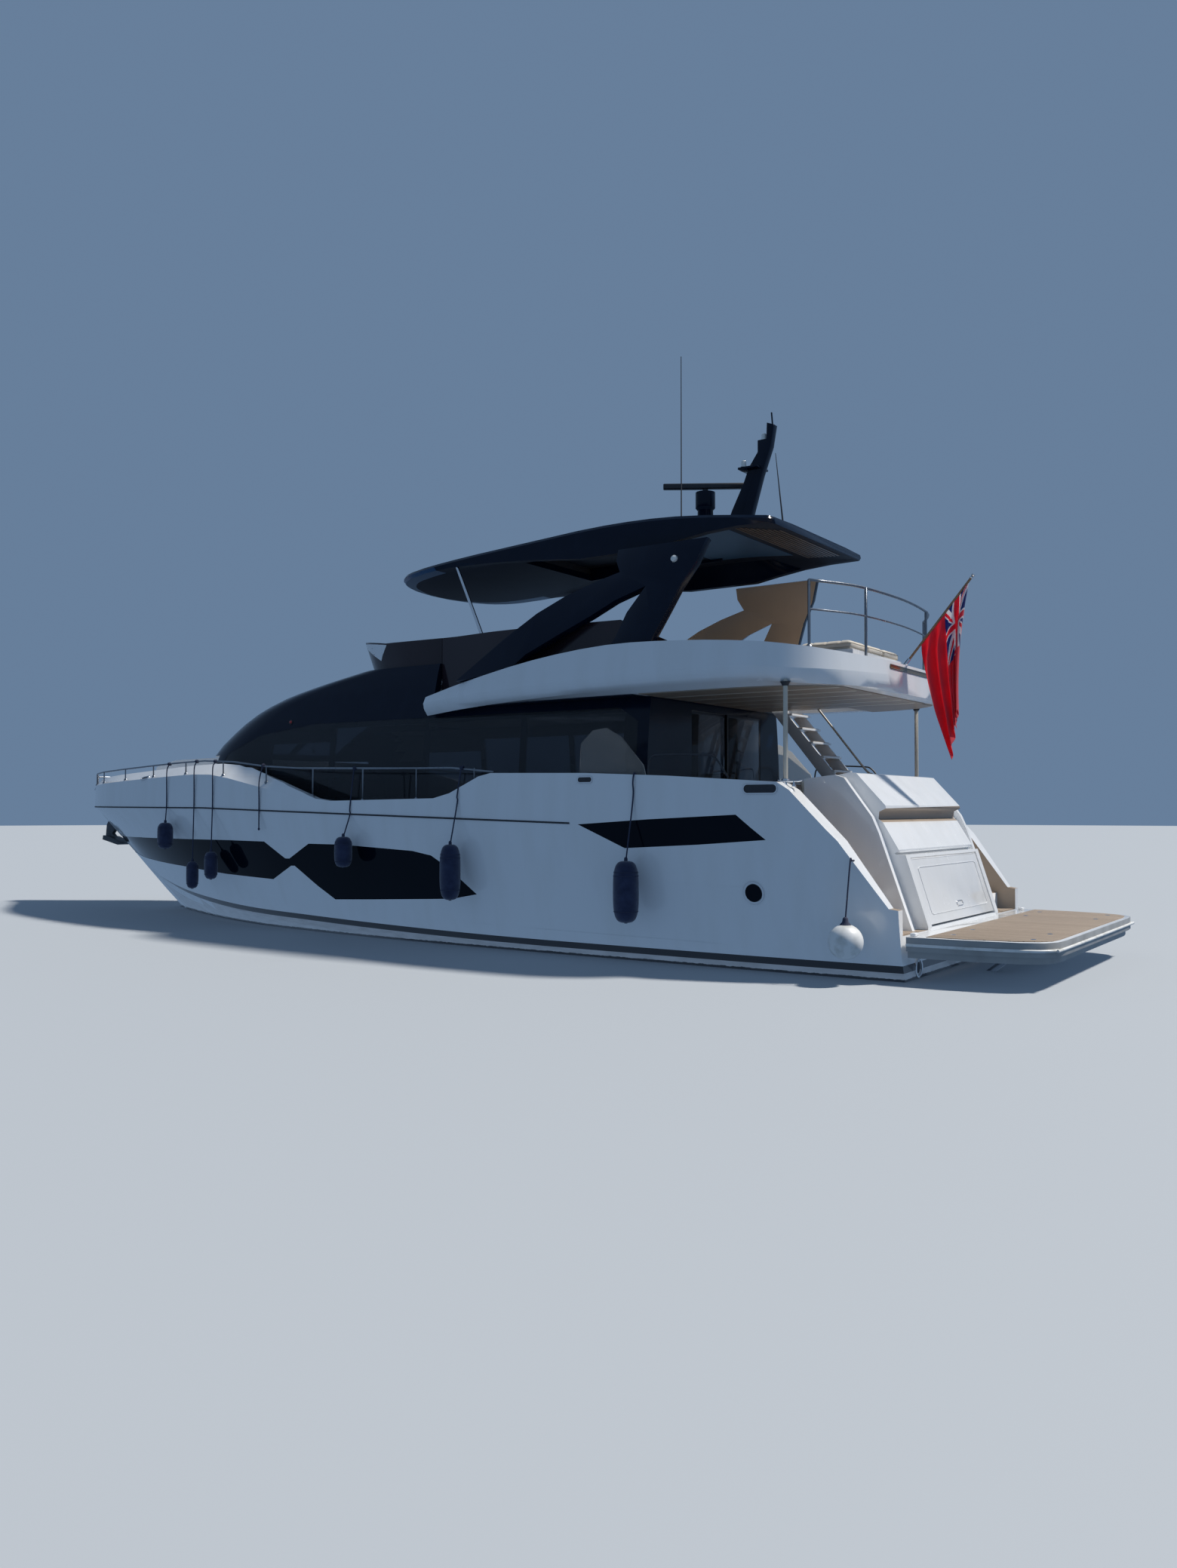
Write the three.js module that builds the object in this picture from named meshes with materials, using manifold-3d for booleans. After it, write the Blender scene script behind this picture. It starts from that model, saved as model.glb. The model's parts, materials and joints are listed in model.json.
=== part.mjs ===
// Motor yacht with a flybridge and hardtop, afloat.
// Millimetres. +X is the bow, +Y is port, +Z is up. The origin is on the waterline, halfway along the boat.
import * as THREE from 'three';
import { mergeVertices } from 'three/addons/utils/BufferGeometryUtils.js';
import Module from 'manifold-3d';

const wasm = await Module();
wasm.setup();

// Driving dimensions
const GAP = 0.3;                 // between pieces that rest on each other
const BOW_X = 11650;
const TRANSOM_X = -9800;
const DECK_Z = 1900;             // side decks, cockpit and saloon floor
const FORE_DECK_Z = 2320;
const BULWARK_FOOT = 60;         // least thickness of the side at deck level
const CEILING_Z = 3930;
const FLY_DECK_Z = 4120;
const HOUSE_AFT_X = -5750;
const FLY_JOIN_X = -1350;        // where the black roof meets the white flybridge moulding
const HOUSE_WALL = 80;
const GLASS_THICK = 20;
const PLATFORM_TOP_Z = 600;
const PLATFORM_AFT_X = -11640;
const HARDTOP_UNDER_Z = 6240;
const STAIR_HATCH = { x0: -7350, x1: -5950, y0: -2300, y1: -1500 };
const DOORWAY = { y0: -1500, y1: 900, top: 3800 };
const RADAR = { x: -5500, footZ: 6640, tall: 880, long: 1400, turn: 32 };
// Planes well outside the boat, to which cutting shapes reach
const FAR_AFT = -12500;
const FAR_FORE = 12500;
const FAR_SIDE = 4000;
const FAR_UP = 10000;

// Materials
function finish(color, roughness, metalness = 0) {
  return new THREE.MeshStandardMaterial({ color, roughness, metalness });
}
const WHITE = finish(0xeeeeec, 0.25);
const BLACK = finish(0x0b0d12, 0.15);
const GLASS = finish(0x05070a, 0.05);
const TINT = finish(0x2a1a1c, 0.1);
const STEEL = finish(0xc8ccd0, 0.2, 1);
const BRONZE = finish(0xb08850, 0.35, 1);
const CREAM = finish(0xd9cfbd, 0.8);
const TEAK = finish(0x9a7650, 0.7);
const NAVY = finish(0x141c38, 0.9);
const RED = finish(0xc01525, 0.8);

const yacht = new THREE.Group();

// Geometry helpers
function solidOf(geometry) {
  const bare = geometry.clone();
  bare.deleteAttribute('normal');
  bare.deleteAttribute('uv');
  const merged = mergeVertices(bare, 1e-3);
  const mesh = new wasm.Mesh({
    numProp: 3,
    vertProperties: new Float32Array(merged.attributes.position.array),
    triVerts: new Uint32Array(merged.index.array),
  });
  return new wasm.Manifold(mesh);
}

function geometryOf(solid) {
  const mesh = solid.getMesh();
  const geometry = new THREE.BufferGeometry();
  geometry.setAttribute('position', new THREE.BufferAttribute(new Float32Array(mesh.vertProperties), 3));
  geometry.setIndex(new THREE.BufferAttribute(new Uint32Array(mesh.triVerts), 1));
  geometry.computeVertexNormals();
  return geometry;
}

function addPiece(name, solid, material) {
  const mesh = new THREE.Mesh(geometryOf(solid), material);
  mesh.name = name;
  yacht.add(mesh);
}

// A closed solid through equal rings of points, each ring a list of [x, y, z]
function loft(rings) {
  const count = rings[0].length;
  const places = [];
  const faces = [];
  rings.forEach((ring) => ring.forEach((p) => places.push(...p)));
  for (let r = 0; r + 1 < rings.length; r += 1) {
    for (let i = 0; i < count; i += 1) {
      const a = r * count + i;
      const b = r * count + ((i + 1) % count);
      faces.push(a, b, b + count, a, b + count, a + count);
    }
  }
  // An end's triangles run with its ring on the last ring and against it on the first
  const closeEnd = (ring, first, way) => {
    const flat = ringPlane(ring);
    const turn = Math.sign(THREE.ShapeUtils.area(flat)) * way;
    THREE.ShapeUtils.triangulateShape(flat, []).forEach(([i, j, k]) => {
      const same = Math.sign(THREE.ShapeUtils.area([flat[i], flat[j], flat[k]])) === turn;
      const tri = same ? [i, j, k] : [k, j, i];
      faces.push(...tri.map((n) => n + first));
    });
  };
  closeEnd(rings[0], 0, -1);
  closeEnd(rings[rings.length - 1], (rings.length - 1) * count, 1);
  const geometry = new THREE.BufferGeometry();
  geometry.setAttribute('position', new THREE.BufferAttribute(new Float32Array(places), 3));
  geometry.setIndex(faces);
  return facingOut(geometry);
}

// The ring's points in the plane that shows it widest
function ringPlane(ring) {
  const spans = [0, 1, 2].map((k) => Math.max(...ring.map((p) => p[k])) - Math.min(...ring.map((p) => p[k])));
  const thin = spans.indexOf(Math.min(...spans));
  const [u, v] = [[1, 2], [0, 2], [0, 1]][thin];
  return ring.map((p) => new THREE.Vector2(p[u], p[v]));
}

// Caps and sides each get the winding that makes the volume positive
function facingOut(geometry) {
  const solid = solidOf(geometry);
  if (!solid.isEmpty() && solid.volume() > 0) return solid;
  const index = Array.from(geometry.index.array);
  for (let i = 0; i < index.length; i += 3) {
    const hold = index[i];
    index[i] = index[i + 1];
    index[i + 1] = hold;
  }
  const turned = geometry.clone();
  turned.setIndex(index);
  return solidOf(turned);
}

function box(x0, x1, y0, y1, z0, z1) {
  const geometry = new THREE.BoxGeometry(x1 - x0, y1 - y0, z1 - z0);
  geometry.translate((x0 + x1) / 2, (y0 + y1) / 2, (z0 + z1) / 2);
  return solidOf(geometry);
}

// An outline in X and Z, pushed from y0 to y1
function sidePrism(points, y0, y1) {
  const shape = new THREE.Shape(points.map(([x, z]) => new THREE.Vector2(x, z)));
  const geometry = new THREE.ExtrudeGeometry(shape, { depth: y1 - y0, bevelEnabled: false, curveSegments: 8 });
  geometry.rotateX(Math.PI / 2);
  geometry.translate(0, y1, 0);
  return solidOf(geometry);
}

// An outline in X and Y, pushed from z0 to z1
function planPrism(points, z0, z1) {
  const shape = new THREE.Shape(points.map(([x, y]) => new THREE.Vector2(x, y)));
  const geometry = new THREE.ExtrudeGeometry(shape, { depth: z1 - z0, bevelEnabled: false });
  geometry.translate(0, 0, z0);
  return solidOf(geometry);
}

// A round bar along a smooth line through the points
function bar(points, radius, sides = 8, steps = 0, bend = 0.5) {
  const section = new THREE.Shape();
  for (let i = 0; i < sides; i += 1) {
    const turn = (i / sides) * Math.PI * 2;
    const spot = [Math.cos(turn) * radius, Math.sin(turn) * radius];
    if (i === 0) section.moveTo(...spot);
    else section.lineTo(...spot);
  }
  const places = points.map((p) => new THREE.Vector3(...p));
  const path = places.length === 2
    ? new THREE.LineCurve3(places[0], places[1])
    : new THREE.CatmullRomCurve3(places, false, 'catmullrom', bend);
  const settings = { steps: steps || (places.length - 1), bevelEnabled: false, extrudePath: path };
  return solidOf(new THREE.ExtrudeGeometry(section, settings));
}

// A turned solid: profile of [radius, height] from the axis back to the axis, standing along +Z
function turned(profile, sides = 20) {
  const geometry = new THREE.LatheGeometry(profile.map(([r, z]) => new THREE.Vector2(r, z)), sides);
  geometry.rotateX(Math.PI / 2);
  return solidOf(geometry);
}

const union = (solids) => solids.reduce((whole, next) => whole.add(next));
const mirrored = (solid) => solid.mirror([0, 1, 0]);
const onSide = (solid, side) => (side > 0 ? solid : mirrored(solid));
const bothSides = (solid) => solid.add(mirrored(solid));
const lerp = (a, b, t) => a + (b - a) * t;
const clamp = (value, low, high) => Math.min(Math.max(value, low), high);
const SIDES = [['port', 1], ['starboard', -1]];

// The port half of a plan outline with its mirror image added
const bothEdges = (port) => [...port, ...port.slice().reverse().map(([x, y]) => [x, -y])];

// Largest closed body of a solid that a cut may have left in pieces
const mainBody = (solid) => solid.decompose().sort((a, b) => b.volume() - a.volume())[0];

// Keeps a piece clear of what it stands on, by the usual gap in each direction
const ALL_WAYS = [[0, 0, 1], [0, 0, -1], [1, 0, 0], [-1, 0, 0], [0, 1, 0], [0, -1, 0]];
function clearOf(solid, other, ways = ALL_WAYS) {
  return ways.reduce((rest, way) => rest.subtract(other.translate(way.map((v) => v * GAP))), solid);
}

// A round bar lying across the boat
function crossBar(radius, long, sides = 16) {
  return solidOf(new THREE.CylinderGeometry(radius, radius, long, sides));
}

// The value of a table's column at x, along straight lines between its rows
function along(table, column, x) {
  if (x <= table[0].x) return table[0][column];
  for (let i = 1; i < table.length; i += 1) {
    if (x <= table[i].x) {
      const t = (x - table[i - 1].x) / (table[i].x - table[i - 1].x);
      return lerp(table[i - 1][column], table[i][column], t);
    }
  }
  return table[table.length - 1][column];
}

// A smooth value of a table's column at x
function smoothAlong(table, column, x) {
  const n = table.length;
  let i = 0;
  while (i < n - 2 && x > table[i + 1].x) i += 1;
  const a = table[i];
  const b = table[i + 1];
  const slope = (j) => {
    const lo = table[Math.max(j - 1, 0)];
    const hi = table[Math.min(j + 1, n - 1)];
    return (hi[column] - lo[column]) / (hi.x - lo.x);
  };
  const w = b.x - a.x;
  const t = Math.min(Math.max((x - a.x) / w, 0), 1);
  const t2 = t * t;
  const t3 = t2 * t;
  return (2 * t3 - 3 * t2 + 1) * a[column] + (t3 - 2 * t2 + t) * w * slope(i)
    + (3 * t2 - 2 * t3) * b[column] + (t3 - t2) * w * slope(i + 1);
}

// A table's rows with smooth ones between them, the same number in each gap
function filledIn(table, between) {
  const columns = Object.keys(table[0]).filter((column) => column !== 'x');
  return table.slice(1).flatMap((row, i) => {
    const before = table[i];
    return Array.from({ length: between + 1 }, (_, k) => {
      const x = lerp(before.x, row.x, k / (between + 1));
      const cells = columns.map((column) => [column, smoothAlong(table, column, x)]);
      return Object.fromEntries([['x', x], ...cells]);
    });
  }).concat(table[table.length - 1]);
}

// Hull stations: x, keel depth, chine height and half width, half width at the sheer
const HULL = [
  { x: -9800, keelZ: -780, chineZ: -60, chineY: 2420, sheerY: 2860 },
  { x: -8400, keelZ: -860, chineZ: -60, chineY: 2450, sheerY: 2920 },
  { x: -6000, keelZ: -980, chineZ: -50, chineY: 2470, sheerY: 2945 },
  { x: -3000, keelZ: -1080, chineZ: -20, chineY: 2470, sheerY: 2950 },
  { x: 0, keelZ: -1130, chineZ: 60, chineY: 2400, sheerY: 2915 },
  { x: 2500, keelZ: -1120, chineZ: 180, chineY: 2220, sheerY: 2850 },
  { x: 4400, keelZ: -1030, chineZ: 330, chineY: 1940, sheerY: 2720 },
  { x: 6000, keelZ: -830, chineZ: 500, chineY: 1540, sheerY: 2520 },
  { x: 7300, keelZ: -500, chineZ: 700, chineY: 1120, sheerY: 2290 },
  { x: 8300, keelZ: 20, chineZ: 900, chineY: 780, sheerY: 2030 },
  { x: 9300, keelZ: 680, chineZ: 1180, chineY: 430, sheerY: 1560 },
  { x: 10300, keelZ: 1370, chineZ: 1560, chineY: 150, sheerY: 900 },
  { x: 11100, keelZ: 1910, chineZ: 1970, chineY: 30, sheerY: 370 },
  { x: 11650, keelZ: 2270, chineZ: 2290, chineY: 10, sheerY: 40 },
];

// Height of the bulwark's top along the boat
const SHEER = [
  { x: -9800, z: 560 }, { x: -9680, z: 950 }, { x: -9050, z: 1810 }, { x: -8380, z: 2480 },
  { x: -8200, z: 2590 }, { x: -6480, z: 2700 }, { x: -5100, z: 2760 }, { x: -3300, z: 2790 },
  { x: -3050, z: 2740 }, { x: -2450, z: 2480 }, { x: -2100, z: 2400 }, { x: 300, z: 2370 }, { x: 700, z: 2410 },
  { x: 1800, z: 2740 }, { x: 2900, z: 3040 }, { x: 3700, z: 3100 }, { x: 4600, z: 3085 },
  { x: 6500, z: 3005 }, { x: 8700, z: 2930 }, { x: 10300, z: 2870 }, { x: 11650, z: 2820 },
];

// Height of the dark rubbing line, where the topside's flare ends
const STRAKE = [
  { x: -9800, z: 1950 }, { x: -5000, z: 2020 }, { x: 600, z: 2160 }, { x: 4000, z: 2250 },
  { x: 11650, z: 2290 },
];

// Height of the knuckle under the bulwark's top, how far the cap over it leans in for each millimetre of rise,
// and how far in from the widest point the bulwark's inner face stands
const KNUCKLE = [
  { x: -9800, z: 2050, lean: 0.03, wall: 150 },
  { x: 600, z: 2300, lean: 0.03, wall: 150 },
  { x: 1340, z: 2470, lean: 0.3, wall: 170 },
  { x: 2430, z: 2670, lean: 0.8, wall: 250 },
  { x: 3570, z: 2880, lean: 1.2, wall: 300 },
  { x: 4400, z: 2900, lean: 1.2, wall: 290 },
  { x: 8550, z: 2770, lean: 1.3, wall: 260 },
  { x: 11000, z: 2700, lean: 0.8, wall: 160 },
  { x: 11650, z: 2690, lean: 0.03, wall: 150 },
];

const HULL_STEPS = 38;
const SIDE_STEPS = 5;
const CHINE_FLAT = 45;
const FORM_TOP_Z = 3200;
const SIDE_LEAN = 0.02;          // of the side between the rubbing line and the knuckle
// The topside's curve from the chine to the rubbing line: its power aft, and at the bow
const FLARE = { from: 2000, over: 8000, aft: 0.62, bow: 1.25 };

// One hull section as a ring, from the keel up the port side and down the starboard side
function hullRing(x, inset) {
  const at = (column) => smoothAlong(HULL, column, x);
  const keelZ = at('keelZ');
  const chineZ = Math.max(at('chineZ'), keelZ + 15);
  const strakeZ = Math.max(along(STRAKE, 'z', x), chineZ + 15);
  const chineY = Math.max(at('chineY') - inset, 6);
  const sheerY = Math.max(at('sheerY') - inset, 14);
  const bilgeZ = lerp(keelZ, chineZ, 0.86);
  const flatY = chineY + Math.min(CHINE_FLAT, (sheerY - chineY) / 2);
  const edgeZ = Math.max(chineZ - 30, lerp(bilgeZ, chineZ, 0.3));
  const port = [[chineY * 0.93, bilgeZ], [chineY, edgeZ], [flatY, chineZ]];
  for (let i = 1; i <= SIDE_STEPS; i += 1) {
    const t = i / SIDE_STEPS;
    const rise = t ** lerp(FLARE.aft, FLARE.bow, clamp((x - FLARE.from) / FLARE.over, 0, 1));
    port.push([Math.max(lerp(flatY, sheerY, rise), 10), lerp(chineZ, strakeZ, t)]);
  }
  const knuckleZ = Math.max(along(KNUCKLE, 'z', x), strakeZ + 20);
  const knuckleY = Math.max(sheerY - (knuckleZ - strakeZ) * SIDE_LEAN, 10);
  port.push([knuckleY, knuckleZ]);
  port.push([Math.max(knuckleY - (FORM_TOP_Z - knuckleZ) * along(KNUCKLE, 'lean', x), 8), FORM_TOP_Z]);
  const ring = [[x, 0, keelZ + inset]];
  port.forEach(([y, z]) => ring.push([x, y, z]));
  port.slice().reverse().forEach(([y, z]) => ring.push([x, -y, z]));
  return ring;
}

// The outer form up to a level well over the bulwark, to be cut down along the sheer
function hullForm(inset) {
  const rings = [];
  for (let i = 0; i <= HULL_STEPS; i += 1) {
    const x = lerp(TRANSOM_X, BOW_X, i / HULL_STEPS);
    rings.push(hullRing(x, inset));
  }
  return loft(rings);
}

// Half width of the hull's outside at a height
function sideAt(x, z) {
  const port = hullRing(x, 0).slice(1, SIDE_STEPS + 6).map(([, y, height]) => ({ x: height, y }));
  return along(port, 'y', z);
}

// Everything over the sheer line
function overSheer() {
  const outline = SHEER.map(({ x, z }) => [x, z]);
  outline[0][0] = FAR_AFT;
  outline[outline.length - 1][0] = FAR_FORE;
  outline.push([FAR_FORE, FAR_UP], [FAR_AFT, FAR_UP]);
  return sidePrism(outline, -FAR_SIDE, FAR_SIDE);
}

// Everything inside the bulwark over a deck, for a stretch of the boat
const DECK_STEP = 550;
function deckWell(x0, x1, deckZ) {
  const inner = [];
  for (let x = Math.ceil((x0 + 1) / DECK_STEP) * DECK_STEP; x < x1; x += DECK_STEP) inner.push(x);
  const port = [x0, ...inner, x1].map((x) => {
    const upper = smoothAlong(HULL, 'sheerY', x) - along(KNUCKLE, 'wall', x);
    return [x, Math.max(Math.min(upper, sideAt(x, deckZ) - BULWARK_FOOT), 20)];
  });
  return planPrism(bothEdges(port), deckZ, FAR_UP);
}

// Stern: centre block between two flights of stairs
const BLOCK_HALF = 1600;
const STAIR_OUT_Y = 2560;
const COAMING_Y = 1840;          // inner face of the stairs' inboard coaming
const COAMING_WIDE = 90;
const STAIR_TOP_X = -8350;
const STAIR_COUNT = 5;
const COCKPIT_AFT_X = -8150;
const FORE_DECK_X = 6150;        // step from the side decks up to the foredeck
const FORE_WELL_X = 3300;        // from here on the bulwark's upper part stands farther out than its foot
const FORE_DECK_END_X = 11250;
const GARAGE = { x1: -6600, half: 1450, z0: 620, z1: 1545 };
const GARAGE_HINGE = { x: -9490, z: GARAGE.z1 - 12 - GAP, r: 12 };

// Long window band of the hull: outline in X and Z, starting at the fore end's foot
const BAND = [
  [9900, 1265], [10750, 1572], [8300, 1618], [5600, 1632], [3300, 1640], [2200, 1632], [1660, 1335],
  [1540, 1335], [960, 1614], [90, 1612], [-640, 1580], [-1580, 1537], [-1990, 1470], [-2320, 1290], [-2890, 870],
  [-2360, 775], [-1130, 710], [455, 638], [865, 862], [1420, 1205], [1520, 1205], [2106, 938], [3680, 981],
  [5470, 1070], [8350, 1165],
];
const QUARTER = [[-4980, 2000], [-5780, 1660], [-7000, 1730], [-8040, 1810], [-7600, 2150], [-6200, 2080]];

// Moves an outline in towards its middle by a distance, for windows that sit in their pockets
function shrunk(points, distance) {
  return points.map((p, i) => {
    const a = points[(i + points.length - 1) % points.length];
    const b = points[(i + 1) % points.length];
    const d1 = new THREE.Vector2(p[0] - a[0], p[1] - a[1]).normalize();
    const d2 = new THREE.Vector2(b[0] - p[0], b[1] - p[1]).normalize();
    const sign = THREE.ShapeUtils.area(points.map(([x, z]) => new THREE.Vector2(x, z))) > 0 ? 1 : -1;
    const n = new THREE.Vector2(-(d1.y + d2.y), d1.x + d2.x).normalize().multiplyScalar(distance * sign);
    return [p[0] + n.x, p[1] + n.y];
  });
}

// Lifting arms of the bathing platform: their two cross shafts, and the lugs that hold them
const ARM_FOOT = { x: -9860, z: -400 };
const ARM_HEAD = { x: -10685, z: 250 };
const ARM_Y = 700;
const LUG_Y = 765;
const LUG_HALF = 20;
const SHAFT_R = 25;
const PIN_ROOM = 0.6;
const pinHole = ({ x, z }) => crossBar(SHAFT_R + PIN_ROOM, 2000, 32).translate([x, 0, z]);

// Propellers and rudders
const PROP = { x: -8300, y: 1000, z: -1130, blades: 5 };
const RUDDER_X = -9030;
const RUDDER_TOP_Z = -680;

const POCKET_DEPTH = 30;
const GLASS_PROUD = 5;           // depth of the glass under the hull's outside
const POCKET_INNER_Y = 150;
const outerHull = hullForm(0);
const pocketFloor = hullForm(POCKET_DEPTH);
const glassBack = hullForm(POCKET_DEPTH - 1);
const glassFront = hullForm(GLASS_PROUD);

// Glass of a hull window in its pocket, on the port side
function hullGlass(outline) {
  const plug = sidePrism(shrunk(outline, 2), POCKET_INNER_Y + 55, FAR_SIDE);
  return plug.intersect(glassFront).subtract(glassBack);
}

function buildHull() {
  let hull = outerHull.subtract(overSheer());
  // Side decks, foredeck and cockpit as wells inside the bulwark
  hull = hull.subtract(deckWell(COCKPIT_AFT_X, FORE_DECK_X, DECK_Z));
  hull = hull.subtract(deckWell(FORE_WELL_X, FORE_DECK_END_X, FORE_DECK_Z));
  // Trunk before the windscreen, with a step for the sunpad
  hull = hull.add(planPrism(trunkOutline(), DECK_Z - 50, 3260).intersect(trunkSlope()));
  // Stairs on both sides of the centre block
  const run = (TRANSOM_X - STAIR_TOP_X) / STAIR_COUNT;
  const rise = (DECK_Z - PLATFORM_TOP_Z) / STAIR_COUNT;
  for (let i = 0; i < STAIR_COUNT; i += 1) {
    const tread = PLATFORM_TOP_Z + rise * (STAIR_COUNT - 1 - i);
    const x1 = STAIR_TOP_X + run * i;
    [1, -1].forEach((side) => {
      const [y0, y1] = side > 0 ? [BLOCK_HALF, STAIR_OUT_Y] : [-STAIR_OUT_Y, -BLOCK_HALF];
      hull = hull.subtract(box(FAR_AFT, x1, y0, y1, tread, FAR_UP));
      if (i === 0) hull = hull.subtract(box(STAIR_TOP_X - 1, COCKPIT_AFT_X + 5, y0, y1, DECK_Z, FAR_UP));
    });
  }
  // Centre block with the sloping back of the cockpit sofa and a shelf across it
  const footZ = 500;
  const block = [
    [COCKPIT_AFT_X, DECK_Z - 40], [COCKPIT_AFT_X, 2640], [-8690, 2740], [-8790, 2725], [-9210, 2275], [-9215, 2235],
    [-9120, 2190], [-9110, 2090], [-9170, 2045], [-9395, 1670], [-9395, 1640], [-9340, 1625], [-9350, 1600],
    [GARAGE_HINGE.x, 1600], [TRANSOM_X, 640], [TRANSOM_X, footZ], [COCKPIT_AFT_X, footZ],
  ];
  hull = hull.subtract(box(FAR_AFT, COCKPIT_AFT_X, -BLOCK_HALF - 1, BLOCK_HALF + 1, footZ, FAR_UP));
  hull = hull.add(sidePrism(block, -BLOCK_HALF, BLOCK_HALF));
  // Trough and coaming between the block and each flight
  const coaming = [
    [COCKPIT_AFT_X, PLATFORM_TOP_Z], [COCKPIT_AFT_X, 2650], [-8600, 2700], [-8740, 2660], [-9140, 2125],
    [-9240, 1900], [-9700, PLATFORM_TOP_Z],
  ];
  const trough = coaming.map(([x, z]) => [x < COCKPIT_AFT_X ? x + 60 : x, z > PLATFORM_TOP_Z ? z - 70 : z]);
  hull = hull.add(bothSides(sidePrism(trough, BLOCK_HALF - 1, COAMING_Y)));
  hull = hull.add(bothSides(sidePrism(coaming, COAMING_Y - 1, COAMING_Y + COAMING_WIDE)));
  // Lugs for the platform's arms and glands for the rudder stocks
  const [lugY0, lugY1] = [LUG_Y - LUG_HALF, LUG_Y + LUG_HALF];
  const lug = box(ARM_FOOT.x - 60, TRANSOM_X + 5, lugY0, lugY1, ARM_FOOT.z - 55, ARM_FOOT.z + 55);
  hull = hull.add(bothSides(lug.subtract(pinHole(ARM_FOOT))));
  const gland = turned([[0, 0], [70, 0], [90, 300], [0, 300]], 16);
  hull = hull.add(bothSides(gland.translate([RUDDER_X, PROP.y, RUDDER_TOP_Z + GAP])));
  const { x1, half, z0, z1 } = GARAGE;
  hull = hull.subtract(box(FAR_AFT, x1, -half, half, z0, z1));
  // Relief for the garage door's upper edge as it swings up
  hull = hull.subtract(box(TRANSOM_X, GARAGE_HINGE.x - 5, -half, half, z1 - 1, z1 + 15));
  // Window pockets
  [BAND, QUARTER].forEach((outline) => {
    const pocket = sidePrism(outline, POCKET_INNER_Y, FAR_SIDE).subtract(pocketFloor);
    hull = hull.subtract(bothSides(pocket));
  });
  return hull;
}

// Plan of the raised trunk on the foredeck
function trunkOutline() {
  return bothEdges([[4300, 2080], [5600, 1960], [6800, 1720], [7900, 1380], [8500, 1050], [8750, 600]]);
}

function trunkSlope() {
  const side = [
    [4200, 1000], [9000, 1000], [9000, 2560], [8750, 2620], [7000, 2860], [6900, 3120], [6300, 3190], [6000, 3240],
    [4200, 3250],
  ];
  return sidePrism(side, -FAR_SIDE, FAR_SIDE);
}

// Deckhouse slices: height, fore point, half width and length of the rounded nose
const HOUSE = [
  { z: 1900, nose: 5560, half: 2260, round: 1900 },
  { z: 2400, nose: 5550, half: 2250, round: 1900 },
  { z: 2900, nose: 5540, half: 2230, round: 1900 },
  { z: 3280, nose: 5480, half: 2200, round: 1850 },
  { z: 3720, nose: 4900, half: 2150, round: 1800 },
  { z: 4080, nose: 4250, half: 2090, round: 1750 },
  { z: 4340, nose: 3500, half: 2040, round: 1700 },
  { z: 4500, nose: 2780, half: 2000, round: 1650 },
  { z: 4610, nose: 2190, half: 1970, round: 1600 },
  { z: 4740, nose: 1440, half: 1930, round: 1550 },
];
const NOSE_STEPS = 11;
const NOSE_POWER = 2.3;

// A plan outline with a rounded nose and a flat aft end
function nosePlan(nose, half, round, aftX, steps) {
  const port = [];
  for (let i = 0; i <= steps; i += 1) {
    const turn = (i / steps) * (Math.PI / 2);
    const y = half * Math.sin(turn) ** (2 / NOSE_POWER);
    const x = nose - round + round * Math.cos(turn) ** (2 / NOSE_POWER);
    port.push([x, y]);
  }
  port.push([aftX, half]);
  return [...port, ...port.slice(1).reverse().map(([x, y]) => [x, -y])];
}

function houseForm(insetX, insetY, lowZ, highZ, aftX) {
  const slices = HOUSE.map((row) => ({ ...row, x: row.z }));
  const levels = filledIn(slices, 1).map(({ x }) => x).filter((z) => z > lowZ + 1 && z < highZ - 1);
  const rings = [lowZ, ...levels, highZ].map((z) => {
    const at = (column) => smoothAlong(slices, column, z);
    const plan = nosePlan(at('nose') - insetX, at('half') - insetY, at('round'), aftX, NOSE_STEPS);
    return plan.map(([x, y]) => [x, y, z]);
  });
  return loft(rings);
}

const HOUSE_FOOT_Z = DECK_Z + GAP;
const BROW_Z = 4740;
const HOUSE_WALL_FORE = 170;     // the raked front is thicker along the boat than the walls are across it
const SCREEN_SEAT = 50;          // depth of the windscreen's rebate along the boat
const SIDE_SEAT = 45;
const houseOuter = houseForm(0, 0, HOUSE_FOOT_Z, BROW_Z, HOUSE_AFT_X);
const SIDE_BAND = [
  [-5550, 2350], [-5550, 3560], [-5200, 3780], [-1600, 3800], [1500, 3800], [3000, 3640], [3950, 3300],
  [4150, 3050], [3700, 2600], [2900, 2350],
];
const SCREEN = { half: 1620, z0: 3340, z1: 4400, x0: 1900 };
const FRAME = 80;                // of the windscreen over and under its openings
// Window openings behind the side glass: x0, x1, top
const SIDE_OPENINGS = [[-5300, -3400, 3700], [-3300, -1300, 3700], [-1200, 1000, 3700], [1100, 2700, 3450]];
const SCREEN_OPENINGS = [[-1520, -600], [-500, 500], [600, 1520]];

// A form a bit larger than the house's levels, for cuts that follow its skin
const behindSkin = (deepX, deepY) => houseForm(deepX, deepY, 1800, 4710, FAR_AFT);
const underSkin = (deepX, deepY) => houseForm(deepX, deepY, DECK_Z + 50, 4700, FAR_AFT + 100);

function trunkKeepOut() {
  return planPrism(trunkOutline().map(([x, y]) => [x > 4400 ? x + 20 : x - 20, y * 1.01]), DECK_Z - 50, 3290);
}

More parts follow.
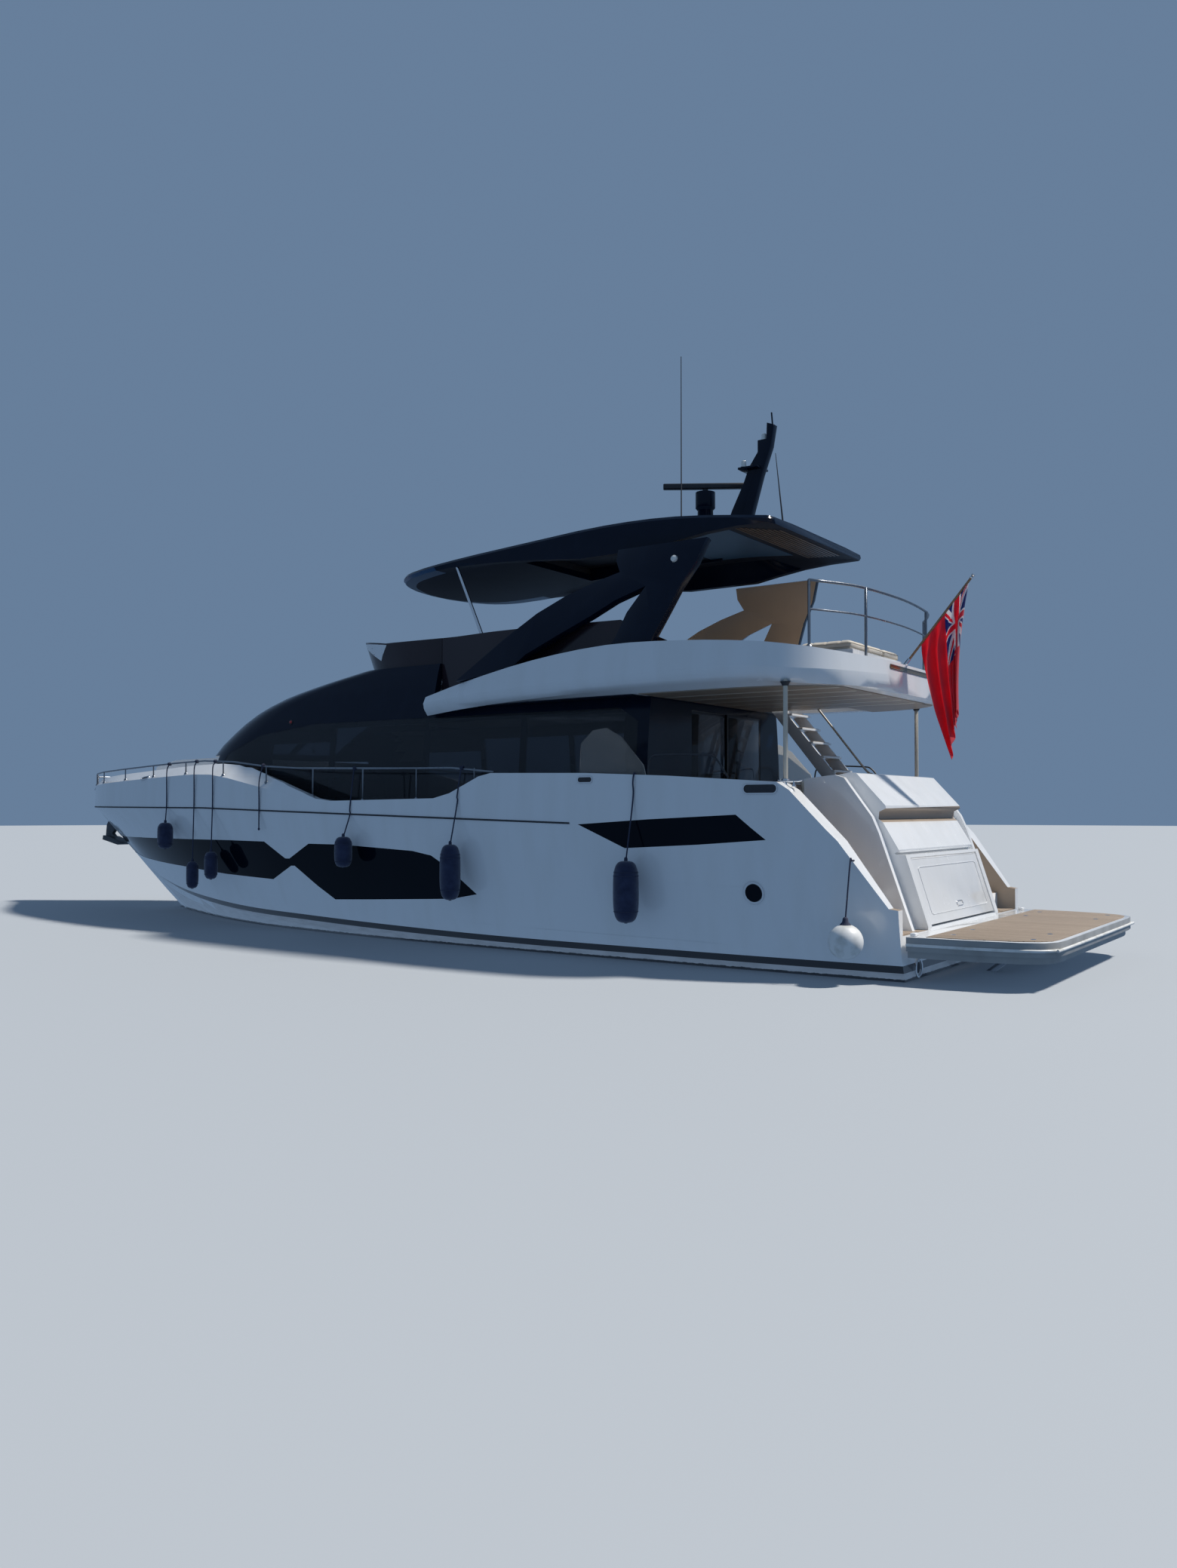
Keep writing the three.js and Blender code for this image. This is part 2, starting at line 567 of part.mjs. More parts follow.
function buildHouse() {
  const innerAftX = HOUSE_AFT_X + HOUSE_WALL;
  const room = houseForm(HOUSE_WALL_FORE, HOUSE_WALL, HOUSE_FOOT_Z - 10, CEILING_Z, innerAftX);
  let shell = houseOuter.subtract(room);
  const noseRoom = houseForm(HOUSE_WALL_FORE, HOUSE_WALL, CEILING_Z - 100, 4520, HOUSE_AFT_X)
    .intersect(box(1500, FAR_FORE, -FAR_SIDE, FAR_SIDE, 3500, FAR_UP));
  shell = shell.subtract(noseRoom);
  // Room for the flybridge floor and the well of its fore part
  shell = shell.subtract(box(FAR_AFT, FLY_JOIN_X, -FAR_SIDE, FAR_SIDE, CEILING_Z, FAR_UP));
  const well = houseForm(390, 130, FLY_DECK_Z, BROW_Z + 10, FAR_AFT)
    .intersect(box(FAR_AFT, 1150, -FAR_SIDE, FAR_SIDE, FLY_DECK_Z - 100, FAR_UP));
  shell = shell.subtract(well).subtract(trunkKeepOut());
  // Saloon doorway in the aft bulkhead
  const { y0: doorY0, y1: doorY1, top: doorTop } = DOORWAY;
  shell = shell.subtract(box(FAR_AFT, HOUSE_AFT_X + 300, doorY0, doorY1, HOUSE_FOOT_Z - 10, doorTop));
  // Rebates for the glass, then the windows behind it
  const rebate = sidePrism(SIDE_BAND, 1780, FAR_SIDE).subtract(behindSkin(SIDE_SEAT, GLASS_THICK));
  shell = shell.subtract(bothSides(rebate));
  SIDE_OPENINGS.forEach(([x0, x1, top]) => {
    shell = shell.subtract(bothSides(box(x0, x1, 1700, FAR_SIDE, 2450, top)));
  });
  shell = shell.subtract(screenBlock(0).subtract(behindSkin(SCREEN_SEAT, GLASS_THICK)));
  SCREEN_OPENINGS.forEach(([y0, y1]) => {
    shell = shell.subtract(box(SCREEN.x0 - 100, FAR_FORE, y0, y1, SCREEN.z0 + FRAME, SCREEN.z1 - FRAME));
  });
  return shell;
}

function screenBlock(inset) {
  const half = SCREEN.half - inset;
  return box(SCREEN.x0, FAR_FORE, -half, half, SCREEN.z0 + inset, SCREEN.z1 - inset);
}

function buildWindscreen() {
  return underSkin(4, 2).subtract(behindSkin(SCREEN_SEAT - 1, GLASS_THICK - 1)).intersect(screenBlock(2));
}

function buildSideGlass() {
  const skin = underSkin(4, 2).subtract(behindSkin(SIDE_SEAT - 1, GLASS_THICK - 1));
  return skin.intersect(sidePrism(shrunk(SIDE_BAND, 2), 1782, FAR_SIDE));
}

// White flybridge moulding: x, half width, lower edge, upper edge of the coaming
const FLY = [
  { x: -9000, half: 900, low: 3960, top: 4360 },
  { x: -8900, half: 1500, low: 3945, top: 4375 },
  { x: -8700, half: 2150, low: 3935, top: 4400 },
  { x: -8350, half: 2560, low: 3940, top: 4455 },
  { x: -7780, half: 2800, low: 3990, top: 4530 },
  { x: -6670, half: 2860, low: 4000, top: 4620 },
  { x: -5380, half: 2860, low: 3980, top: 4650 },
  { x: -3940, half: 2780, low: 3940, top: 4530 },
  { x: -2400, half: 2560, low: 3880, top: 4310 },
  { x: -1352, half: 2360, low: 3815, top: 4130 },
];

function buildFlybridge() {
  const stations = filledIn(FLY, 2);
  const rings = stations.map(({ x, half, low, top }) => [
    [x, half - 260, CEILING_Z + GAP], [x, half - 110, low], [x, half - 20, low + 110], [x, half, low + 200],
    [x, half - 60, top], [x, -half + 60, top], [x, -half, low + 200], [x, -half + 20, low + 110],
    [x, -half + 110, low], [x, -half + 260, CEILING_Z + GAP],
  ]);
  let body = loft(rings);
  const well = stations.filter(({ x }) => x > -8901 && x < FLY_JOIN_X - 350)
    .map(({ x, half }) => [x + (x < -8000 ? 90 : 0), half - 190]);
  well.push([FLY_JOIN_X + 300, 1790]);
  body = body.subtract(planPrism(bothEdges(well), FLY_DECK_Z, FAR_UP));
  // Hatch over the stair
  const { x0, x1, y0, y1 } = STAIR_HATCH;
  body = body.subtract(box(x0, x1, y0, y1, CEILING_Z - 100, FLY_DECK_Z + 100));
  // Clear of the house top where the moulding starts
  return body.subtract(houseForm(-2, -2, 3400, CEILING_Z + GAP / 2, HOUSE_AFT_X - 5));
}

// Tinted wind deflector: a band round the front of the flybridge that stands on the black roof,
// with a wing on each side that stands on the flybridge deck
const DEFLECTOR_THICK = 24;
const DEFLECTOR = { nose: 1120, half: 1890, round: 1500, z1: 5450, lean: 310, over: 20 };
const WING_LINE = [
  [FLY_JOIN_X + 50, 1878], [-1700, 1900], [-2600, 2050], [-3400, 2120], [-5900, 2120], [-6400, 2070],
];
const DEFLECTOR_TOP = [
  [-6500, 4000], [2200, 4000], [2200, 5400], [1400, 5385], [0, 5200], [-2900, 5170], [-5200, 5130],
  [-6300, 4620], [-6500, 4560],
];

function buildDeflector() {
  const foot = BROW_Z + GAP;
  const slope = DEFLECTOR.lean / (DEFLECTOR.z1 - foot);
  const ring = (z, inset, aftX) => {
    const nose = DEFLECTOR.nose + (z - foot) * slope - inset;
    return nosePlan(nose, DEFLECTOR.half - inset, DEFLECTOR.round, aftX, 8).map(([x, y]) => [x, y, z]);
  };
  const outer = loft([ring(foot, 0, FLY_JOIN_X), ring(DEFLECTOR.z1, 0, FLY_JOIN_X)]);
  const innerLevels = [foot - DEFLECTOR.over, DEFLECTOR.z1 + DEFLECTOR.over];
  const inner = loft(innerLevels.map((z) => ring(z, DEFLECTOR_THICK, FAR_AFT)));
  const wing = [...WING_LINE, ...WING_LINE.slice().reverse().map(([x, y]) => [x, y - DEFLECTOR_THICK])];
  const wings = bothSides(planPrism(wing, FLY_DECK_Z + GAP, FAR_UP));
  const overRoof = box(FLY_JOIN_X - 8, FAR_FORE, -FAR_SIDE, FAR_SIDE, 0, foot);
  const underTop = sidePrism(DEFLECTOR_TOP, -FAR_SIDE, FAR_SIDE);
  return outer.subtract(inner).add(wings).subtract(overRoof).intersect(underTop);
}

// Raked arch legs: side outline with the opening between the legs
const ARCH = [
  [-2250, 4330], [-3100, 4990], [-3700, 5390], [-4205, 5630], [-4691, 5800], [-5180, 5930], [-5080, 6130],
  [-5080, 6330], [-6650, 6330], [-6520, 5950], [-6310, 5590], [-6160, 5230], [-5970, 4800], [-5820, 4300],
  [-4980, 4300], [-5300, 4850], [-5430, 5230], [-5700, 5640], [-5180, 5460], [-4764, 5240], [-4250, 5000],
  [-3613, 4690], [-3300, 4420],
];
const ARCH_FOOT = { y: 2560, z: 4300 };
const ARCH_THICK = 130;
const ARCH_LEAN = 16;            // degrees inboard

function buildArch() {
  const leg = sidePrism(ARCH.map(([x, z]) => [x, z - ARCH_FOOT.z]), -ARCH_THICK, 0)
    .rotate([ARCH_LEAN, 0, 0])
    .translate([0, ARCH_FOOT.y, ARCH_FOOT.z])
    .intersect(box(FAR_AFT, FAR_FORE, 0, FAR_SIDE, FLY_DECK_Z + GAP, HARDTOP_UNDER_Z));
  return mainBody(clearOf(leg, bothSides(flybridge), [[0, 0, 1], [0, 1, 0], [0, -1, 0], [-1, 0, 0]]));
}

// Hardtop: x, half width, top height
const HARDTOP = [
  { x: -7560, half: 1640, top: 6500 },
  { x: -7480, half: 1760, top: 6520 },
  { x: -6000, half: 1840, top: 6690 },
  { x: -4700, half: 1860, top: 6720 },
  { x: -3200, half: 1850, top: 6650 },
  { x: -1500, half: 1800, top: 6560 },
  { x: -400, half: 1660, top: 6490 },
  { x: 60, half: 1350, top: 6460 },
  { x: 300, half: 800, top: 6445 },
  { x: 380, half: 300, top: 6440 },
];
const HARDTOP_THICK = 110;
const SUNROOF = { x0: -4300, x1: -2500, half: 1000, z: 6735, thick: 35, slide: 960, rim: 60 };
const RUNNER = { out: 20, half: 18, footZ: 6560 };
const PEDESTAL = [[0, 0], [150, 0], [130, 560], [165, 600], [165, 860], [60, RADAR.tall], [0, RADAR.tall]];

function buildHardtop() {
  const rings = filledIn(HARDTOP, 2).map(({ x, half, top }) => {
    const deep = Math.min(Math.max((-x - 1200) / 3000, 0), Math.max((x + 7500) / 1900, 0), 1);
    const under = lerp(top - HARDTOP_THICK, HARDTOP_UNDER_Z + GAP, deep);
    const [panel, beam, rim] = [330, 200, 60].map((wide) => Math.min(wide, half * wide * 0.0025));
    const port = [
      [half - panel, top - HARDTOP_THICK], [half - beam, under], [half - rim, under], [half, top - 60],
      [half - rim * 0.6, top - 15], [half * 0.6, top],
    ];
    return [...port, ...port.slice().reverse().map(([y, z]) => [-y, z])].map(([y, z]) => [x, y, z]);
  });
  const pedestal = turned(PEDESTAL, 16).translate([RADAR.x, 0, RADAR.footZ]);
  const runnerY = SUNROOF.half + RUNNER.out;
  const [runX0, runX1] = [SUNROOF.x0 - SUNROOF.slide, SUNROOF.x1 + SUNROOF.rim];
  const [runY0, runY1] = [runnerY - RUNNER.half, runnerY + RUNNER.half];
  const runner = box(runX0, runX1, runY0, runY1, RUNNER.footZ, SUNROOF.z - GAP);
  const opening = box(SUNROOF.x0, SUNROOF.x1, -SUNROOF.half, SUNROOF.half, 0, FAR_UP);
  return union([loft(rings).subtract(opening), pedestal, bothSides(runner)]);
}

const hull = buildHull();
addPiece('hull', hull, WHITE);
SIDES.forEach(([name, side]) => {
  addPiece(`hull_glass_${name}`, onSide(hullGlass(BAND), side), GLASS);
  addPiece(`quarter_glass_${name}`, onSide(hullGlass(QUARTER), side), GLASS);
});
const house = buildHouse();
addPiece('deckhouse', house, BLACK);
addPiece('windscreen', buildWindscreen(), GLASS);
const sideGlass = buildSideGlass();
SIDES.forEach(([name, side]) => addPiece(`side_glass_${name}`, onSide(sideGlass, side), GLASS));
const flybridge = buildFlybridge();
addPiece('flybridge', flybridge, WHITE);
const deflector = buildDeflector();
addPiece('wind_deflector', deflector, TINT);
const arch = buildArch();
SIDES.forEach(([name, side]) => addPiece(`arch_${name}`, onSide(arch, side), BLACK));
const hardtop = buildHardtop();
addPiece('hardtop', hardtop, BLACK);

// Saloon doors in the aft bulkhead: a fixed pane and a sliding one before it
const PANE = { x0: HOUSE_AFT_X + 5, thick: 30, y1: -280 };
const LEAF = { x0: HOUSE_AFT_X + 42, thick: 32, y0: -330, edge: 6 };
const [paneX1, paneTop] = [PANE.x0 + PANE.thick, DOORWAY.top - GAP];
const fixedPane = box(PANE.x0, paneX1, DOORWAY.y0 + GAP, PANE.y1, DECK_Z + GAP, paneTop);
addPiece('saloon_fixed_pane', fixedPane, GLASS);
const [leafX1, leafTop] = [LEAF.x0 + LEAF.thick, DOORWAY.top - LEAF.edge];
const doorLeaf = box(LEAF.x0, leafX1, LEAF.y0, DOORWAY.y1 - LEAF.edge, DECK_Z + LEAF.edge + 2, leafTop);
const doorShoes = [-250, 800].map((y) => (
  box(LEAF.x0 + 4, leafX1 - 4, y - 30, y + 30, DECK_Z + GAP, DECK_Z + 20)
));
addPiece('saloon_door', union([doorLeaf, ...doorShoes]), GLASS);

// Sunroof panel over the opening in the hardtop, on its runners
const roofHalf = SUNROOF.half + 40;
const [roofX0, roofX1] = [SUNROOF.x0 - SUNROOF.rim, SUNROOF.x1 + SUNROOF.rim];
addPiece('sunroof', box(roofX0, roofX1, -roofHalf, roofHalf, SUNROOF.z, SUNROOF.z + SUNROOF.thick), GLASS);

// Mast, radar scanner and the tall whip
const MAST = [
  [-5830, 6600], [-6030, 7110], [-6240, 7520], [-6340, 7770], [-6500, 8000], [-6500, 8190], [-6655, 8190],
  [-6665, 8450], [-6790, 8400], [-6730, 8060], [-6567, 7620], [-6400, 7060], [-6290, 6600],
];
const SPREADER = [[-6210, 7725], [-6210, 7760], [-6560, 7760], [-6560, 7725]];
const MAST_HALF = 65;
const SPREADER_HALF = 200;
const mastBody = union([
  sidePrism(MAST, -MAST_HALF, MAST_HALF),
  sidePrism(SPREADER, -SPREADER_HALF, SPREADER_HALF),
  bar([[-6740, 0, 8380], [-6720, 0, 8620]], 14, 8),
]);
const STAND = [[0, 0, 1], [0, 0, 0]];
addPiece('mast', mainBody(clearOf(mastBody, hardtop, STAND)), BLACK);
const radarTopZ = RADAR.footZ + RADAR.tall;
const scannerBar = box(-RADAR.long / 2, RADAR.long / 2, -55, 55, 40, 130).rotate([0, 0, RADAR.turn]);
const scannerHub = turned([[0, GAP], [45, GAP], [45, 60], [0, 60]], 12);
addPiece('radar_scanner', scannerBar.add(scannerHub).translate([RADAR.x, 0, radarTopZ]), BLACK);
const WHIP = { x: -5800, y: 1300, footZ: 6500, tall: 2820 };
const whip = turned([[0, 0], [28, 0], [26, 160], [11, 200], [6, WHIP.tall], [0, WHIP.tall]], 10)
  .translate([WHIP.x, WHIP.y, WHIP.footZ]);
addPiece('whip', mainBody(clearOf(whip, hardtop, STAND)), BLACK);

// Front struts of the hardtop
const strutLine = bar([[-2690, 1760, 4000], [-1400, 1690, 6700]], 30, 10);
const strutEnds = bothSides(union([hardtop, house, flybridge, deflector]));
const strut = mainBody(clearOf(strutLine, strutEnds));
SIDES.forEach(([name, side]) => addPiece(`hardtop_strut_${name}`, onSide(strut, side), STEEL));

// Bow rail: one top tube round the bow, its stanchions on the bulwark and, forward, on the cap's slope.
// x, height of the rail's centre, how far in from the widest point it runs
const RAIL = [
  { x: -3300, z: 2810, inset: 105 }, { x: -3000, z: 2880, inset: 105 }, { x: -1600, z: 2900, inset: 105 },
  { x: 300, z: 2935, inset: 105 }, { x: 1900, z: 2990, inset: 90 }, { x: 3200, z: 3125, inset: 55 },
  { x: 4300, z: 3150, inset: 50 }, { x: 6500, z: 3085, inset: 50 }, { x: 8700, z: 3030, inset: 50 },
  { x: 10300, z: 3015, inset: 50 }, { x: 11200, z: 3015, inset: 50 },
];
const RAIL_R = 17;
const RAIL_TIP = [11560, 0, 3015];
const POST_R = 14;
const POSTS = { x0: -2900, x1: 10900, count: 12 };
const railY = (x) => smoothAlong(HULL, 'sheerY', x) - along(RAIL, 'inset', x);
const capZ = (x) => along(SHEER, 'z', x);
const railPort = RAIL.map(({ x, z }) => [x, railY(x), z]);
const railStarboard = railPort.slice().reverse().map(([x, y, z]) => [x, -y, z]);
const railTube = bar([...railPort, RAIL_TIP, ...railStarboard], RAIL_R, 6, 34);
const posts = Array.from({ length: POSTS.count }, (_, i) => {
  const x = lerp(POSTS.x0, POSTS.x1, i / (POSTS.count - 1));
  const footZ = Math.min(capZ(x) - 60, along(KNUCKLE, 'z', x));
  return bothSides(bar([[x, railY(x), footZ], [x, railY(x), along(RAIL, 'z', x)]], POST_R, 5));
});
const bowRail = mainBody(clearOf(union([railTube, ...posts]), hull));
addPiece('bow_rail', bowRail, STEEL);

// Anchor on the stem with its stainless shoe
const SHANK = [
  [10700, 1860], [11060, 1990], [11160, 1840], [11190, 1600], [11090, 1500], [10820, 1440], [10600, 1440],
  [10820, 1540], [10940, 1640],
];
const SHANK_HALF = 45;
const FLUKES = [[10440, 1400], [10560, 1370], [11170, 1490], [11150, 1590], [10900, 1560], [10600, 1480]];
const FLUKE_HALF = 150;
const anchor = sidePrism(SHANK, -SHANK_HALF, SHANK_HALF).add(sidePrism(FLUKES, -FLUKE_HALF, FLUKE_HALF));
addPiece('anchor', mainBody(clearOf(anchor, hull)), STEEL);

// Overhang posts and wing glass
const OVERHANG_POST = { x: -8170, y: 2560, r: 32 };
const WING = [
  [-4950, 2600], [-4990, 3200], [-5200, 3390], [-5450, 3420], [-5700, 3280], [-6080, 2860], [-6150, 2600],
];
const WING_Y = 2850;
const WING_THICK = 30;
const postLine = [2500, 4050].map((z) => [OVERHANG_POST.x, OVERHANG_POST.y, z]);
const post = mainBody(clearOf(bar(postLine, OVERHANG_POST.r, 12), bothSides(hull.add(flybridge))));
const wing = mainBody(clearOf(sidePrism(WING, WING_Y, WING_Y + WING_THICK), bothSides(hull)));
SIDES.forEach(([name, side]) => {
  addPiece(`overhang_post_${name}`, onSide(post, side), STEEL);
  addPiece(`wing_glass_${name}`, onSide(wing, side), GLASS);
});

// Aft rail of the flybridge
const FLY_RAIL_Z = 5370;
const FLY_POST_R = 20;
const FLY_RAIL_BARS = [[0, 20], [400, 14]];       // drop from the top, radius
const FLY_RAIL_PORT = [[-8400, 2290], [-8640, 1800], [-8800, 1250]];
const FLY_RAIL_AFT = [-8890, 0];
const flyRailStarboard = FLY_RAIL_PORT.slice().reverse().map(([x, y]) => [x, -y]);
const flyRailPlan = [...FLY_RAIL_PORT, FLY_RAIL_AFT, ...flyRailStarboard];
const flyPosts = [FLY_RAIL_PORT[0], FLY_RAIL_PORT[2]].map(([x, y]) => (
  bothSides(bar([[x, y, FLY_DECK_Z], [x, y, FLY_RAIL_Z + 8]], FLY_POST_R, 6))
));
const flyBars = FLY_RAIL_BARS.map(([drop, r]) => (
  bar(flyRailPlan.map(([x, y]) => [x, y, FLY_RAIL_Z - drop]), r, 6, 18)
));
const flyRail = mainBody(clearOf(union([...flyBars, ...flyPosts]), bothSides(flybridge)));
addPiece('fly_rail', flyRail, STEEL);

// Stair from the cockpit up to the flybridge
const FLIGHT = { x0: -7750, x1: -6000, count: 8, half: 150, thick: 35 };
const STRINGER = [[-7900, DECK_Z + GAP], [-7600, DECK_Z + GAP], [-5960, CEILING_Z - 5], [-6200, CEILING_Z - 5]];
const STRINGER_WIDE = 40;
const [flightY0, flightY1] = [STAIR_HATCH.y0 + 20, STAIR_HATCH.y1 - 20];
const treads = Array.from({ length: FLIGHT.count }, (_, i) => {
  const climbed = (i + 1) / (FLIGHT.count + 1);
  const x = lerp(FLIGHT.x0, FLIGHT.x1, climbed);
  const z = lerp(DECK_Z, FLY_DECK_Z, climbed);
  return box(x - FLIGHT.half, x + FLIGHT.half, flightY0, flightY1, z - FLIGHT.thick, z);
});
const stringers = [flightY0, flightY1 - STRINGER_WIDE].map((y) => sidePrism(STRINGER, y, y + STRINGER_WIDE));
addPiece('fly_stair', union([...stringers, ...treads]), WHITE);

// Garage door in the stern block, turning on a barrel under the garage's ceiling
const DOOR_FOOT_Z = GARAGE.z0 + 35;
const DOOR_ROOM = 8;             // at each end
const doorOutline = [
  [GARAGE_HINGE.x - 8, GARAGE_HINGE.z + 2], [-9779, DOOR_FOOT_Z], [-9730, DOOR_FOOT_Z],
  [GARAGE_HINGE.x + 14, GARAGE_HINGE.z - 25], [GARAGE_HINGE.x + 8, GARAGE_HINGE.z + 2],
];
const hingeBar = crossBar(GARAGE_HINGE.r, 2 * GARAGE.half - 60).translate([GARAGE_HINGE.x, 0, GARAGE_HINGE.z]);
const doorHalf = GARAGE.half - DOOR_ROOM;
addPiece('garage_door', sidePrism(doorOutline, -doorHalf, doorHalf).add(hingeBar), WHITE);

// Bathing platform on two lifting arms
const ARM_HALF = { wide: 30, deep: 40 };
function armOutline() {
  const far = Math.hypot(ARM_HEAD.x - ARM_FOOT.x, ARM_HEAD.z - ARM_FOOT.z);
  const ux = ((ARM_HEAD.x - ARM_FOOT.x) / far) * ARM_HALF.deep;
  const uz = ((ARM_HEAD.z - ARM_FOOT.z) / far) * ARM_HALF.deep;
  return [
    [ARM_FOOT.x - ux - uz, ARM_FOOT.z - uz + ux], [ARM_HEAD.x + ux - uz, ARM_HEAD.z + uz + ux],
    [ARM_HEAD.x + ux + uz, ARM_HEAD.z + uz - ux], [ARM_FOOT.x - ux + uz, ARM_FOOT.z - uz - ux],
  ];
}
const arm = sidePrism(armOutline(), ARM_Y - ARM_HALF.wide, ARM_Y + ARM_HALF.wide);
const crossLong = 2 * ARM_Y + 200;
const crossShafts = [ARM_FOOT, ARM_HEAD].map(({ x, z }) => crossBar(SHAFT_R, crossLong).translate([x, 0, z]));
addPiece('platform_arms', union([bothSides(arm), ...crossShafts]), STEEL);
const PLATFORM = [
  [-9870, 2640], [-10700, 2600], [-11250, 2500], [-11500, 2370], [-11610, 2180], [PLATFORM_AFT_X, 1900],
];
const SLAB = { z0: 330, stepZ: 420, inset: 60 };
const slabPlan = (inset) => bothEdges(PLATFORM.map(([x, y], i) => [i === 0 ? x : x + inset, y - inset]));
const slab = planPrism(slabPlan(0), SLAB.stepZ, PLATFORM_TOP_Z)
  .add(planPrism(slabPlan(SLAB.inset), SLAB.z0, SLAB.stepZ + 1));
const headLug = box(ARM_HEAD.x - 60, ARM_HEAD.x + 60, LUG_Y - LUG_HALF, LUG_Y + LUG_HALF, 190, SLAB.z0 + 10);
addPiece('bathing_platform', slab.add(bothSides(headLug)).subtract(pinHole(ARM_HEAD)), WHITE);

// Shafts, propellers and rudders
const SHAFT_TILT = 8;            // degrees
const BLADE = { thick: 16, pitch: 32 };
const STRUT = [[-8080, -1080], [-7900, -1060], [-7820, -400], [-8040, -400]];
const STRUT_HALF = 22;
const RUDDER = [[-8880, -705], [-9300, -705], [-9260, -1300], [-9220, -1400], [-8960, -1400], [-8890, -1100]];
const RUDDER_HALF = 24;
function propeller() {
  const hub = turned([[0, -120], [60, -120], [78, -60], [78, 120], [0, 120]], 20);
  const outline = new THREE.Shape();
  outline.moveTo(-60, 40);
  outline.quadraticCurveTo(-175, 260, -60, 425);
  outline.quadraticCurveTo(10, 440, 70, 400);
  outline.quadraticCurveTo(175, 240, 60, 40);
  const blades = [];
  for (let i = 0; i < PROP.blades; i += 1) {
    const settings = { depth: BLADE.thick, bevelEnabled: false, curveSegments: 5 };
    const blade = new THREE.ExtrudeGeometry(outline, settings);
    blade.translate(0, 0, -BLADE.thick / 2);
    blade.rotateY(THREE.MathUtils.degToRad(BLADE.pitch));
    blade.rotateZ((i / PROP.blades) * Math.PI * 2);
    blades.push(solidOf(blade));
  }
  return union([hub, ...blades]);
}
// Local +Z of a shaft piece points aft and down along the shaft
function onShaft(solid) {
  return solid.rotate([0, -90 - SHAFT_TILT, 0]).translate([PROP.x, PROP.y, PROP.z]);
}
const portPropeller = onShaft(propeller());
const shaftLine = turned([[0, -3600], [36, -3600], [36, -120 - GAP], [0, -120 - GAP]], 14);
const shaftTube = turned([[0, -420], [64, -420], [70, -180], [0, -180]], 14);
const shaftStrut = sidePrism(STRUT, PROP.y - STRUT_HALF, PROP.y + STRUT_HALF);
const wholeShaft = union([onShaft(shaftLine), onShaft(shaftTube), shaftStrut]);
const portShaft = mainBody(clearOf(wholeShaft, bothSides(hull), [[0, 0, -1], [0, 0, 0], [-1, 0, 0]]));
const stock = turned([[0, 0], [34, 0], [34, 40], [0, 40]], 14).translate([RUDDER_X, PROP.y, RUDDER_TOP_Z - 40]);
const portRudder = sidePrism(RUDDER, PROP.y - RUDDER_HALF, PROP.y + RUDDER_HALF).add(stock);
SIDES.forEach(([name, side]) => {
  addPiece(`propeller_${name}`, onSide(portPropeller, side), BRONZE);
  addPiece(`shaft_${name}`, onSide(portShaft, side), BRONZE);
  addPiece(`rudder_${name}`, onSide(portRudder, side), BRONZE);
});

// Foredeck hatch and cushions
addPiece('foredeck_hatch', box(9150, 9700, -300, 300, FORE_DECK_Z + GAP, FORE_DECK_Z + 45), GLASS);
const SUNPAD = [[7100, 2750], [8450, 2590], [8450, 2790], [7100, 2970]];
addPiece('fore_sunpad', sidePrism(SUNPAD, -1000, 1000).subtract(hull.translate([0, 0, GAP])), CREAM);

// Cockpit sofa and table
const deckTop = DECK_Z + GAP;
const SOFA = [[-8140, deckTop], [-8140, 2630], [-7990, 2630], [-7930, 2380], [-7480, 2360], [-7480, deckTop]];
addPiece('cockpit_sofa', sidePrism(SOFA, -1350, 1650), CREAM);
const tableTop = box(-7250, -6650, -100, 1300, 2590, 2630);
const tableLeg = turned([[0, 0], [220, 0], [220, 20], [60, 40], [60, 700], [0, 700]], 16);
addPiece('cockpit_table', tableTop.add(tableLeg.translate([-6950, 600, deckTop])), TEAK);

// Flybridge: helm console, seats, sofa and wet bar
const flyTop = FLY_DECK_Z + GAP;
const CONSOLE = [[780, flyTop], [780, 4850], [560, 5020], [230, 4880], [180, flyTop]];
const HELM_SEAT = [
  [-250, flyTop], [-250, 4640], [-300, 4680], [-720, 4680], [-820, 5150], [-930, 5150], [-900, flyTop],
];
const FLY_SOFA = { x0: -5000, x1: -2900, y0: -2000, backY: -1860, y1: -1400, seatZ: 4560, backZ: 4820 };
const flySofa = box(FLY_SOFA.x0, FLY_SOFA.x1, FLY_SOFA.y0, FLY_SOFA.y1, flyTop, FLY_SOFA.seatZ)
  .add(box(FLY_SOFA.x0, FLY_SOFA.x1, FLY_SOFA.y0, FLY_SOFA.backY, flyTop, FLY_SOFA.backZ));
addPiece('fly_console', sidePrism(CONSOLE, -200, 1000), BLACK);
addPiece('fly_helm_seat', sidePrism(HELM_SEAT, 0, 1100), CREAM);
addPiece('fly_sofa', flySofa, CREAM);
addPiece('fly_wet_bar', box(-4700, -3100, 1350, 2000, flyTop, 5020), WHITE);
addPiece('fly_sunbed', box(-8500, -7600, -1000, 1000, flyTop, 4700), CREAM);

// Inside: lower helm and saloon seats
const LOWER_HELM = [[4300, deckTop], [4300, 3000], [3900, 3050], [3500, 2850], [3500, deckTop]];
const IN_SOFA = { x0: -4900, x1: -2500, y0: 1350, backY: 1950, y1: 2080, seatZ: 2330, backZ: 2750 };
const saloonSofa = box(IN_SOFA.x0, IN_SOFA.x1, IN_SOFA.y0, IN_SOFA.y1, deckTop, IN_SOFA.seatZ)
  .add(box(IN_SOFA.x0, IN_SOFA.x1, IN_SOFA.backY, IN_SOFA.y1, deckTop, IN_SOFA.backZ));
addPiece('lower_helm', sidePrism(LOWER_HELM, -1700, 1700), BLACK);
addPiece('saloon_sofa', saloonSofa, CREAM);
addPiece('galley_unit', box(-4900, -600, -2080, -1450, deckTop, 2830), WHITE);

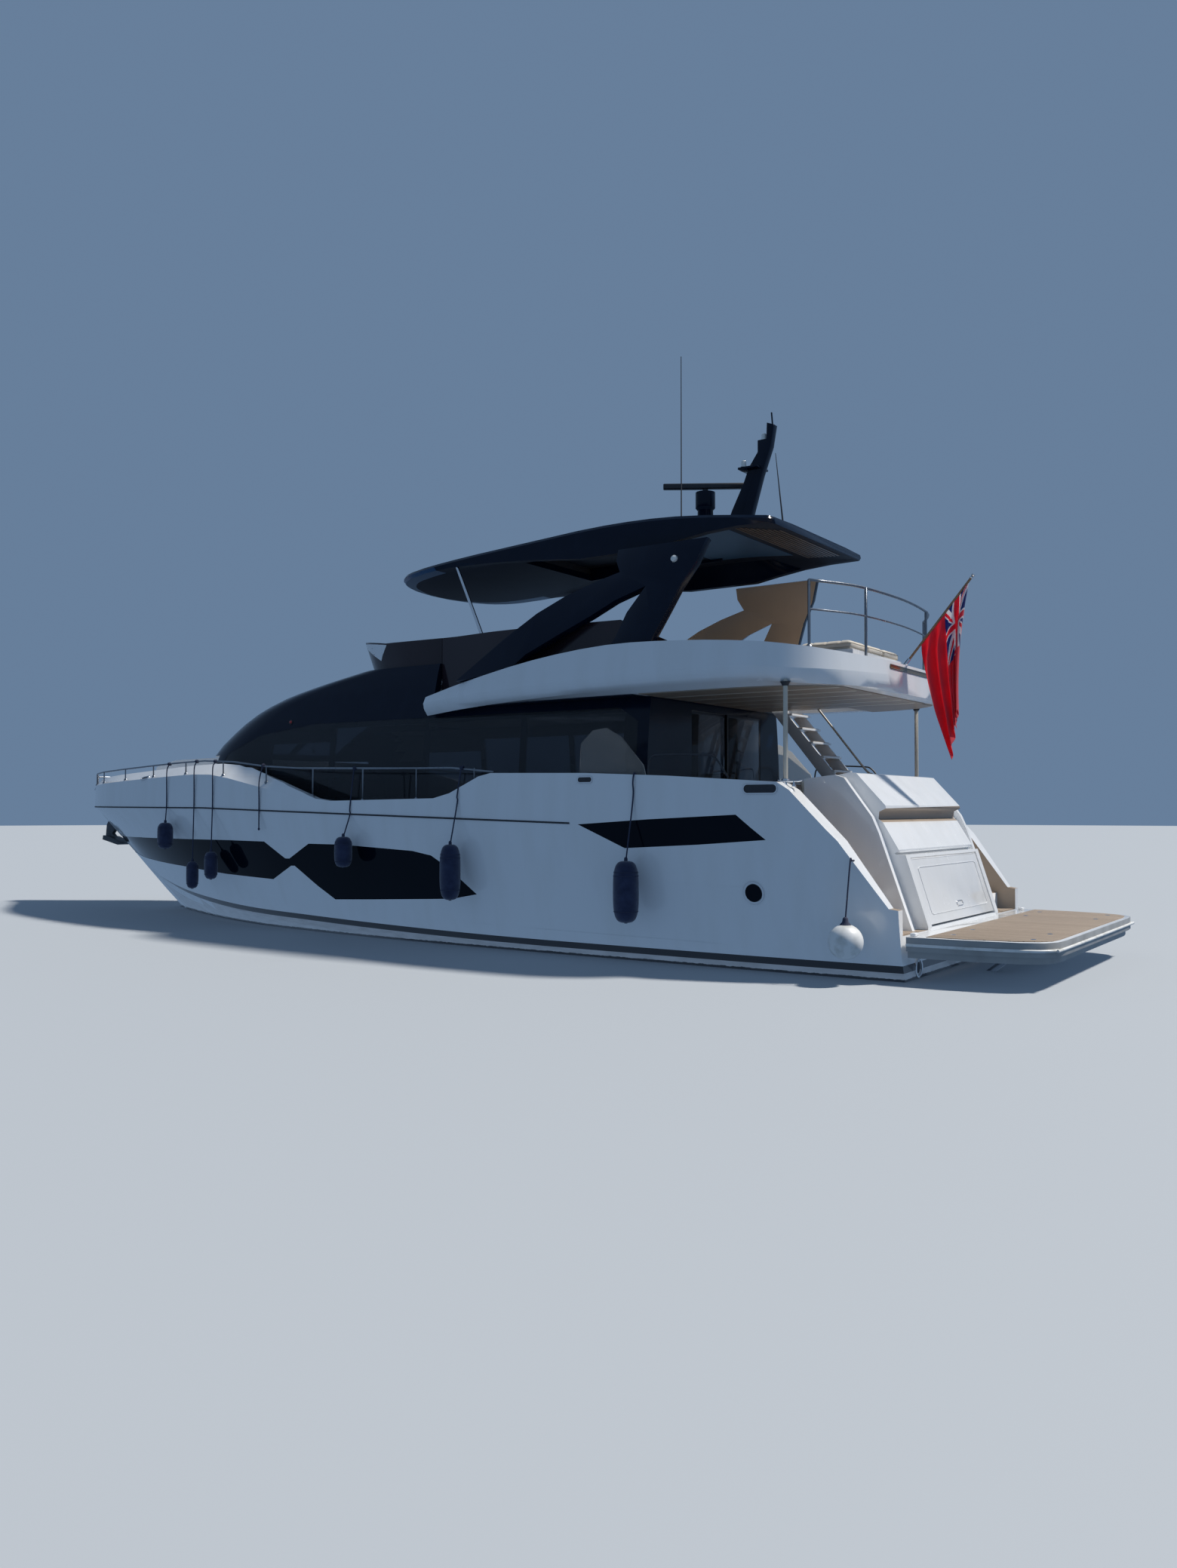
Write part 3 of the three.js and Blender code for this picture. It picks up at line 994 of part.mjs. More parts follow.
// Ensign staff on the flybridge's aft edge and the ensign hanging from it
const STAFF = { foot: [-8840, 0, 4300], top: [-9950, 0, 5640], r: 19 };
const ENSIGN = [
  [-9900, 5600], [-9100, 4634], [-9320, 3820], [-9600, 3000], [-9680, 3010], [-9700, 3700], [-9730, 4680],
];
const ENSIGN_HALF = 30;
const staff = mainBody(clearOf(bar([STAFF.foot, STAFF.top], STAFF.r, 8), flybridge.add(flyRail)));
addPiece('ensign_staff', staff, TEAK);
addPiece('ensign', mainBody(clearOf(sidePrism(ENSIGN, -ENSIGN_HALF, ENSIGN_HALF), staff)), RED);

// Fenders on the port side, hung from the rail or the bulwark: x, centre height, half height, radius,
// and whether it hangs free under the flare or lies against the side
const FENDERS = [
  { x: 5240, z: 1700, tall: 270, r: 150, free: true },
  { x: 4240, z: 960, tall: 270, r: 115, free: true },
  { x: 3620, z: 1160, tall: 270, r: 125, free: true },
  { x: -200, z: 1500, tall: 270, r: 150, free: false },
  { x: -2640, z: 1230, tall: 450, r: 165, free: false },
  { x: -5960, z: 1050, tall: 450, r: 185, free: false },
];
const LINE_R = 11;
function fenderBody({ tall, r }) {
  return turned([[0, -tall], [r * 0.5, -tall + r * 0.15], [r, -tall + r * 0.75], [r, tall - r * 0.75],
    [r * 0.5, tall - r * 0.15], [0, tall]], 14);
}
function fenderLine({ x, z, tall }, y) {
  const side = smoothAlong(HULL, 'sheerY', x) + LINE_R + 4;
  const cap = capZ(x);
  const railZ = along(RAIL, 'z', x);
  const toRail = [[x, railY(x) + 30, railZ - 40], [x, railY(x), railZ]];
  const toCap = [[x, side - 30, cap + LINE_R], [x, side - 90, cap + LINE_R]];
  const down = [[x, y, z + tall - 20], [x, side, Math.min(cap, 2600) - 250], [x, side, cap - 120]];
  return bar([...down, ...(x > RAIL[0].x ? toRail : toCap)], LINE_R, 6, 14);
}
const CLEAR_SIDE = 14;           // between a fender and the hull
FENDERS.forEach((fender, i) => {
  const sheer = smoothAlong(HULL, 'sheerY', fender.x);
  const y = fender.free ? sheer + 40 : sheer + fender.r + CLEAR_SIDE;
  const whole = fenderBody(fender).translate([fender.x, y, fender.z]).add(fenderLine(fender, y));
  addPiece(`fender_${i + 1}`, mainBody(clearOf(clearOf(whole, hull), bowRail)), NAVY);
});
const BALL = { x: -9260, z: 545, r: 225, topX: -9240, topY: 2780 };
const ballY = smoothAlong(HULL, 'sheerY', BALL.x) + BALL.r + CLEAR_SIDE;
const ballLine = bar([[BALL.x, ballY, BALL.z + BALL.r - 20], [BALL.x, ballY - BALL.r, 1400],
  [BALL.topX, BALL.topY, capZ(BALL.topX) + LINE_R + 1.3]], LINE_R, 6, 8);
const ball = solidOf(new THREE.SphereGeometry(BALL.r, 16, 10)).translate([BALL.x, ballY, BALL.z]);
addPiece('ball_fender', mainBody(clearOf(ball.add(ballLine), hull)), WHITE);

export default yacht;
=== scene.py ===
"""Looks of the motor yacht: finishes, deck fittings, cushions and the ensign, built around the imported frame.

Metres. +X is the bow, +Y is port, +Z is up, and z = 0 is the waterline.
"""

import json
import math
from functools import cache

import bmesh
import bpy
import numpy as np
from mathutils import Matrix, Vector
from mathutils.bvhtree import BVHTree

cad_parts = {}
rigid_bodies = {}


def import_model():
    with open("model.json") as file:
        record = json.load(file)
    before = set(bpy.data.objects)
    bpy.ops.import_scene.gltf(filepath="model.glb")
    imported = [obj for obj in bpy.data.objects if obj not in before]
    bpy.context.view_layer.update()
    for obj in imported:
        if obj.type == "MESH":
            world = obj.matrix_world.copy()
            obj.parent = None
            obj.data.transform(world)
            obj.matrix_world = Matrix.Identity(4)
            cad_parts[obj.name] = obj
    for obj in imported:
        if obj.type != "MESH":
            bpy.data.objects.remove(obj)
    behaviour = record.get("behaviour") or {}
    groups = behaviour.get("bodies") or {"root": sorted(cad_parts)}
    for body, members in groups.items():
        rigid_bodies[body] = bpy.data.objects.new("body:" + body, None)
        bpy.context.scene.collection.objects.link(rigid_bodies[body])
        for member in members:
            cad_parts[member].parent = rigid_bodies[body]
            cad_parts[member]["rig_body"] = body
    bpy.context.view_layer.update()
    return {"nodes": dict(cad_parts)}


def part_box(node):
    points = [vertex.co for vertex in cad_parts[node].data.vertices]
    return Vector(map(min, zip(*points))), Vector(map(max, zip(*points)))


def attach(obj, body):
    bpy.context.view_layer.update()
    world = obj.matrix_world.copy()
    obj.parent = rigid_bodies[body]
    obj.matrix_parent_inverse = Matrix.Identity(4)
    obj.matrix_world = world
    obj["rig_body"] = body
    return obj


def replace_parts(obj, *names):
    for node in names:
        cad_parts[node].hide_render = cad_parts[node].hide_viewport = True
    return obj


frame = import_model()
NODES = frame["nodes"]

# Camera, at standing eye height off the port quarter
CAMERA_PLACE = (-15.34, 17.57, 2.223)
CAMERA_HEADING = math.radians(34.8)  # from -Y towards +X
CAMERA_PITCH = math.radians(1.198)
CAMERA_LENS = 27.74

# Soft sun and plain sky
SUN_PLACE = (-0.42, -0.38, 0.82)  # direction from the boat towards the sun
SUN_ENERGY = 4.2
SUN_ANGLE = math.radians(5)
SUN_COLOR = (1.0, 0.95, 0.88)
SKY_COLOR = (0.40, 0.62, 0.96, 1)
SKY_STRENGTH = 0.34
FLOOR_R = 160

# Heights and places that several pieces share
DECK_Z = 1.9
FORE_DECK_Z = 2.32
FLY_DECK_Z = 4.12
PLATFORM_TOP_Z = 0.6
LEVEL_REACH = 0.012
PLANK = 0.058
CAULK = 0.006

UP = (0, 0, 1)
SIDES = ((1, "port"), (-1, "starboard"))

# Height of the dark boot stripe's middle along the boat
BOOT_STRIPE = [(-9.8, 0.165), (-5.2, 0.158), (-3.4, 0.165), (-1.9, 0.185), (-0.2, 0.222), (1.4, 0.265),
               (3.2, 0.313), (4.8, 0.41), (6.2, 0.53), (9.0, 0.92), (11.65, 1.40)]
BOOT_STRIPE_WIDE = 0.10
BOTTOM_PAINT_Z = 0.035

# Height of the rubbing line along the boat, from its aft end to the bow
STRAKE = [(-4.85, 2.015), (-3.0, 2.064), (0.6, 2.16), (4.0, 2.25), (11.4, 2.288)]


# Camera, floor and light

def add_object(name, data):
    """A new object in the scene."""
    made = bpy.data.objects.new(name, data)
    bpy.context.scene.collection.objects.link(made)
    return made


def add_camera():
    data = bpy.data.cameras.new("camera")
    data.sensor_fit = "VERTICAL"
    data.sensor_height = 36
    data.lens = CAMERA_LENS
    data.clip_end = 500
    camera = add_object("camera", data)
    level = math.cos(CAMERA_PITCH)
    ahead = Vector((math.sin(CAMERA_HEADING) * level, -math.cos(CAMERA_HEADING) * level,
                    math.sin(CAMERA_PITCH)))
    turn = ahead.to_track_quat("-Z", "Y")
    camera.matrix_world = Matrix.LocRotScale(Vector(CAMERA_PLACE), turn, None)
    bpy.context.scene.camera = camera


def add_light():
    world = bpy.data.worlds.new("studio")
    world.use_nodes = True
    sky = world.node_tree.nodes["Background"].inputs
    sky["Color"].default_value = SKY_COLOR
    sky["Strength"].default_value = SKY_STRENGTH
    bpy.context.scene.world = world
    data = bpy.data.lights.new("key", "SUN")
    data.energy = SUN_ENERGY
    data.angle = SUN_ANGLE
    data.color = SUN_COLOR
    key = add_object("key", data)
    key.rotation_euler = (-Vector(SUN_PLACE)).to_track_quat("-Z", "Y").to_euler()
    bpy.context.scene.view_settings.view_transform = "Standard"


def add_floor():
    """Round grey floor at the waterline, which throws no light back onto the hull."""
    ring = [(FLOOR_R * math.cos(turn), FLOOR_R * math.sin(turn), 0.0) for turn in turns(96)]
    mesh = bpy.data.meshes.new("floor")
    mesh.from_pydata(ring, [], [list(range(len(ring)))])
    floor = add_object("floor", mesh)
    paint = Finish("floor_paint", (0.42, 0.45, 0.48), 0.75)
    paint.grain(0.6, 3, 0.05, 0.02)
    mesh.materials.append(paint.material)
    floor.visible_diffuse = False
    floor.visible_glossy = False


# Finishes

class Finish:
    """One procedural material, with short ways to add nodes to it."""

    def __init__(self, name, color, roughness, **sockets):
        self.material = bpy.data.materials.new(name)
        self.material.use_nodes = True
        self.tree = self.material.node_tree
        self.shader = self.tree.nodes["Principled BSDF"]
        self.shader.inputs["Base Color"].default_value = (*color, 1)
        self.shader.inputs["Roughness"].default_value = roughness
        for socket, value in sockets.items():
            self.shader.inputs[socket.replace("_", " ")].default_value = value
        self.place = self.node("ShaderNodeTexCoord").outputs["Object"]

    def node(self, kind, inputs=(), **settings):
        made = self.tree.nodes.new(kind)
        for name, value in settings.items():
            setattr(made, name, value)
        for slot, value in dict(inputs).items():
            if isinstance(value, bpy.types.NodeSocket):
                self.tree.links.new(value, made.inputs[slot])
            else:
                made.inputs[slot].default_value = value
        return made

    def math(self, operation, a, b=0.0, c=0.0):
        return self.node("ShaderNodeMath", {0: a, 1: b, 2: c}, operation=operation).outputs[0]

    def axes(self):
        return self.node("ShaderNodeSeparateXYZ", {0: self.place}).outputs

    def noise(self, scale, detail, stretch=None):
        vector = self.place
        if stretch:
            vector = self.node("ShaderNodeMapping", {"Vector": vector, "Scale": stretch}).outputs[0]
        made = self.node("ShaderNodeTexNoise", {"Vector": vector, "Scale": scale, "Detail": detail})
        return made.outputs["Fac"]

    def between(self, value, low, high, new_low=0.0, new_high=1.0):
        made = self.node("ShaderNodeMapRange", {"Value": value, "From Min": low, "From Max": high,
                                                "To Min": new_low, "To Max": new_high})
        return made.outputs["Result"]

    def mix(self, share, first, second):
        made = self.node("ShaderNodeMix", data_type="RGBA")
        for slot, value in ((0, share), (6, first), (7, second)):
            if isinstance(value, bpy.types.NodeSocket):
                self.tree.links.new(value, made.inputs[slot])
            else:
                made.inputs[slot].default_value = (*value, 1) if isinstance(value, tuple) else value
        return made.outputs[2]

    def height_along(self, points, x):
        """The height that a list of (x, z) gives at x, as a smooth line."""
        made = self.node("ShaderNodeFloatCurve")
        start, end = points[0][0], points[-1][0]
        curve = made.mapping.curves[0]
        top = max(z for _, z in points) * 1.25
        spots = [((px - start) / (end - start), pz / top) for px, pz in points]
        curve.points[0].location = spots[0]
        curve.points[1].location = spots[-1]
        for spot in spots[1:-1]:
            curve.points.new(*spot)
        made.mapping.update()
        self.tree.links.new(self.between(x, start, end), made.inputs["Value"])
        return self.math("MULTIPLY", made.outputs[0], top)

    def waves(self, value, density):
        """A sine of value, as threads and twists repeat."""
        return self.math("SINE", self.math("MULTIPLY", value, density))

    def color(self, socket):
        self.tree.links.new(socket, self.shader.inputs["Base Color"])

    def tones(self, scale, detail, first, second, span=None):
        """Colours the surface from first to second by noise; span is the part of the noise that counts."""
        share = self.noise(scale, detail)
        self.color(self.mix(self.between(share, *span) if span else share, first, second))

    def roughness(self, socket):
        self.tree.links.new(socket, self.shader.inputs["Roughness"])

    def wear(self, scale, detail, smoothest, dullest, span=(0.3, 0.8)):
        """Roughness that changes a little over the surface."""
        self.roughness(self.between(self.noise(scale, detail), *span, smoothest, dullest))

    def bump(self, height, strength, distance):
        made = self.node("ShaderNodeBump", {"Height": height, "Strength": strength, "Distance": distance})
        self.tree.links.new(made.outputs[0], self.shader.inputs["Normal"])

    def grain(self, scale, detail, strength, distance):
        """Fine unevenness by noise."""
        self.bump(self.noise(scale, detail), strength, distance)


GELCOAT_WHITE = (0.80, 0.815, 0.83)


def weathered_white(finish):
    """Moulded white with faint yellowing and rain streaks."""
    streaks = finish.noise(1.6, 5, stretch=(2.2, 2.2, 0.35))
    cloud = finish.between(streaks, 0.42, 0.75, 0.0, 0.35)
    return finish.mix(cloud, GELCOAT_WHITE, (0.70, 0.70, 0.68))


def gelcoat():
    made = Finish("gelcoat", GELCOAT_WHITE, 0.2, Coat_Weight=0.5, Coat_Roughness=0.06)
    made.color(weathered_white(made))
    made.wear(3.0, 4, 0.16, 0.32)
    made.grain(2.4, 2, 0.04, 0.02)
    return made.material


def hull_gelcoat():
    """White topsides with the boot stripe, over dark bottom paint."""
    made = Finish("hull_gelcoat", GELCOAT_WHITE, 0.2, Coat_Weight=0.5, Coat_Roughness=0.05)
    x, _, z = made.axes()
    stripe_z = made.height_along(BOOT_STRIPE, x)
    from_stripe = made.math("ABSOLUTE", made.math("SUBTRACT", z, stripe_z))
    in_stripe = made.math("LESS_THAN", from_stripe, BOOT_STRIPE_WIDE / 2)
    under_stripe = made.math("LESS_THAN", z, stripe_z)
    low_white = made.mix(made.between(made.noise(5, 4, stretch=(0.6, 0.6, 3)), 0.35, 0.7), (0.66, 0.62, 0.60),
                         (0.52, 0.49, 0.47))
    paint_edge = made.math("MULTIPLY_ADD", made.noise(14, 3), 0.03, BOTTOM_PAINT_Z - 0.015)
    in_paint = made.math("LESS_THAN", z, paint_edge)
    bottom = made.mix(made.noise(7, 5), (0.012, 0.014, 0.022), (0.03, 0.032, 0.036))
    shown = made.mix(under_stripe, weathered_white(made), low_white)
    shown = made.mix(in_stripe, shown, (0.008, 0.009, 0.014))
    made.color(made.mix(in_paint, shown, bottom))
    gloss = made.between(made.noise(3.0, 4), 0.3, 0.8, 0.14, 0.28)
    made.roughness(made.mix(in_paint, gloss, (0.7, 0.7, 0.7)))
    made.grain(1.1, 2, 0.03, 0.03)
    return made.material


def black_gloss():
    """Black paint of the house, arches and hardtop, with a little dust in it."""
    made = Finish("black_gloss", (0.001, 0.005, 0.018), 0.2, Specular_IOR_Level=0.22)
    dust = made.between(made.noise(4.0, 6), 0.45, 0.8, 0.0, 0.6)
    made.color(made.mix(dust, (0.0008, 0.005, 0.018), (0.004, 0.010, 0.026)))
    made.wear(11.0, 3, 0.155, 0.185)
    return made.material


def dark_glass():
    """Black hull glazing with nothing to see behind it."""
    made = Finish("dark_glass", (0.001, 0.003, 0.007), 0.05, Specular_IOR_Level=0.1)
    made.tones(0.9, 2, (0.001, 0.003, 0.007), (0.003, 0.006, 0.012))
    made.wear(6, 4, 0.03, 0.1, (0.4, 0.8))
    return made.material


def tinted_glass():
    """Smoked glass of the house, which lets a little of the cabin show."""
    made = Finish("tinted_glass", (0.16, 0.18, 0.21), 0.03, Transmission_Weight=0.9, IOR=1.3)
    made.tones(0.8, 2, (0.14, 0.16, 0.19), (0.20, 0.22, 0.25))
    made.wear(6, 4, 0.02, 0.07, (0.4, 0.8))
    return made.material


def tinted_acrylic():
    made = Finish("tinted_acrylic", (0.02, 0.013, 0.018), 0.1, Specular_IOR_Level=0.4)
    made.tones(0.8, 3, (0.016, 0.011, 0.016), (0.038, 0.026, 0.032))
    made.wear(5, 4, 0.06, 0.2)
    return made.material


def clear_glass():
    made = Finish("clear_glass", (0.62, 0.60, 0.57), 0.05, Transmission_Weight=0.85, IOR=1.2)
    made.tones(1.3, 2, (0.56, 0.54, 0.51), (0.66, 0.65, 0.63))
    return made.material


def steel_painted_shade():
    """Rails of the flybridge, dull with salt; their colour is darkened to paint the shade they stand in."""
    made = Finish("steel_painted_shade", (0.26, 0.28, 0.31), 0.34, Metallic=1.0)
    made.tones(6, 4, (0.28, 0.30, 0.33), (0.20, 0.215, 0.24))
    made.wear(30, 3, 0.26, 0.42)
    return made.material


def navy_lining():
    """Dark panels under the hardtop and its sliding roof."""
    made = Finish("navy_lining", (0.006, 0.014, 0.03), 0.6, Specular_IOR_Level=0.2)
    made.tones(2.0, 4, (0.005, 0.012, 0.027), (0.012, 0.022, 0.042))
    made.grain(80, 2, 0.08, 0.002)
    return made.material


def steel():
    made = Finish("polished_steel", (0.72, 0.73, 0.75), 0.16, Metallic=1.0)
    made.wear(30, 3, 0.1, 0.26)
    return made.material


def galvanised():
    """Dull dark metal of the anchor and the anodes, much darker than bare zinc."""
    made = Finish("galvanised", (0.10, 0.105, 0.115), 0.5, Metallic=0.8)
    made.tones(14, 5, (0.13, 0.135, 0.145), (0.05, 0.054, 0.06))
    made.wear(9, 4, 0.42, 0.62)
    made.grain(60, 3, 0.2, 0.002)
    return made.material


def side_lens(name, bright, dull):
    """Coloured glass of a side lamp."""
    made = Finish(name, bright, 0.1, Coat_Weight=0.5)
    made.tones(30, 3, bright, dull)
    return made.material


def port_lens():
    return side_lens("port_lens", (0.50, 0.012, 0.012), (0.36, 0.01, 0.01))


def starboard_lens():
    return side_lens("starboard_lens", (0.01, 0.30, 0.09), (0.008, 0.20, 0.06))


def platform_edge_painted_shade():
    """Rubbing edge round the bathing platform, grey as painted shade on its white edge."""
    made = Finish("platform_edge_painted_shade", (0.36, 0.365, 0.36), 0.4)
    made.tones(3.5, 5, (0.38, 0.385, 0.38), (0.28, 0.28, 0.27), (0.3, 0.8))
    made.grain(40, 2, 0.05, 0.003)
    return made.material


def black_plastic():
    made = Finish("black_plastic", (0.02, 0.021, 0.025), 0.45)
    made.tones(8, 4, (0.015, 0.016, 0.02), (0.035, 0.036, 0.042))
    made.grain(220, 2, 0.15, 0.002)
    return made.material


def rubber():
    made = Finish("rubber", (0.02, 0.021, 0.025), 0.6)
    made.tones(12, 4, (0.012, 0.013, 0.018), (0.04, 0.042, 0.05))
    made.grain(90, 2, 0.2, 0.002)
    return made.material


def bronze():
    made = Finish("bronze", (0.45, 0.30, 0.16), 0.32, Metallic=1.0)
    made.tones(9, 5, (0.5, 0.34, 0.18), (0.28, 0.24, 0.15))
    made.grain(40, 3, 0.2, 0.003)
    return made.material


def teak_planks():
    """Planks along the boat with dark caulking between them."""
    made = Finish("teak_planks", (0.42, 0.28, 0.17), 0.62)
    _, y, _ = made.axes()
    row = made.math("DIVIDE", y, PLANK)
    across = made.math("FRACT", made.math("ADD", row, 200.0))
    number = made.math("FLOOR", row)
    seam = made.math("LESS_THAN", across, CAULK / PLANK)
    tone = made.node("ShaderNodeTexWhiteNoise", {"W": number}, noise_dimensions="1D").outputs["Value"]
    grain = made.noise(5.0, 6, stretch=(1.0, 16.0, 1.0))
    wood = made.mix(tone, (0.30, 0.235, 0.175), (0.38, 0.30, 0.23))
    wood = made.mix(made.between(grain, 0.35, 0.7, 0.0, 0.55), wood, (0.20, 0.15, 0.11))
    made.color(made.mix(seam, wood, (0.015, 0.014, 0.013)))
    made.bump(made.math("SUBTRACT", made.math("MULTIPLY", grain, 0.3), seam), 0.4, 0.003)
    return made.material


def teak():
    made = Finish("varnished_teak", (0.3, 0.16, 0.07), 0.3, Coat_Weight=0.6, Coat_Roughness=0.1)
    grain = made.noise(6.0, 6, stretch=(1.0, 14.0, 14.0))
    made.color(made.mix(made.between(grain, 0.35, 0.7), (0.34, 0.19, 0.085), (0.18, 0.09, 0.035)))
    made.bump(grain, 0.1, 0.002)
    return made.material


def walnut():
    made = Finish("walnut", (0.12, 0.07, 0.04), 0.35)
    grain = made.noise(5.0, 6, stretch=(14.0, 14.0, 1.0))
    made.color(made.mix(made.between(grain, 0.3, 0.7), (0.15, 0.09, 0.05), (0.06, 0.035, 0.02)))
    return made.material


def deck_grip():
    """Moulded non-slip deck with a fine diamond pattern."""
    made = Finish("deck_grip", (0.66, 0.66, 0.63), 0.6)
    made.tones(2, 5, (0.68, 0.68, 0.66), (0.58, 0.575, 0.55))
    grip = made.node("ShaderNodeTexVoronoi", {"Vector": made.place, "Scale": 90.0}).outputs["Distance"]
    made.bump(grip, 0.3, 0.004)
    return made.material


def warm_painted_light_and_shade():
    """Tan soffit lining under the flybridge; its warm tan paints light reflected into the shade, and on the
    hull's recesses it is painted shade.
    """
    made = Finish("tan_painted_light_and_shade", (0.36, 0.28, 0.21), 0.4)
    made.tones(1.3, 4, (0.39, 0.31, 0.235), (0.29, 0.225, 0.17))
    made.grain(60, 2, 0.05, 0.003)
    return made.material


def arch_painted_sunlight():
    """Warm pale lining of the arches' inner faces; its bright warm tan paints sunlight and bounce light on
    faces that stand in shade.
    """
    made = Finish("arch_painted_sunlight", (0.70, 0.52, 0.36), 0.4)
    made.tones(1.3, 4, (0.74, 0.55, 0.38), (0.55, 0.41, 0.29))
    made.grain(60, 2, 0.05, 0.003)
    return made.material


def lining_painted_shade():
    """Panels under the hardtop: a pale lining painted in the blue-grey of its shade."""
    made = Finish("lining_painted_shade", (0.03, 0.10, 0.21), 0.4)
    made.tones(1.5, 4, (0.035, 0.11, 0.22), (0.022, 0.08, 0.17))
    made.grain(60, 2, 0.05, 0.003)
    return made.material


def cabin_lining():
    """Pale panels on the cabin's walls."""
    made = Finish("cabin_lining", (0.40, 0.37, 0.33), 0.5)
    made.tones(1.5, 4, (0.42, 0.39, 0.35), (0.33, 0.30, 0.27))
    made.grain(60, 2, 0.05, 0.003)
    return made.material


def cushion_fabric():
    made = Finish("cushion_fabric", (0.66, 0.60, 0.50), 0.85, Sheen_Weight=0.3, Sheen_Roughness=0.5)
    x, y, z = made.axes()
    warp = made.waves(made.math("ADD", x, z), 900.0)
    weft = made.waves(made.math("ADD", y, z), 900.0)
    weave = made.math("MULTIPLY", warp, weft)
    cloud = made.noise(3.5, 5)
    made.color(made.mix(made.between(cloud, 0.35, 0.75), (0.68, 0.63, 0.54), (0.56, 0.50, 0.41)))
    made.bump(made.math("MULTIPLY_ADD", weave, 0.3, made.math("MULTIPLY", cloud, 0.8)), 0.25, 0.004)
    return made.material


def knitted_cover():
    """Navy knitted fender cover with its rows of stitches."""
    made = Finish("knitted_cover", (0.012, 0.02, 0.06), 0.92, Sheen_Weight=0.5, Sheen_Roughness=0.4)
    x, y, z = made.axes()
    rows = made.waves(z, 520.0)
    ribs = made.waves(made.math("ADD", x, y), 420.0)
    knit = made.math("MULTIPLY", rows, ribs)
    made.tones(9, 4, (0.010, 0.017, 0.055), (0.028, 0.04, 0.095), (0.3, 0.75))
    made.bump(knit, 0.5, 0.004)
    return made.material


def navy_rope():
    made = Finish("navy_rope", (0.02, 0.026, 0.06), 0.8)
    x, y, z = made.axes()
    twist = made.waves(made.math("ADD", made.math("ADD", x, y), z), 260.0)
    made.color(made.mix(made.between(twist, -1, 1), (0.012, 0.018, 0.05), (0.045, 0.055, 0.10)))
    made.bump(twist, 0.5, 0.003)
    return made.material


def white_vinyl():
    made = Finish("white_vinyl", (0.78, 0.78, 0.76), 0.35)
    made.tones(7, 5, (0.80, 0.80, 0.78), (0.50, 0.50, 0.46), (0.45, 0.8))
    made.grain(26, 3, 0.08, 0.004)
    return made.material


def lamp_lens():
    made = Finish("lamp_lens", (0.8, 0.8, 0.76), 0.12, Coat_Weight=0.5)
    made.tones(20, 3, (0.84, 0.84, 0.8), (0.7, 0.7, 0.66))
    return made.material


def smoked_lens():
    made = Finish("smoked_lens", (0.10, 0.085, 0.04), 0.15, Coat_Weight=0.5)
    made.tones(20, 3, (0.12, 0.10, 0.05), (0.07, 0.06, 0.035))
    return made.material


def slat_bronze():
    made = Finish("slat_bronze", (0.10, 0.075, 0.06), 0.35)
    made.color(made.mix(made.noise(8, 4, stretch=(1, 0.2, 1)), (0.12, 0.09, 0.07), (0.06, 0.045, 0.04)))
    return made.material


def piping_cord():
    made = Finish("piping_cord", (0.38, 0.33, 0.26), 0.8)
    made.tones(40, 2, (0.40, 0.35, 0.28), (0.30, 0.26, 0.20))
    made.grain(300, 2, 0.2, 0.001)
    return made.material


def screen_glass():
    made = Finish("screen_glass", (0.01, 0.02, 0.04), 0.08)
    made.tones(9, 2, (0.008, 0.02, 0.045), (0.02, 0.035, 0.05))
    return made.material


def stone_top():
    made = Finish("stone_top", (0.30, 0.29, 0.28), 0.2)
    made.tones(14, 8, (0.36, 0.35, 0.34), (0.18, 0.18, 0.18), (0.35, 0.65))
    return made.material


def cream_paint():
    """Cream paint of the stair's handrail, the posts and the soffit's strips."""
    made = Finish("cream_paint", (0.62, 0.57, 0.48), 0.3)
    made.tones(12, 3, (0.64, 0.59, 0.50), (0.55, 0.50, 0.42))
    return made.material


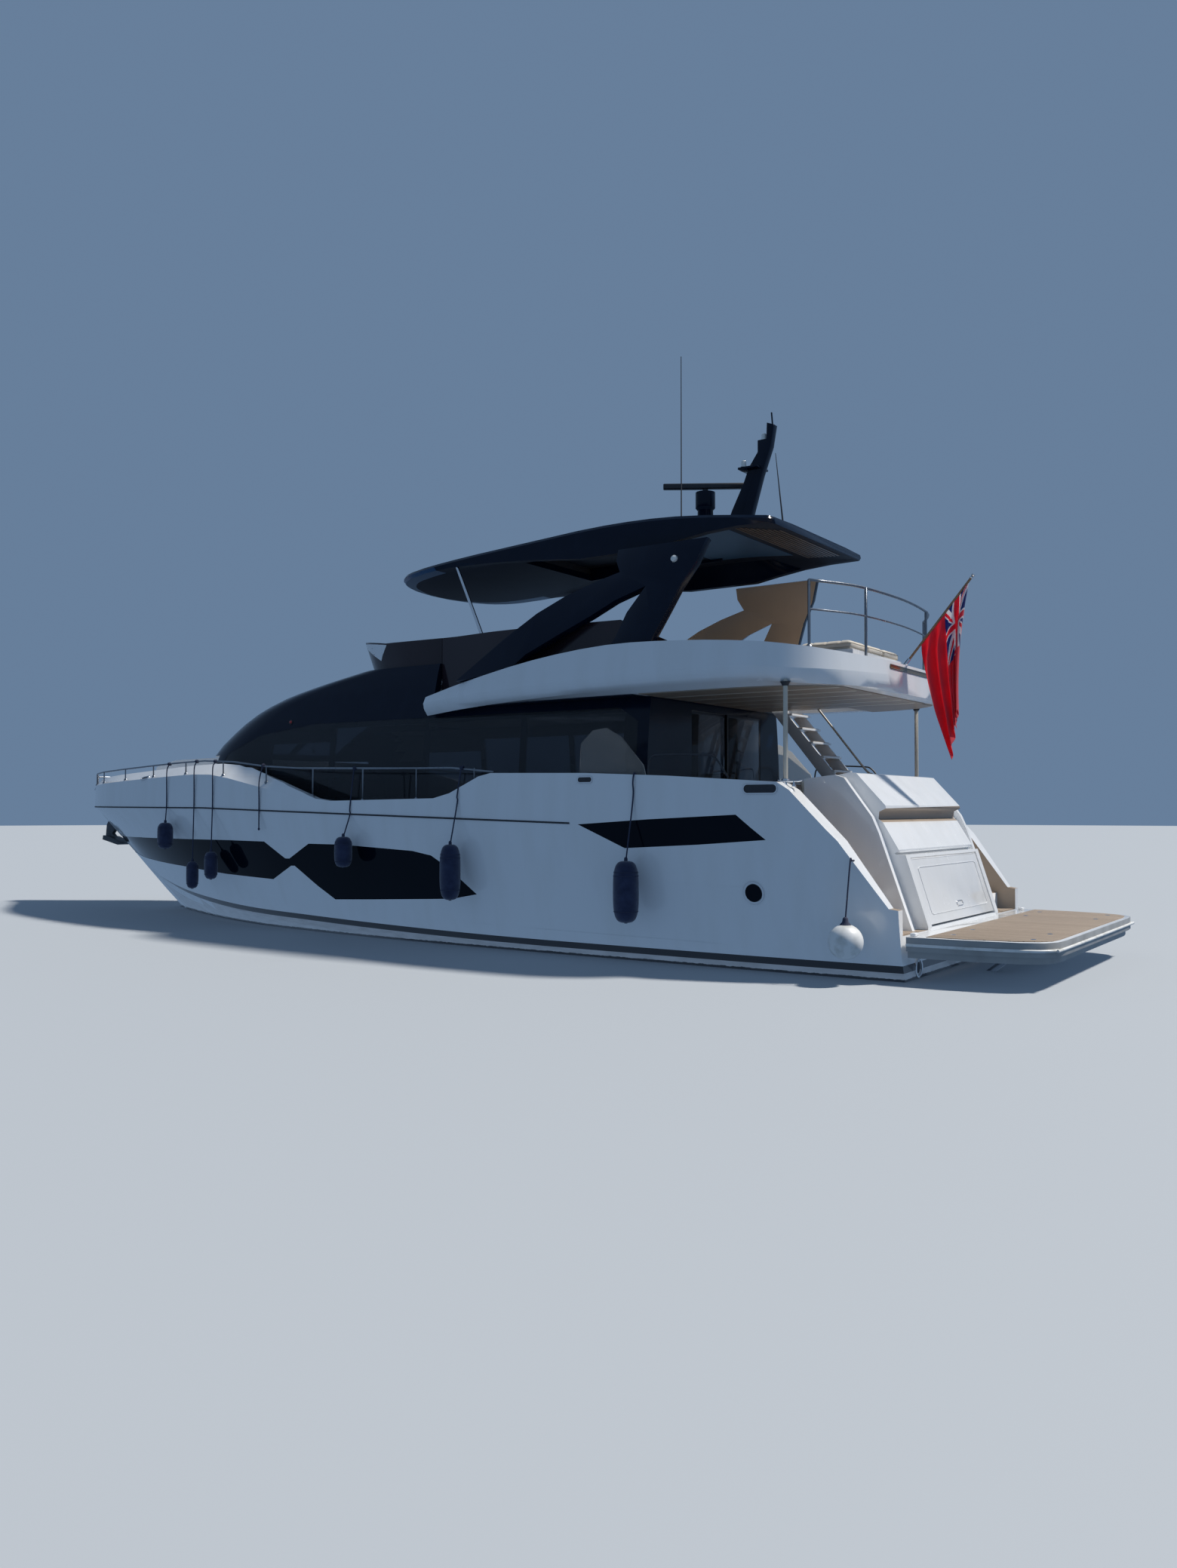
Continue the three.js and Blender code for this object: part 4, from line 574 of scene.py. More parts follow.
def ensign_dye():
    """Red cloth with the union in its upper hoist quarter, drawn from the cloth's own UV map."""
    made = Finish("ensign_dye", (0.5, 0.02, 0.04), 0.8, Sheen_Weight=0.25)
    uv = made.node("ShaderNodeUVMap", uv_map="UVMap").outputs[0]
    u, v, _ = made.node("ShaderNodeSeparateXYZ", {0: uv}).outputs
    x = made.math("MULTIPLY_ADD", u, 4.0, -1.0)
    y = made.math("MULTIPLY_ADD", v, 2.0, -1.5)
    in_union = made.math("MULTIPLY", made.math("LESS_THAN", u, 0.5), made.math("GREATER_THAN", v, 0.5))
    rise = made.math("MULTIPLY", x, 0.5)
    side = made.math("SIGN", x)
    down_line = made.math("ADD", y, rise)
    up_line = made.math("SUBTRACT", y, rise)
    either_line = made.math("MINIMUM", made.math("ABSOLUTE", down_line), made.math("ABSOLUTE", up_line))
    white = made.math("LESS_THAN", either_line, 0.112)
    red = None
    for line in (down_line, up_line):
        shifted = made.math("MULTIPLY", line, side)
        strip = made.math("LESS_THAN", made.math("ABSOLUTE", made.math("SUBTRACT", shifted, 0.0373)), 0.0373)
        red = strip if red is None else made.math("MAXIMUM", red, strip)
    nearest = made.math("MINIMUM", made.math("ABSOLUTE", x), made.math("ABSOLUTE", y))
    white_cross = made.math("LESS_THAN", nearest, 0.1667)
    red_cross = made.math("LESS_THAN", nearest, 0.1)
    blue_dye, white_dye, red_dye = (0.05, 0.08, 0.32), (0.85, 0.83, 0.85), (0.86, 0.055, 0.10)
    union = made.mix(white, blue_dye, white_dye)
    union = made.mix(red, union, red_dye)
    union = made.mix(white_cross, union, white_dye)
    union = made.mix(red_cross, union, red_dye)
    faded = made.mix(made.between(made.noise(4, 4), 0.3, 0.8), red_dye, (0.74, 0.075, 0.11))
    dye = made.mix(in_union, faded, union)
    made.color(dye)
    through = made.node("ShaderNodeBsdfTranslucent", {"Color": dye}).outputs[0]
    both = made.node("ShaderNodeMixShader", {0: 0.6, 1: made.shader.outputs[0], 2: through})
    made.tree.links.new(both.outputs[0], made.tree.nodes["Material Output"].inputs["Surface"])
    weave_u = made.waves(u, 2400.0)
    weave_v = made.waves(v, 1500.0)
    made.bump(made.math("MULTIPLY", weave_u, weave_v), 0.15, 0.001)
    return made.material


@cache
def look(maker):
    """Each material is made once."""
    return maker()


# Shapes

def welded(node, pick=None, cuts=()):
    """A bmesh of a CAD node with its triangles joined, its faces' looks picked and its flat faces made whole.

    cuts are planes (place, normal) that divide its faces first, so that a look ends on a clean line.
    """
    shape = bmesh.new()
    shape.from_mesh(NODES[node].data)
    bmesh.ops.remove_doubles(shape, verts=shape.verts, dist=0.00005)
    for place, normal in cuts:
        everything = [*shape.verts, *shape.edges, *shape.faces]
        bmesh.ops.bisect_plane(shape, geom=everything, plane_co=place, plane_no=normal, dist=0.00005)
    shape.normal_update()
    for face in shape.faces:
        face.material_index = pick(face.calc_center_median(), face.normal) if pick else 0
    bmesh.ops.dissolve_limit(shape, angle_limit=math.radians(0.6), verts=shape.verts, edges=shape.edges,
                             delimit={"MATERIAL"})
    return shape


def body_of(node):
    return NODES[node]["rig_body"]


def show(name, shape, looks, body="boat", angle=35.0):
    """Turns a bmesh into a shaded piece on a body."""
    mesh = bpy.data.meshes.new(name)
    shape.to_mesh(mesh)
    shape.free()
    for maker in looks:
        mesh.materials.append(look(maker))
    shade(mesh, angle)
    piece = add_object(name, mesh)
    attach(piece, body)
    return piece


def shade(mesh, angle):
    """Smooth shading, with a crease where faces meet at more than angle."""
    mesh.shade_smooth()
    mesh.set_sharp_from_angle(angle=math.radians(angle))


def plain_mesh(piece):
    """Bakes a piece's modifiers into its mesh."""
    graph = bpy.context.evaluated_depsgraph_get()
    mesh = bpy.data.meshes.new_from_object(piece.evaluated_get(graph))
    piece.modifiers.clear()
    piece.data = mesh
    return piece


def refined(node, looks, pick=None, bevel=0.0, angle=35.0, cuts=()):
    """A welded copy of a CAD node with softened edges, which is shown in its place."""
    piece = show(f"{node}_skin", welded(node, pick, cuts), looks, body_of(node), angle)
    if bevel:
        edge = piece.modifiers.new("edge", "BEVEL")
        edge.width = bevel
        edge.segments = 2
        edge.limit_method = "ANGLE"
        edge.angle_limit = math.radians(38)
        edge.use_clamp_overlap = True
        edge.harden_normals = False
        edge.miter_outer = "MITER_ARC"
        plain_mesh(piece)
        shade(piece.data, angle)
    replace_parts(piece, node)
    return piece


def from_lists(name, verts, faces, looks, body="boat", angle=35.0):
    """A piece from lists of places and faces."""
    shape = bmesh.new()
    made = [shape.verts.new(v) for v in verts]
    for face in faces:
        shape.faces.new([made[i] for i in face])
    bmesh.ops.remove_doubles(shape, verts=shape.verts, dist=0.00002)
    bmesh.ops.recalc_face_normals(shape, faces=shape.faces)
    return show(name, shape, looks, body, angle)


def turns(count):
    """Equal angles round a circle."""
    return [2 * math.pi * k / count for k in range(count)]


def joined(forms):
    """Several forms, each its verts and faces, as one."""
    verts = []
    faces = []
    for more, new in forms:
        first = len(verts)
        verts += more
        faces += [[first + i for i in face] for face in new]
    return verts, faces


def ring_faces(rings, sides):
    """Faces of a form made of equal rings, closed at both ends."""
    faces = []
    for i in range(rings - 1):
        for k in range(sides):
            a = i * sides + k
            b = i * sides + (k + 1) % sides
            faces.append((a, b, b + sides, a + sides))
    faces.append(list(reversed(range(sides))))
    faces.append([(rings - 1) * sides + k for k in range(sides)])
    return faces


def tube_parts(points, radius, sides=10):
    """A closed tube along points; radius is one number, or one for each point."""
    spots = [Vector(p) for p in points]
    verts = []
    side = None
    for i, spot in enumerate(spots):
        ahead = spots[min(i + 1, len(spots) - 1)] - spots[max(i - 1, 0)]
        ahead.normalize()
        if side is None:
            side = ahead.orthogonal().normalized()
        side = (side - ahead * side.dot(ahead)).normalized()
        up = ahead.cross(side)
        thick = radius[i] if isinstance(radius, (list, tuple)) else radius
        verts += [spot + side * math.cos(turn) * thick + up * math.sin(turn) * thick
                  for turn in turns(sides)]
    return verts, ring_faces(len(spots), sides)


def loop_parts(points, radius, sides=8):
    """A tube along points that ends where it starts."""
    spots = [Vector(p) for p in points]
    n = len(spots)
    middle = sum(spots, Vector()) / n
    verts = []
    faces = []
    for i, spot in enumerate(spots):
        ahead = (spots[(i + 1) % n] - spots[i - 1]).normalized()
        out = (spot - middle) - ahead * (spot - middle).dot(ahead)
        out.normalize()
        up = ahead.cross(out)
        verts += [spot + out * math.cos(turn) * radius + up * math.sin(turn) * radius
                  for turn in turns(sides)]
        following = (i + 1) % n * sides
        for k in range(sides):
            after = (k + 1) % sides
            faces.append((i * sides + k, i * sides + after, following + after, following + k))
    return verts, faces


def oval_loop(base, long, wide, height, count=40):
    """Points of a rounded slot in base's plane."""
    straight = (long - wide) / 2
    points = []
    for turn in turns(count):
        x = math.cos(turn) * wide / 2 + (straight if math.cos(turn) > 0 else -straight)
        points.append(base @ Vector((x, math.sin(turn) * wide / 2, height)))
    return points


def lathe_parts(profile, sides, base=Matrix.Identity(4)):
    """A turned form from (radius, height) pairs, standing along +Z before base moves it."""
    verts = [base @ Vector((r * math.cos(turn), r * math.sin(turn), h))
             for r, h in profile for turn in turns(sides)]
    return verts, ring_faces(len(profile), sides)


def tubes(name, lines, radius, looks, body="boat", sides=10):
    """Several tubes as one piece."""
    return from_lists(name, *joined(tube_parts(line, radius, sides) for line in lines), looks, body, 50)


def lathes(name, profile, bases, looks, body="boat", sides=24, angle=40.0):
    """A turned form, once on each base, as one piece."""
    return from_lists(name, *joined(lathe_parts(profile, sides, base) for base in bases), looks, body, angle)


def facing(place, direction):
    """A frame at place whose +Z looks along direction."""
    turn = Vector(direction).to_track_quat("Z", "Y")
    return Matrix.LocRotScale(Vector(place), turn, None)


def frame_at(place, x_axis, y_axis, z_axis):
    """A frame at place with these three axes."""
    base = Matrix((x_axis, y_axis, z_axis)).transposed().to_4x4()
    base.translation = place
    return base


def smooth_line(points, count):
    """Catmull-Rom line through points."""
    spots = [np.array(p, float) for p in points]
    spots = [2 * spots[0] - spots[1], *spots, 2 * spots[-1] - spots[-2]]
    found = []
    spans = len(spots) - 3
    for t in np.linspace(0, spans, count):
        i = min(int(t), spans - 1)
        u = t - i
        a, b, c, d = spots[i:i + 4]
        found.append(tuple(0.5 * (2 * b + (c - a) * u + (2 * a - 5 * b + 4 * c - d) * u * u
                                  + (3 * b - a - 3 * c + d) * u ** 3)))
    return found


def along(points, x):
    """The height that a list of (x, z) gives at x, along straight lines."""
    return float(np.interp(x, [p[0] for p in points], [p[1] for p in points]))


def rounded_box(shape, low, high, radius=0.006, steps=2):
    """Adds a box with softened edges to a bmesh."""
    made = bmesh.ops.create_cube(shape, size=1.0)["verts"]
    middle = [(a + b) / 2 for a, b in zip(low, high)]
    size = [b - a for a, b in zip(low, high)]
    bmesh.ops.scale(shape, vec=size, verts=made)
    bmesh.ops.translate(shape, vec=middle, verts=made)
    radius = min(radius, min(size) * 0.45)
    edges = list({edge for vert in made for edge in vert.link_edges})
    bmesh.ops.bevel(shape, geom=edges, offset=radius, segments=steps, profile=0.5, affect="EDGES")


def boxes(name, rows, looks, body="boat", radius=0.006, steps=2):
    """Several softened boxes as one piece; each row is a low and a high corner."""
    shape = bmesh.new()
    for low, high in rows:
        rounded_box(shape, low, high, radius, steps)
    return show(name, shape, looks, body, 40)


def plate(name, outline, z0, z1, looks, body="boat", radius=0.004):
    """A flat plate from a plan outline, with softened edges."""
    shape = bmesh.new()
    bottom = [shape.verts.new((x, y, z0)) for x, y in outline]
    face = shape.faces.new(bottom)
    raised = bmesh.ops.extrude_face_region(shape, geom=[face])["geom"]
    raised = [part for part in raised if isinstance(part, bmesh.types.BMVert)]
    bmesh.ops.translate(shape, vec=(0, 0, z1 - z0), verts=raised)
    bmesh.ops.recalc_face_normals(shape, faces=shape.faces)
    if radius:
        rim = [edge for edge in shape.edges if all(abs(v.co.z - z1) < 1e-6 for v in edge.verts)]
        bmesh.ops.bevel(shape, geom=rim, offset=radius, segments=2, profile=0.5, affect="EDGES")
    return show(name, shape, looks, body)


@cache
def fitting_tree():
    """Nodes that set copies of one fitting on places, turned as each place's attribute says."""
    tree = bpy.data.node_groups.new("fittings_on_places", "GeometryNodeTree")
    for name, kind in (("Places", "Geometry"), ("Fitting", "Object"), ("Size", "Float"),
                       ("Finish", "Material")):
        tree.interface.new_socket(name, in_out="INPUT", socket_type=f"NodeSocket{kind}")
    tree.interface.new_socket("Fittings", in_out="OUTPUT", socket_type="NodeSocketGeometry")
    add, join = tree.nodes.new, tree.links.new
    start, end = add("NodeGroupInput").outputs, add("NodeGroupOutput").inputs
    spots = add("GeometryNodeMeshToPoints")
    turn = add("GeometryNodeInputNamedAttribute")
    turn.data_type = "FLOAT_VECTOR"
    turn.inputs["Name"].default_value = "turn"
    unit = add("GeometryNodeObjectInfo")
    copies = add("GeometryNodeInstanceOnPoints")
    real = add("GeometryNodeRealizeInstances")
    painted = add("GeometryNodeSetMaterial")
    join(start["Places"], spots.inputs["Mesh"])
    join(start["Fitting"], unit.inputs["Object"])
    join(spots.outputs["Points"], copies.inputs["Points"])
    join(unit.outputs["Geometry"], copies.inputs["Instance"])
    join(turn.outputs["Attribute"], copies.inputs["Rotation"])
    join(start["Size"], copies.inputs["Scale"])
    join(copies.outputs["Instances"], real.inputs["Geometry"])
    join(real.outputs["Geometry"], painted.inputs["Geometry"])
    join(start["Finish"], painted.inputs["Material"])
    join(painted.outputs["Geometry"], end["Fittings"])
    return tree


def repeated(name, unit, places, maker, body="boat", size=1.0):
    """One piece of many like fittings.

    unit is verts and faces standing along +Z; places are pairs of a place and a direction.
    """
    unit_mesh = bpy.data.meshes.new("unit")
    unit_mesh.from_pydata([tuple(v) for v in unit[0]], [], unit[1])
    spots = bpy.data.meshes.new(name)
    spots.from_pydata([tuple(place) for place, _ in places], [], [])
    headings = spots.attributes.new("turn", "FLOAT_VECTOR", "POINT")
    for i, (_, direction) in enumerate(places):
        headings.data[i].vector = Vector(direction).to_track_quat("Z", "Y").to_euler()
    piece = add_object(name, spots)
    fitting = add_object("unit", unit_mesh)
    layer = piece.modifiers.new("copies", "NODES")
    layer.node_group = fitting_tree()
    values = {"Fitting": fitting, "Size": size, "Finish": look(maker)}
    for socket in layer.node_group.interface.items_tree:
        if socket.name in values:
            layer[socket.identifier] = values[socket.name]
    plain_mesh(piece)
    bpy.data.objects.remove(fitting)
    mesh = piece.data
    mesh.name = name
    shape = bmesh.new()
    shape.from_mesh(mesh)
    bmesh.ops.recalc_face_normals(shape, faces=shape.faces)
    shape.to_mesh(mesh)
    shape.free()
    shade(mesh, 40)
    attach(piece, body)
    return piece


@cache
def tree_of(node):
    """A CAD node's faces, to be searched by rays."""
    return search_tree(NODES[node].data)


def search_tree(mesh):
    places = [v.co for v in mesh.vertices]
    return BVHTree.FromPolygons(places, [tuple(face.vertices) for face in mesh.polygons])


def met(node, start, direction):
    """Where a ray first meets a node, and the normal there."""
    place, normal, _, _ = tree_of(node).ray_cast(Vector(start), Vector(direction))
    return place, normal


def on_side(node, x, z, side):
    """Where the node's outer side is at x and z, and its normal there."""
    return met(node, (x, side * 6.0, z), (0, -side, 0))


def drop_on(node, x, y, z):
    """What a plumb line down from a place meets on a node, and the normal there."""
    return met(node, (x, y, z), (0, 0, -1))


def lift_to(node, x, y, z):
    """What a plumb line up from a place meets on a node, and the normal there."""
    return met(node, (x, y, z), (0, 0, 1))


# Smooth normals for the hull, whose faces are cut by windows and decks

def lend_normals(piece, strips, reach=0.02, agree=0.86):
    """Gives faces that lie on a smooth form that form's normals; each strip is equal rows of points."""
    trees = []
    for rows in strips:
        places = np.array(rows, float)
        du = np.gradient(places, axis=0)
        dv = np.gradient(places, axis=1)
        normals = np.cross(du, dv)
        normals /= np.linalg.norm(normals, axis=2, keepdims=True) + 1e-12
        n, m = places.shape[:2]
        verts = [Vector(p) for p in places.reshape(-1, 3)]
        faces = [(i * m + k, (i + 1) * m + k, (i + 1) * m + k + 1, i * m + k + 1)
                 for i in range(n - 1) for k in range(m - 1)]
        trees.append((BVHTree.FromPolygons(verts, faces), verts, faces, normals.reshape(-1, 3)))
    mesh = piece.data
    found = [Vector(c.vector) for c in mesh.corner_normals]
    for face in mesh.polygons:
        for corner in face.loop_indices:
            place = mesh.vertices[mesh.loops[corner].vertex_index].co
            best = agree
            for tree, verts, faces, normals in trees:
                spot, _, index, _ = tree.find_nearest(place, reach)
                if spot is None:
                    continue
                weights = [1 / ((verts[i] - spot).length + 1e-6) for i in faces[index]]
                blended = Vector(np.average([normals[i] for i in faces[index]], axis=0, weights=weights))
                blended.normalize()
                match = abs(blended.dot(face.normal))
                if match > best:
                    best = match
                    found[corner] = blended if blended.dot(face.normal) > 0 else -blended
    mesh.normals_split_custom_set([tuple(n) for n in found])


# Hull and its windows

# Hull stations: x, keel height, chine height and half width, half width at the sheer
HULL = [
    (-9.80, -0.78, -0.06, 2.42, 2.86), (-8.40, -0.86, -0.06, 2.45, 2.92), (-6.00, -0.98, -0.05, 2.47, 2.945),
    (-3.00, -1.08, -0.02, 2.47, 2.95), (0.00, -1.13, 0.06, 2.40, 2.915), (2.50, -1.12, 0.18, 2.22, 2.85),
    (4.40, -1.03, 0.33, 1.94, 2.72), (6.00, -0.83, 0.50, 1.54, 2.52), (7.30, -0.50, 0.70, 1.12, 2.29),
    (8.30, 0.02, 0.90, 0.78, 2.03), (9.30, 0.68, 1.18, 0.43, 1.56), (10.30, 1.37, 1.56, 0.15, 0.90),
    (11.10, 1.91, 1.97, 0.03, 0.37), (11.65, 2.27, 2.29, 0.01, 0.04),
]
# Where the topside's flare ends, and the bulwark's knuckle over it with its lean
FLARE_TOP = [(-9.80, 1.95), (-5.00, 2.02), (0.60, 2.16), (4.00, 2.25), (11.65, 2.29)]
KNUCKLE = [(-9.80, 2.05, 0.03), (0.60, 2.30, 0.03), (1.34, 2.47, 0.30), (2.43, 2.67, 0.80),
           (3.57, 2.88, 1.20), (4.40, 2.90, 1.20), (8.55, 2.77, 1.30), (11.00, 2.70, 0.80),
           (11.65, 2.69, 0.03)]
FORM_TOP_Z = 3.2
CHINE_FLAT = 0.045
FLARE_ROWS = 14
STATIONS = 120


def smooth_value(table, column, x):
    """A smooth value of a table's column at x, by the slopes to the neighbours on both sides."""
    n = len(table)
    i = 0
    while i < n - 2 and x > table[i + 1][0]:
        i += 1
    a, b = table[i], table[i + 1]

    def slope(j):
        low, high = table[max(j - 1, 0)], table[min(j + 1, n - 1)]
        return (high[column] - low[column]) / (high[0] - low[0])

    wide = b[0] - a[0]
    t = min(max((x - a[0]) / wide, 0.0), 1.0)
    return ((2 * t ** 3 - 3 * t ** 2 + 1) * a[column] + (t ** 3 - 2 * t ** 2 + t) * wide * slope(i)
            + (3 * t ** 2 - 2 * t ** 3) * b[column] + (t ** 3 - t ** 2) * wide * slope(i + 1))


def hull_line(x):
    """The port half of the hull's section at x: flare from the chine, knuckle, and the bulwark's top."""
    chine_z = max(smooth_value(HULL, 2, x), smooth_value(HULL, 1, x) + 0.015)
    chine_y = max(smooth_value(HULL, 3, x), 0.006)
    sheer_y = max(smooth_value(HULL, 4, x), 0.014)
    flare_z = max(along(FLARE_TOP, x), chine_z + 0.015)
    bow = min(max((x - 2.0) / 8.0, 0.0), 1.0)
    power = 0.62 + (1.25 - 0.62) * bow
    flat_y = chine_y + min(CHINE_FLAT, (sheer_y - chine_y) / 2)
    flare = []
    for i in range(FLARE_ROWS + 1):
        t = i / FLARE_ROWS
        wide = flat_y + (sheer_y - flat_y) * t ** power
        flare.append((x, max(wide, 0.010), chine_z + (flare_z - chine_z) * t))
    knuckle_z = max(along(KNUCKLE, x), flare_z + 0.02)
    knuckle_y = max(sheer_y - (knuckle_z - flare_z) * 0.02, 0.010)
    lean = float(np.interp(x, [k[0] for k in KNUCKLE], [k[2] for k in KNUCKLE]))
    top_y = max(knuckle_y - (FORM_TOP_Z - knuckle_z) * lean, 0.008)
    return flare, (x, knuckle_y, knuckle_z), (x, top_y, FORM_TOP_Z)


def both_sides(strip):
    return [strip, [[(x, -y, z) for x, y, z in row] for row in strip]]


def hull_strips():
    lines = [hull_line(x) for x in np.linspace(-9.8, 11.65, STATIONS)]
    flare = [line[0] for line in lines]
    wall = [[line[0][-1], line[1]] for line in lines]
    bulwark = [[line[1], line[2]] for line in lines]
    return both_sides(flare) + both_sides(wall) + both_sides(bulwark)


def side_y(x, z):
    """Half width of the hull at a place on its topside."""
    flare, knuckle, top = hull_line(x)
    line = [*flare, knuckle, top]
    return float(np.interp(z, [p[2] for p in line], [p[1] for p in line]))


HULL_LOOKS = [hull_gelcoat, black_gloss, teak_planks, deck_grip, gelcoat, warm_painted_light_and_shade]
TOPSIDE, WINDOW, TEAK, GRIP, MOULDED, PAINTED_RECESS_SHADE = range(6)
SKIN_DEEP = 0.045
TRANSOM_X = -9.79


def hull_pick(middle, normal):
    """Hull faces: white outside, black in the window pockets, teak or grip on the decks, tan as painted shade
    in recesses and on the stair walls.
    """
    x, y, z = middle
    outside = abs(y) > side_y(x, z) - SKIN_DEEP and x > TRANSOM_X
    level = normal.z > 0.9
    if outside and in_window(x, z):
        return WINDOW
    if outside or z < 0.3:
        return TOPSIDE
    if level and abs(z - DECK_Z) < LEVEL_REACH:
        return TEAK
    if level and abs(z - FORE_DECK_Z) < LEVEL_REACH:
        return GRIP
    on_stairs = x < -8.3 and abs(y) > 1.6 and z < 1.9
    if level and on_stairs:
        return TEAK
    # The block's groove and the stair walls are painted tan as shade.
    in_block = abs(y) < 1.61 and -9.23 < x < -9.10 and 2.03 < z < 2.25
    beside_stairs = abs(y) > 2.5 and x < -8.2 and z > PLATFORM_TOP_Z
    if (in_block and normal.x < -0.2) or (beside_stairs and abs(normal.y) > 0.7):
        return PAINTED_RECESS_SHADE
    return MOULDED


# Outlines of the hull's band window and quarter window in side view, x and z
BAND = [(9.900, 1.265), (10.750, 1.572), (8.300, 1.618), (5.600, 1.632), (3.300, 1.640), (2.200, 1.632),
        (1.660, 1.335), (1.540, 1.335), (0.960, 1.614), (0.090, 1.612), (-0.640, 1.580), (-1.580, 1.537),
        (-1.990, 1.470), (-2.320, 1.290), (-2.890, 0.870), (-2.360, 0.775), (-1.130, 0.710), (0.455, 0.638),
        (0.865, 0.862), (1.420, 1.205), (1.520, 1.205), (2.106, 0.938), (3.680, 0.981), (5.470, 1.070),
        (8.350, 1.165)]
QUARTER = [(-4.98, 2.00), (-5.78, 1.66), (-7.00, 1.73), (-8.04, 1.81), (-7.60, 2.15), (-6.20, 2.08)]


def inside(outline, x, z, reach=0.004):
    """Whether a place lies inside an outline or on its edge."""
    found = False
    for (ax, az), (bx, bz) in zip(outline, outline[1:] + outline[:1]):
        share = ((x - ax) * (bx - ax) + (z - az) * (bz - az)) / ((bx - ax) ** 2 + (bz - az) ** 2)
        share = min(max(share, 0.0), 1.0)
        if math.hypot(ax + share * (bx - ax) - x, az + share * (bz - az) - z) < reach:
            return True
        if (az > z) != (bz > z) and x < (bx - ax) * (z - az) / (bz - az) + ax:
            found = not found
    return found


def in_window(x, z):
    return inside(BAND, x, z) or inside(QUARTER, x, z)


def dress_hull():
    """Hull and its glass, shaded by the smooth form that they lie on."""
    strips = hull_strips()
    lend_normals(refined("hull", HULL_LOOKS, hull_pick, angle=28), strips)
    for _, side_name in SIDES:
        for kind in ("hull_glass", "quarter_glass"):
            lend_normals(refined(f"{kind}_{side_name}", [dark_glass], angle=28), strips, reach=0.022)


# Deckhouse

# House levels: height, foremost x, half width, length of the rounded nose
HOUSE = [
    (1.90, 5.56, 2.26, 1.90), (2.40, 5.55, 2.25, 1.90), (2.90, 5.54, 2.23, 1.90), (3.28, 5.48, 2.20, 1.85),
    (3.72, 4.90, 2.15, 1.80), (4.08, 4.25, 2.09, 1.75), (4.34, 3.50, 2.04, 1.70), (4.50, 2.78, 2.00, 1.65),
    (4.61, 2.19, 1.97, 1.60), (4.74, 1.44, 1.93, 1.55),
]
NOSE_POWER = 2.3
NOSE_ROWS = 40


def nose_plan(nose, half, length, aft_x, rows=NOSE_ROWS):
    """Port half of a plan with a rounded nose, from its middle back to aft_x."""
    line = []
    for i in range(rows + 1):
        turn = i / rows * math.pi / 2
        x = nose - length + length * math.cos(turn) ** (2 / NOSE_POWER)
        line.append((x, half * math.sin(turn) ** (2 / NOSE_POWER)))
    return line + [(x, half) for x in np.linspace(line[-1][0] - 0.05, aft_x, 12)]


def house_strips():
    strip = []
    for z in np.linspace(1.90, 4.74, 60):
        nose, half, length = (smooth_value(HOUSE, column, z) for column in (1, 2, 3))
        strip.append([(x, y, z) for x, y in nose_plan(nose, half, length, -5.75)])
    return both_sides(strip)


def dress_house():
    """Black deckhouse, lined inside, with its smoked glass."""
    def lining(middle, normal):
        outward = normal.y * middle.y > 0.3 or (normal.z > 0.3 and middle.z > 2.5)
        in_cabin = middle.z < 3.95 and abs(middle.y) < 2.12 and -5.70 < middle.x < 3.4
        return 1 if in_cabin and not outward else 0

    strips = house_strips()
    lend_normals(refined("deckhouse", [black_gloss, cabin_lining], lining, angle=28), strips)
    for node in ("windscreen", "side_glass_port", "side_glass_starboard"):
        lend_normals(refined(node, [tinted_glass], angle=28), strips)


# Flybridge moulding

# x, half width, lower edge, upper edge
FLY = [
    (-9.000, 0.90, 3.960, 4.360), (-8.900, 1.50, 3.945, 4.375), (-8.700, 2.15, 3.935, 4.400),
    (-8.350, 2.56, 3.940, 4.455), (-7.780, 2.80, 3.990, 4.530), (-6.670, 2.86, 4.000, 4.620),
    (-5.380, 2.86, 3.980, 4.650), (-3.940, 2.78, 3.940, 4.530), (-2.400, 2.56, 3.880, 4.310),
    (-1.352, 2.36, 3.815, 4.130),
]


def fly_strips():
    side = []
    under = []
    for x in np.concatenate([np.linspace(-9.0, -8.3, 24), np.linspace(-8.2, -1.352, 60)]):
        half, low = (smooth_value(FLY, column, x) for column in (1, 2))
        profile = [(half - 0.11, low), (half - 0.02, low + 0.11), (half, low + 0.2)]
        rounded = smooth_line([(p[0], p[1], 0) for p in profile], 7)
        side.append([(x, y, z) for y, z, _ in rounded[1:]])
        under.append([(x, half - 0.26, 3.93), (x, half - 0.11, low)])
    wall = []
    for row in side:
        x = row[-1][0]
        wall.append([row[-1], (x, smooth_value(FLY, 1, x) - 0.06, smooth_value(FLY, 3, x))])
    return both_sides(side) + both_sides(wall) + both_sides(under)


def dress_flybridge():
    """White moulding with its planked deck, its lining of painted light and shade, and stern light."""
    def planked(middle, normal):
        return 1 if normal.z > 0.9 and abs(middle.z - FLY_DECK_Z) < LEVEL_REACH else 0

    lend_normals(refined("flybridge", [gelcoat, teak_planks], planked, angle=28), fly_strips(), agree=0.8)
    line_overhang()
    add_stern_light()


SOFFIT_Z = 3.93
SOFFIT_THICK = 0.014
SOFFIT_INSET = 0.315
HATCH_PORT_Y = -1.45
HATCH_AFT_X = -7.40


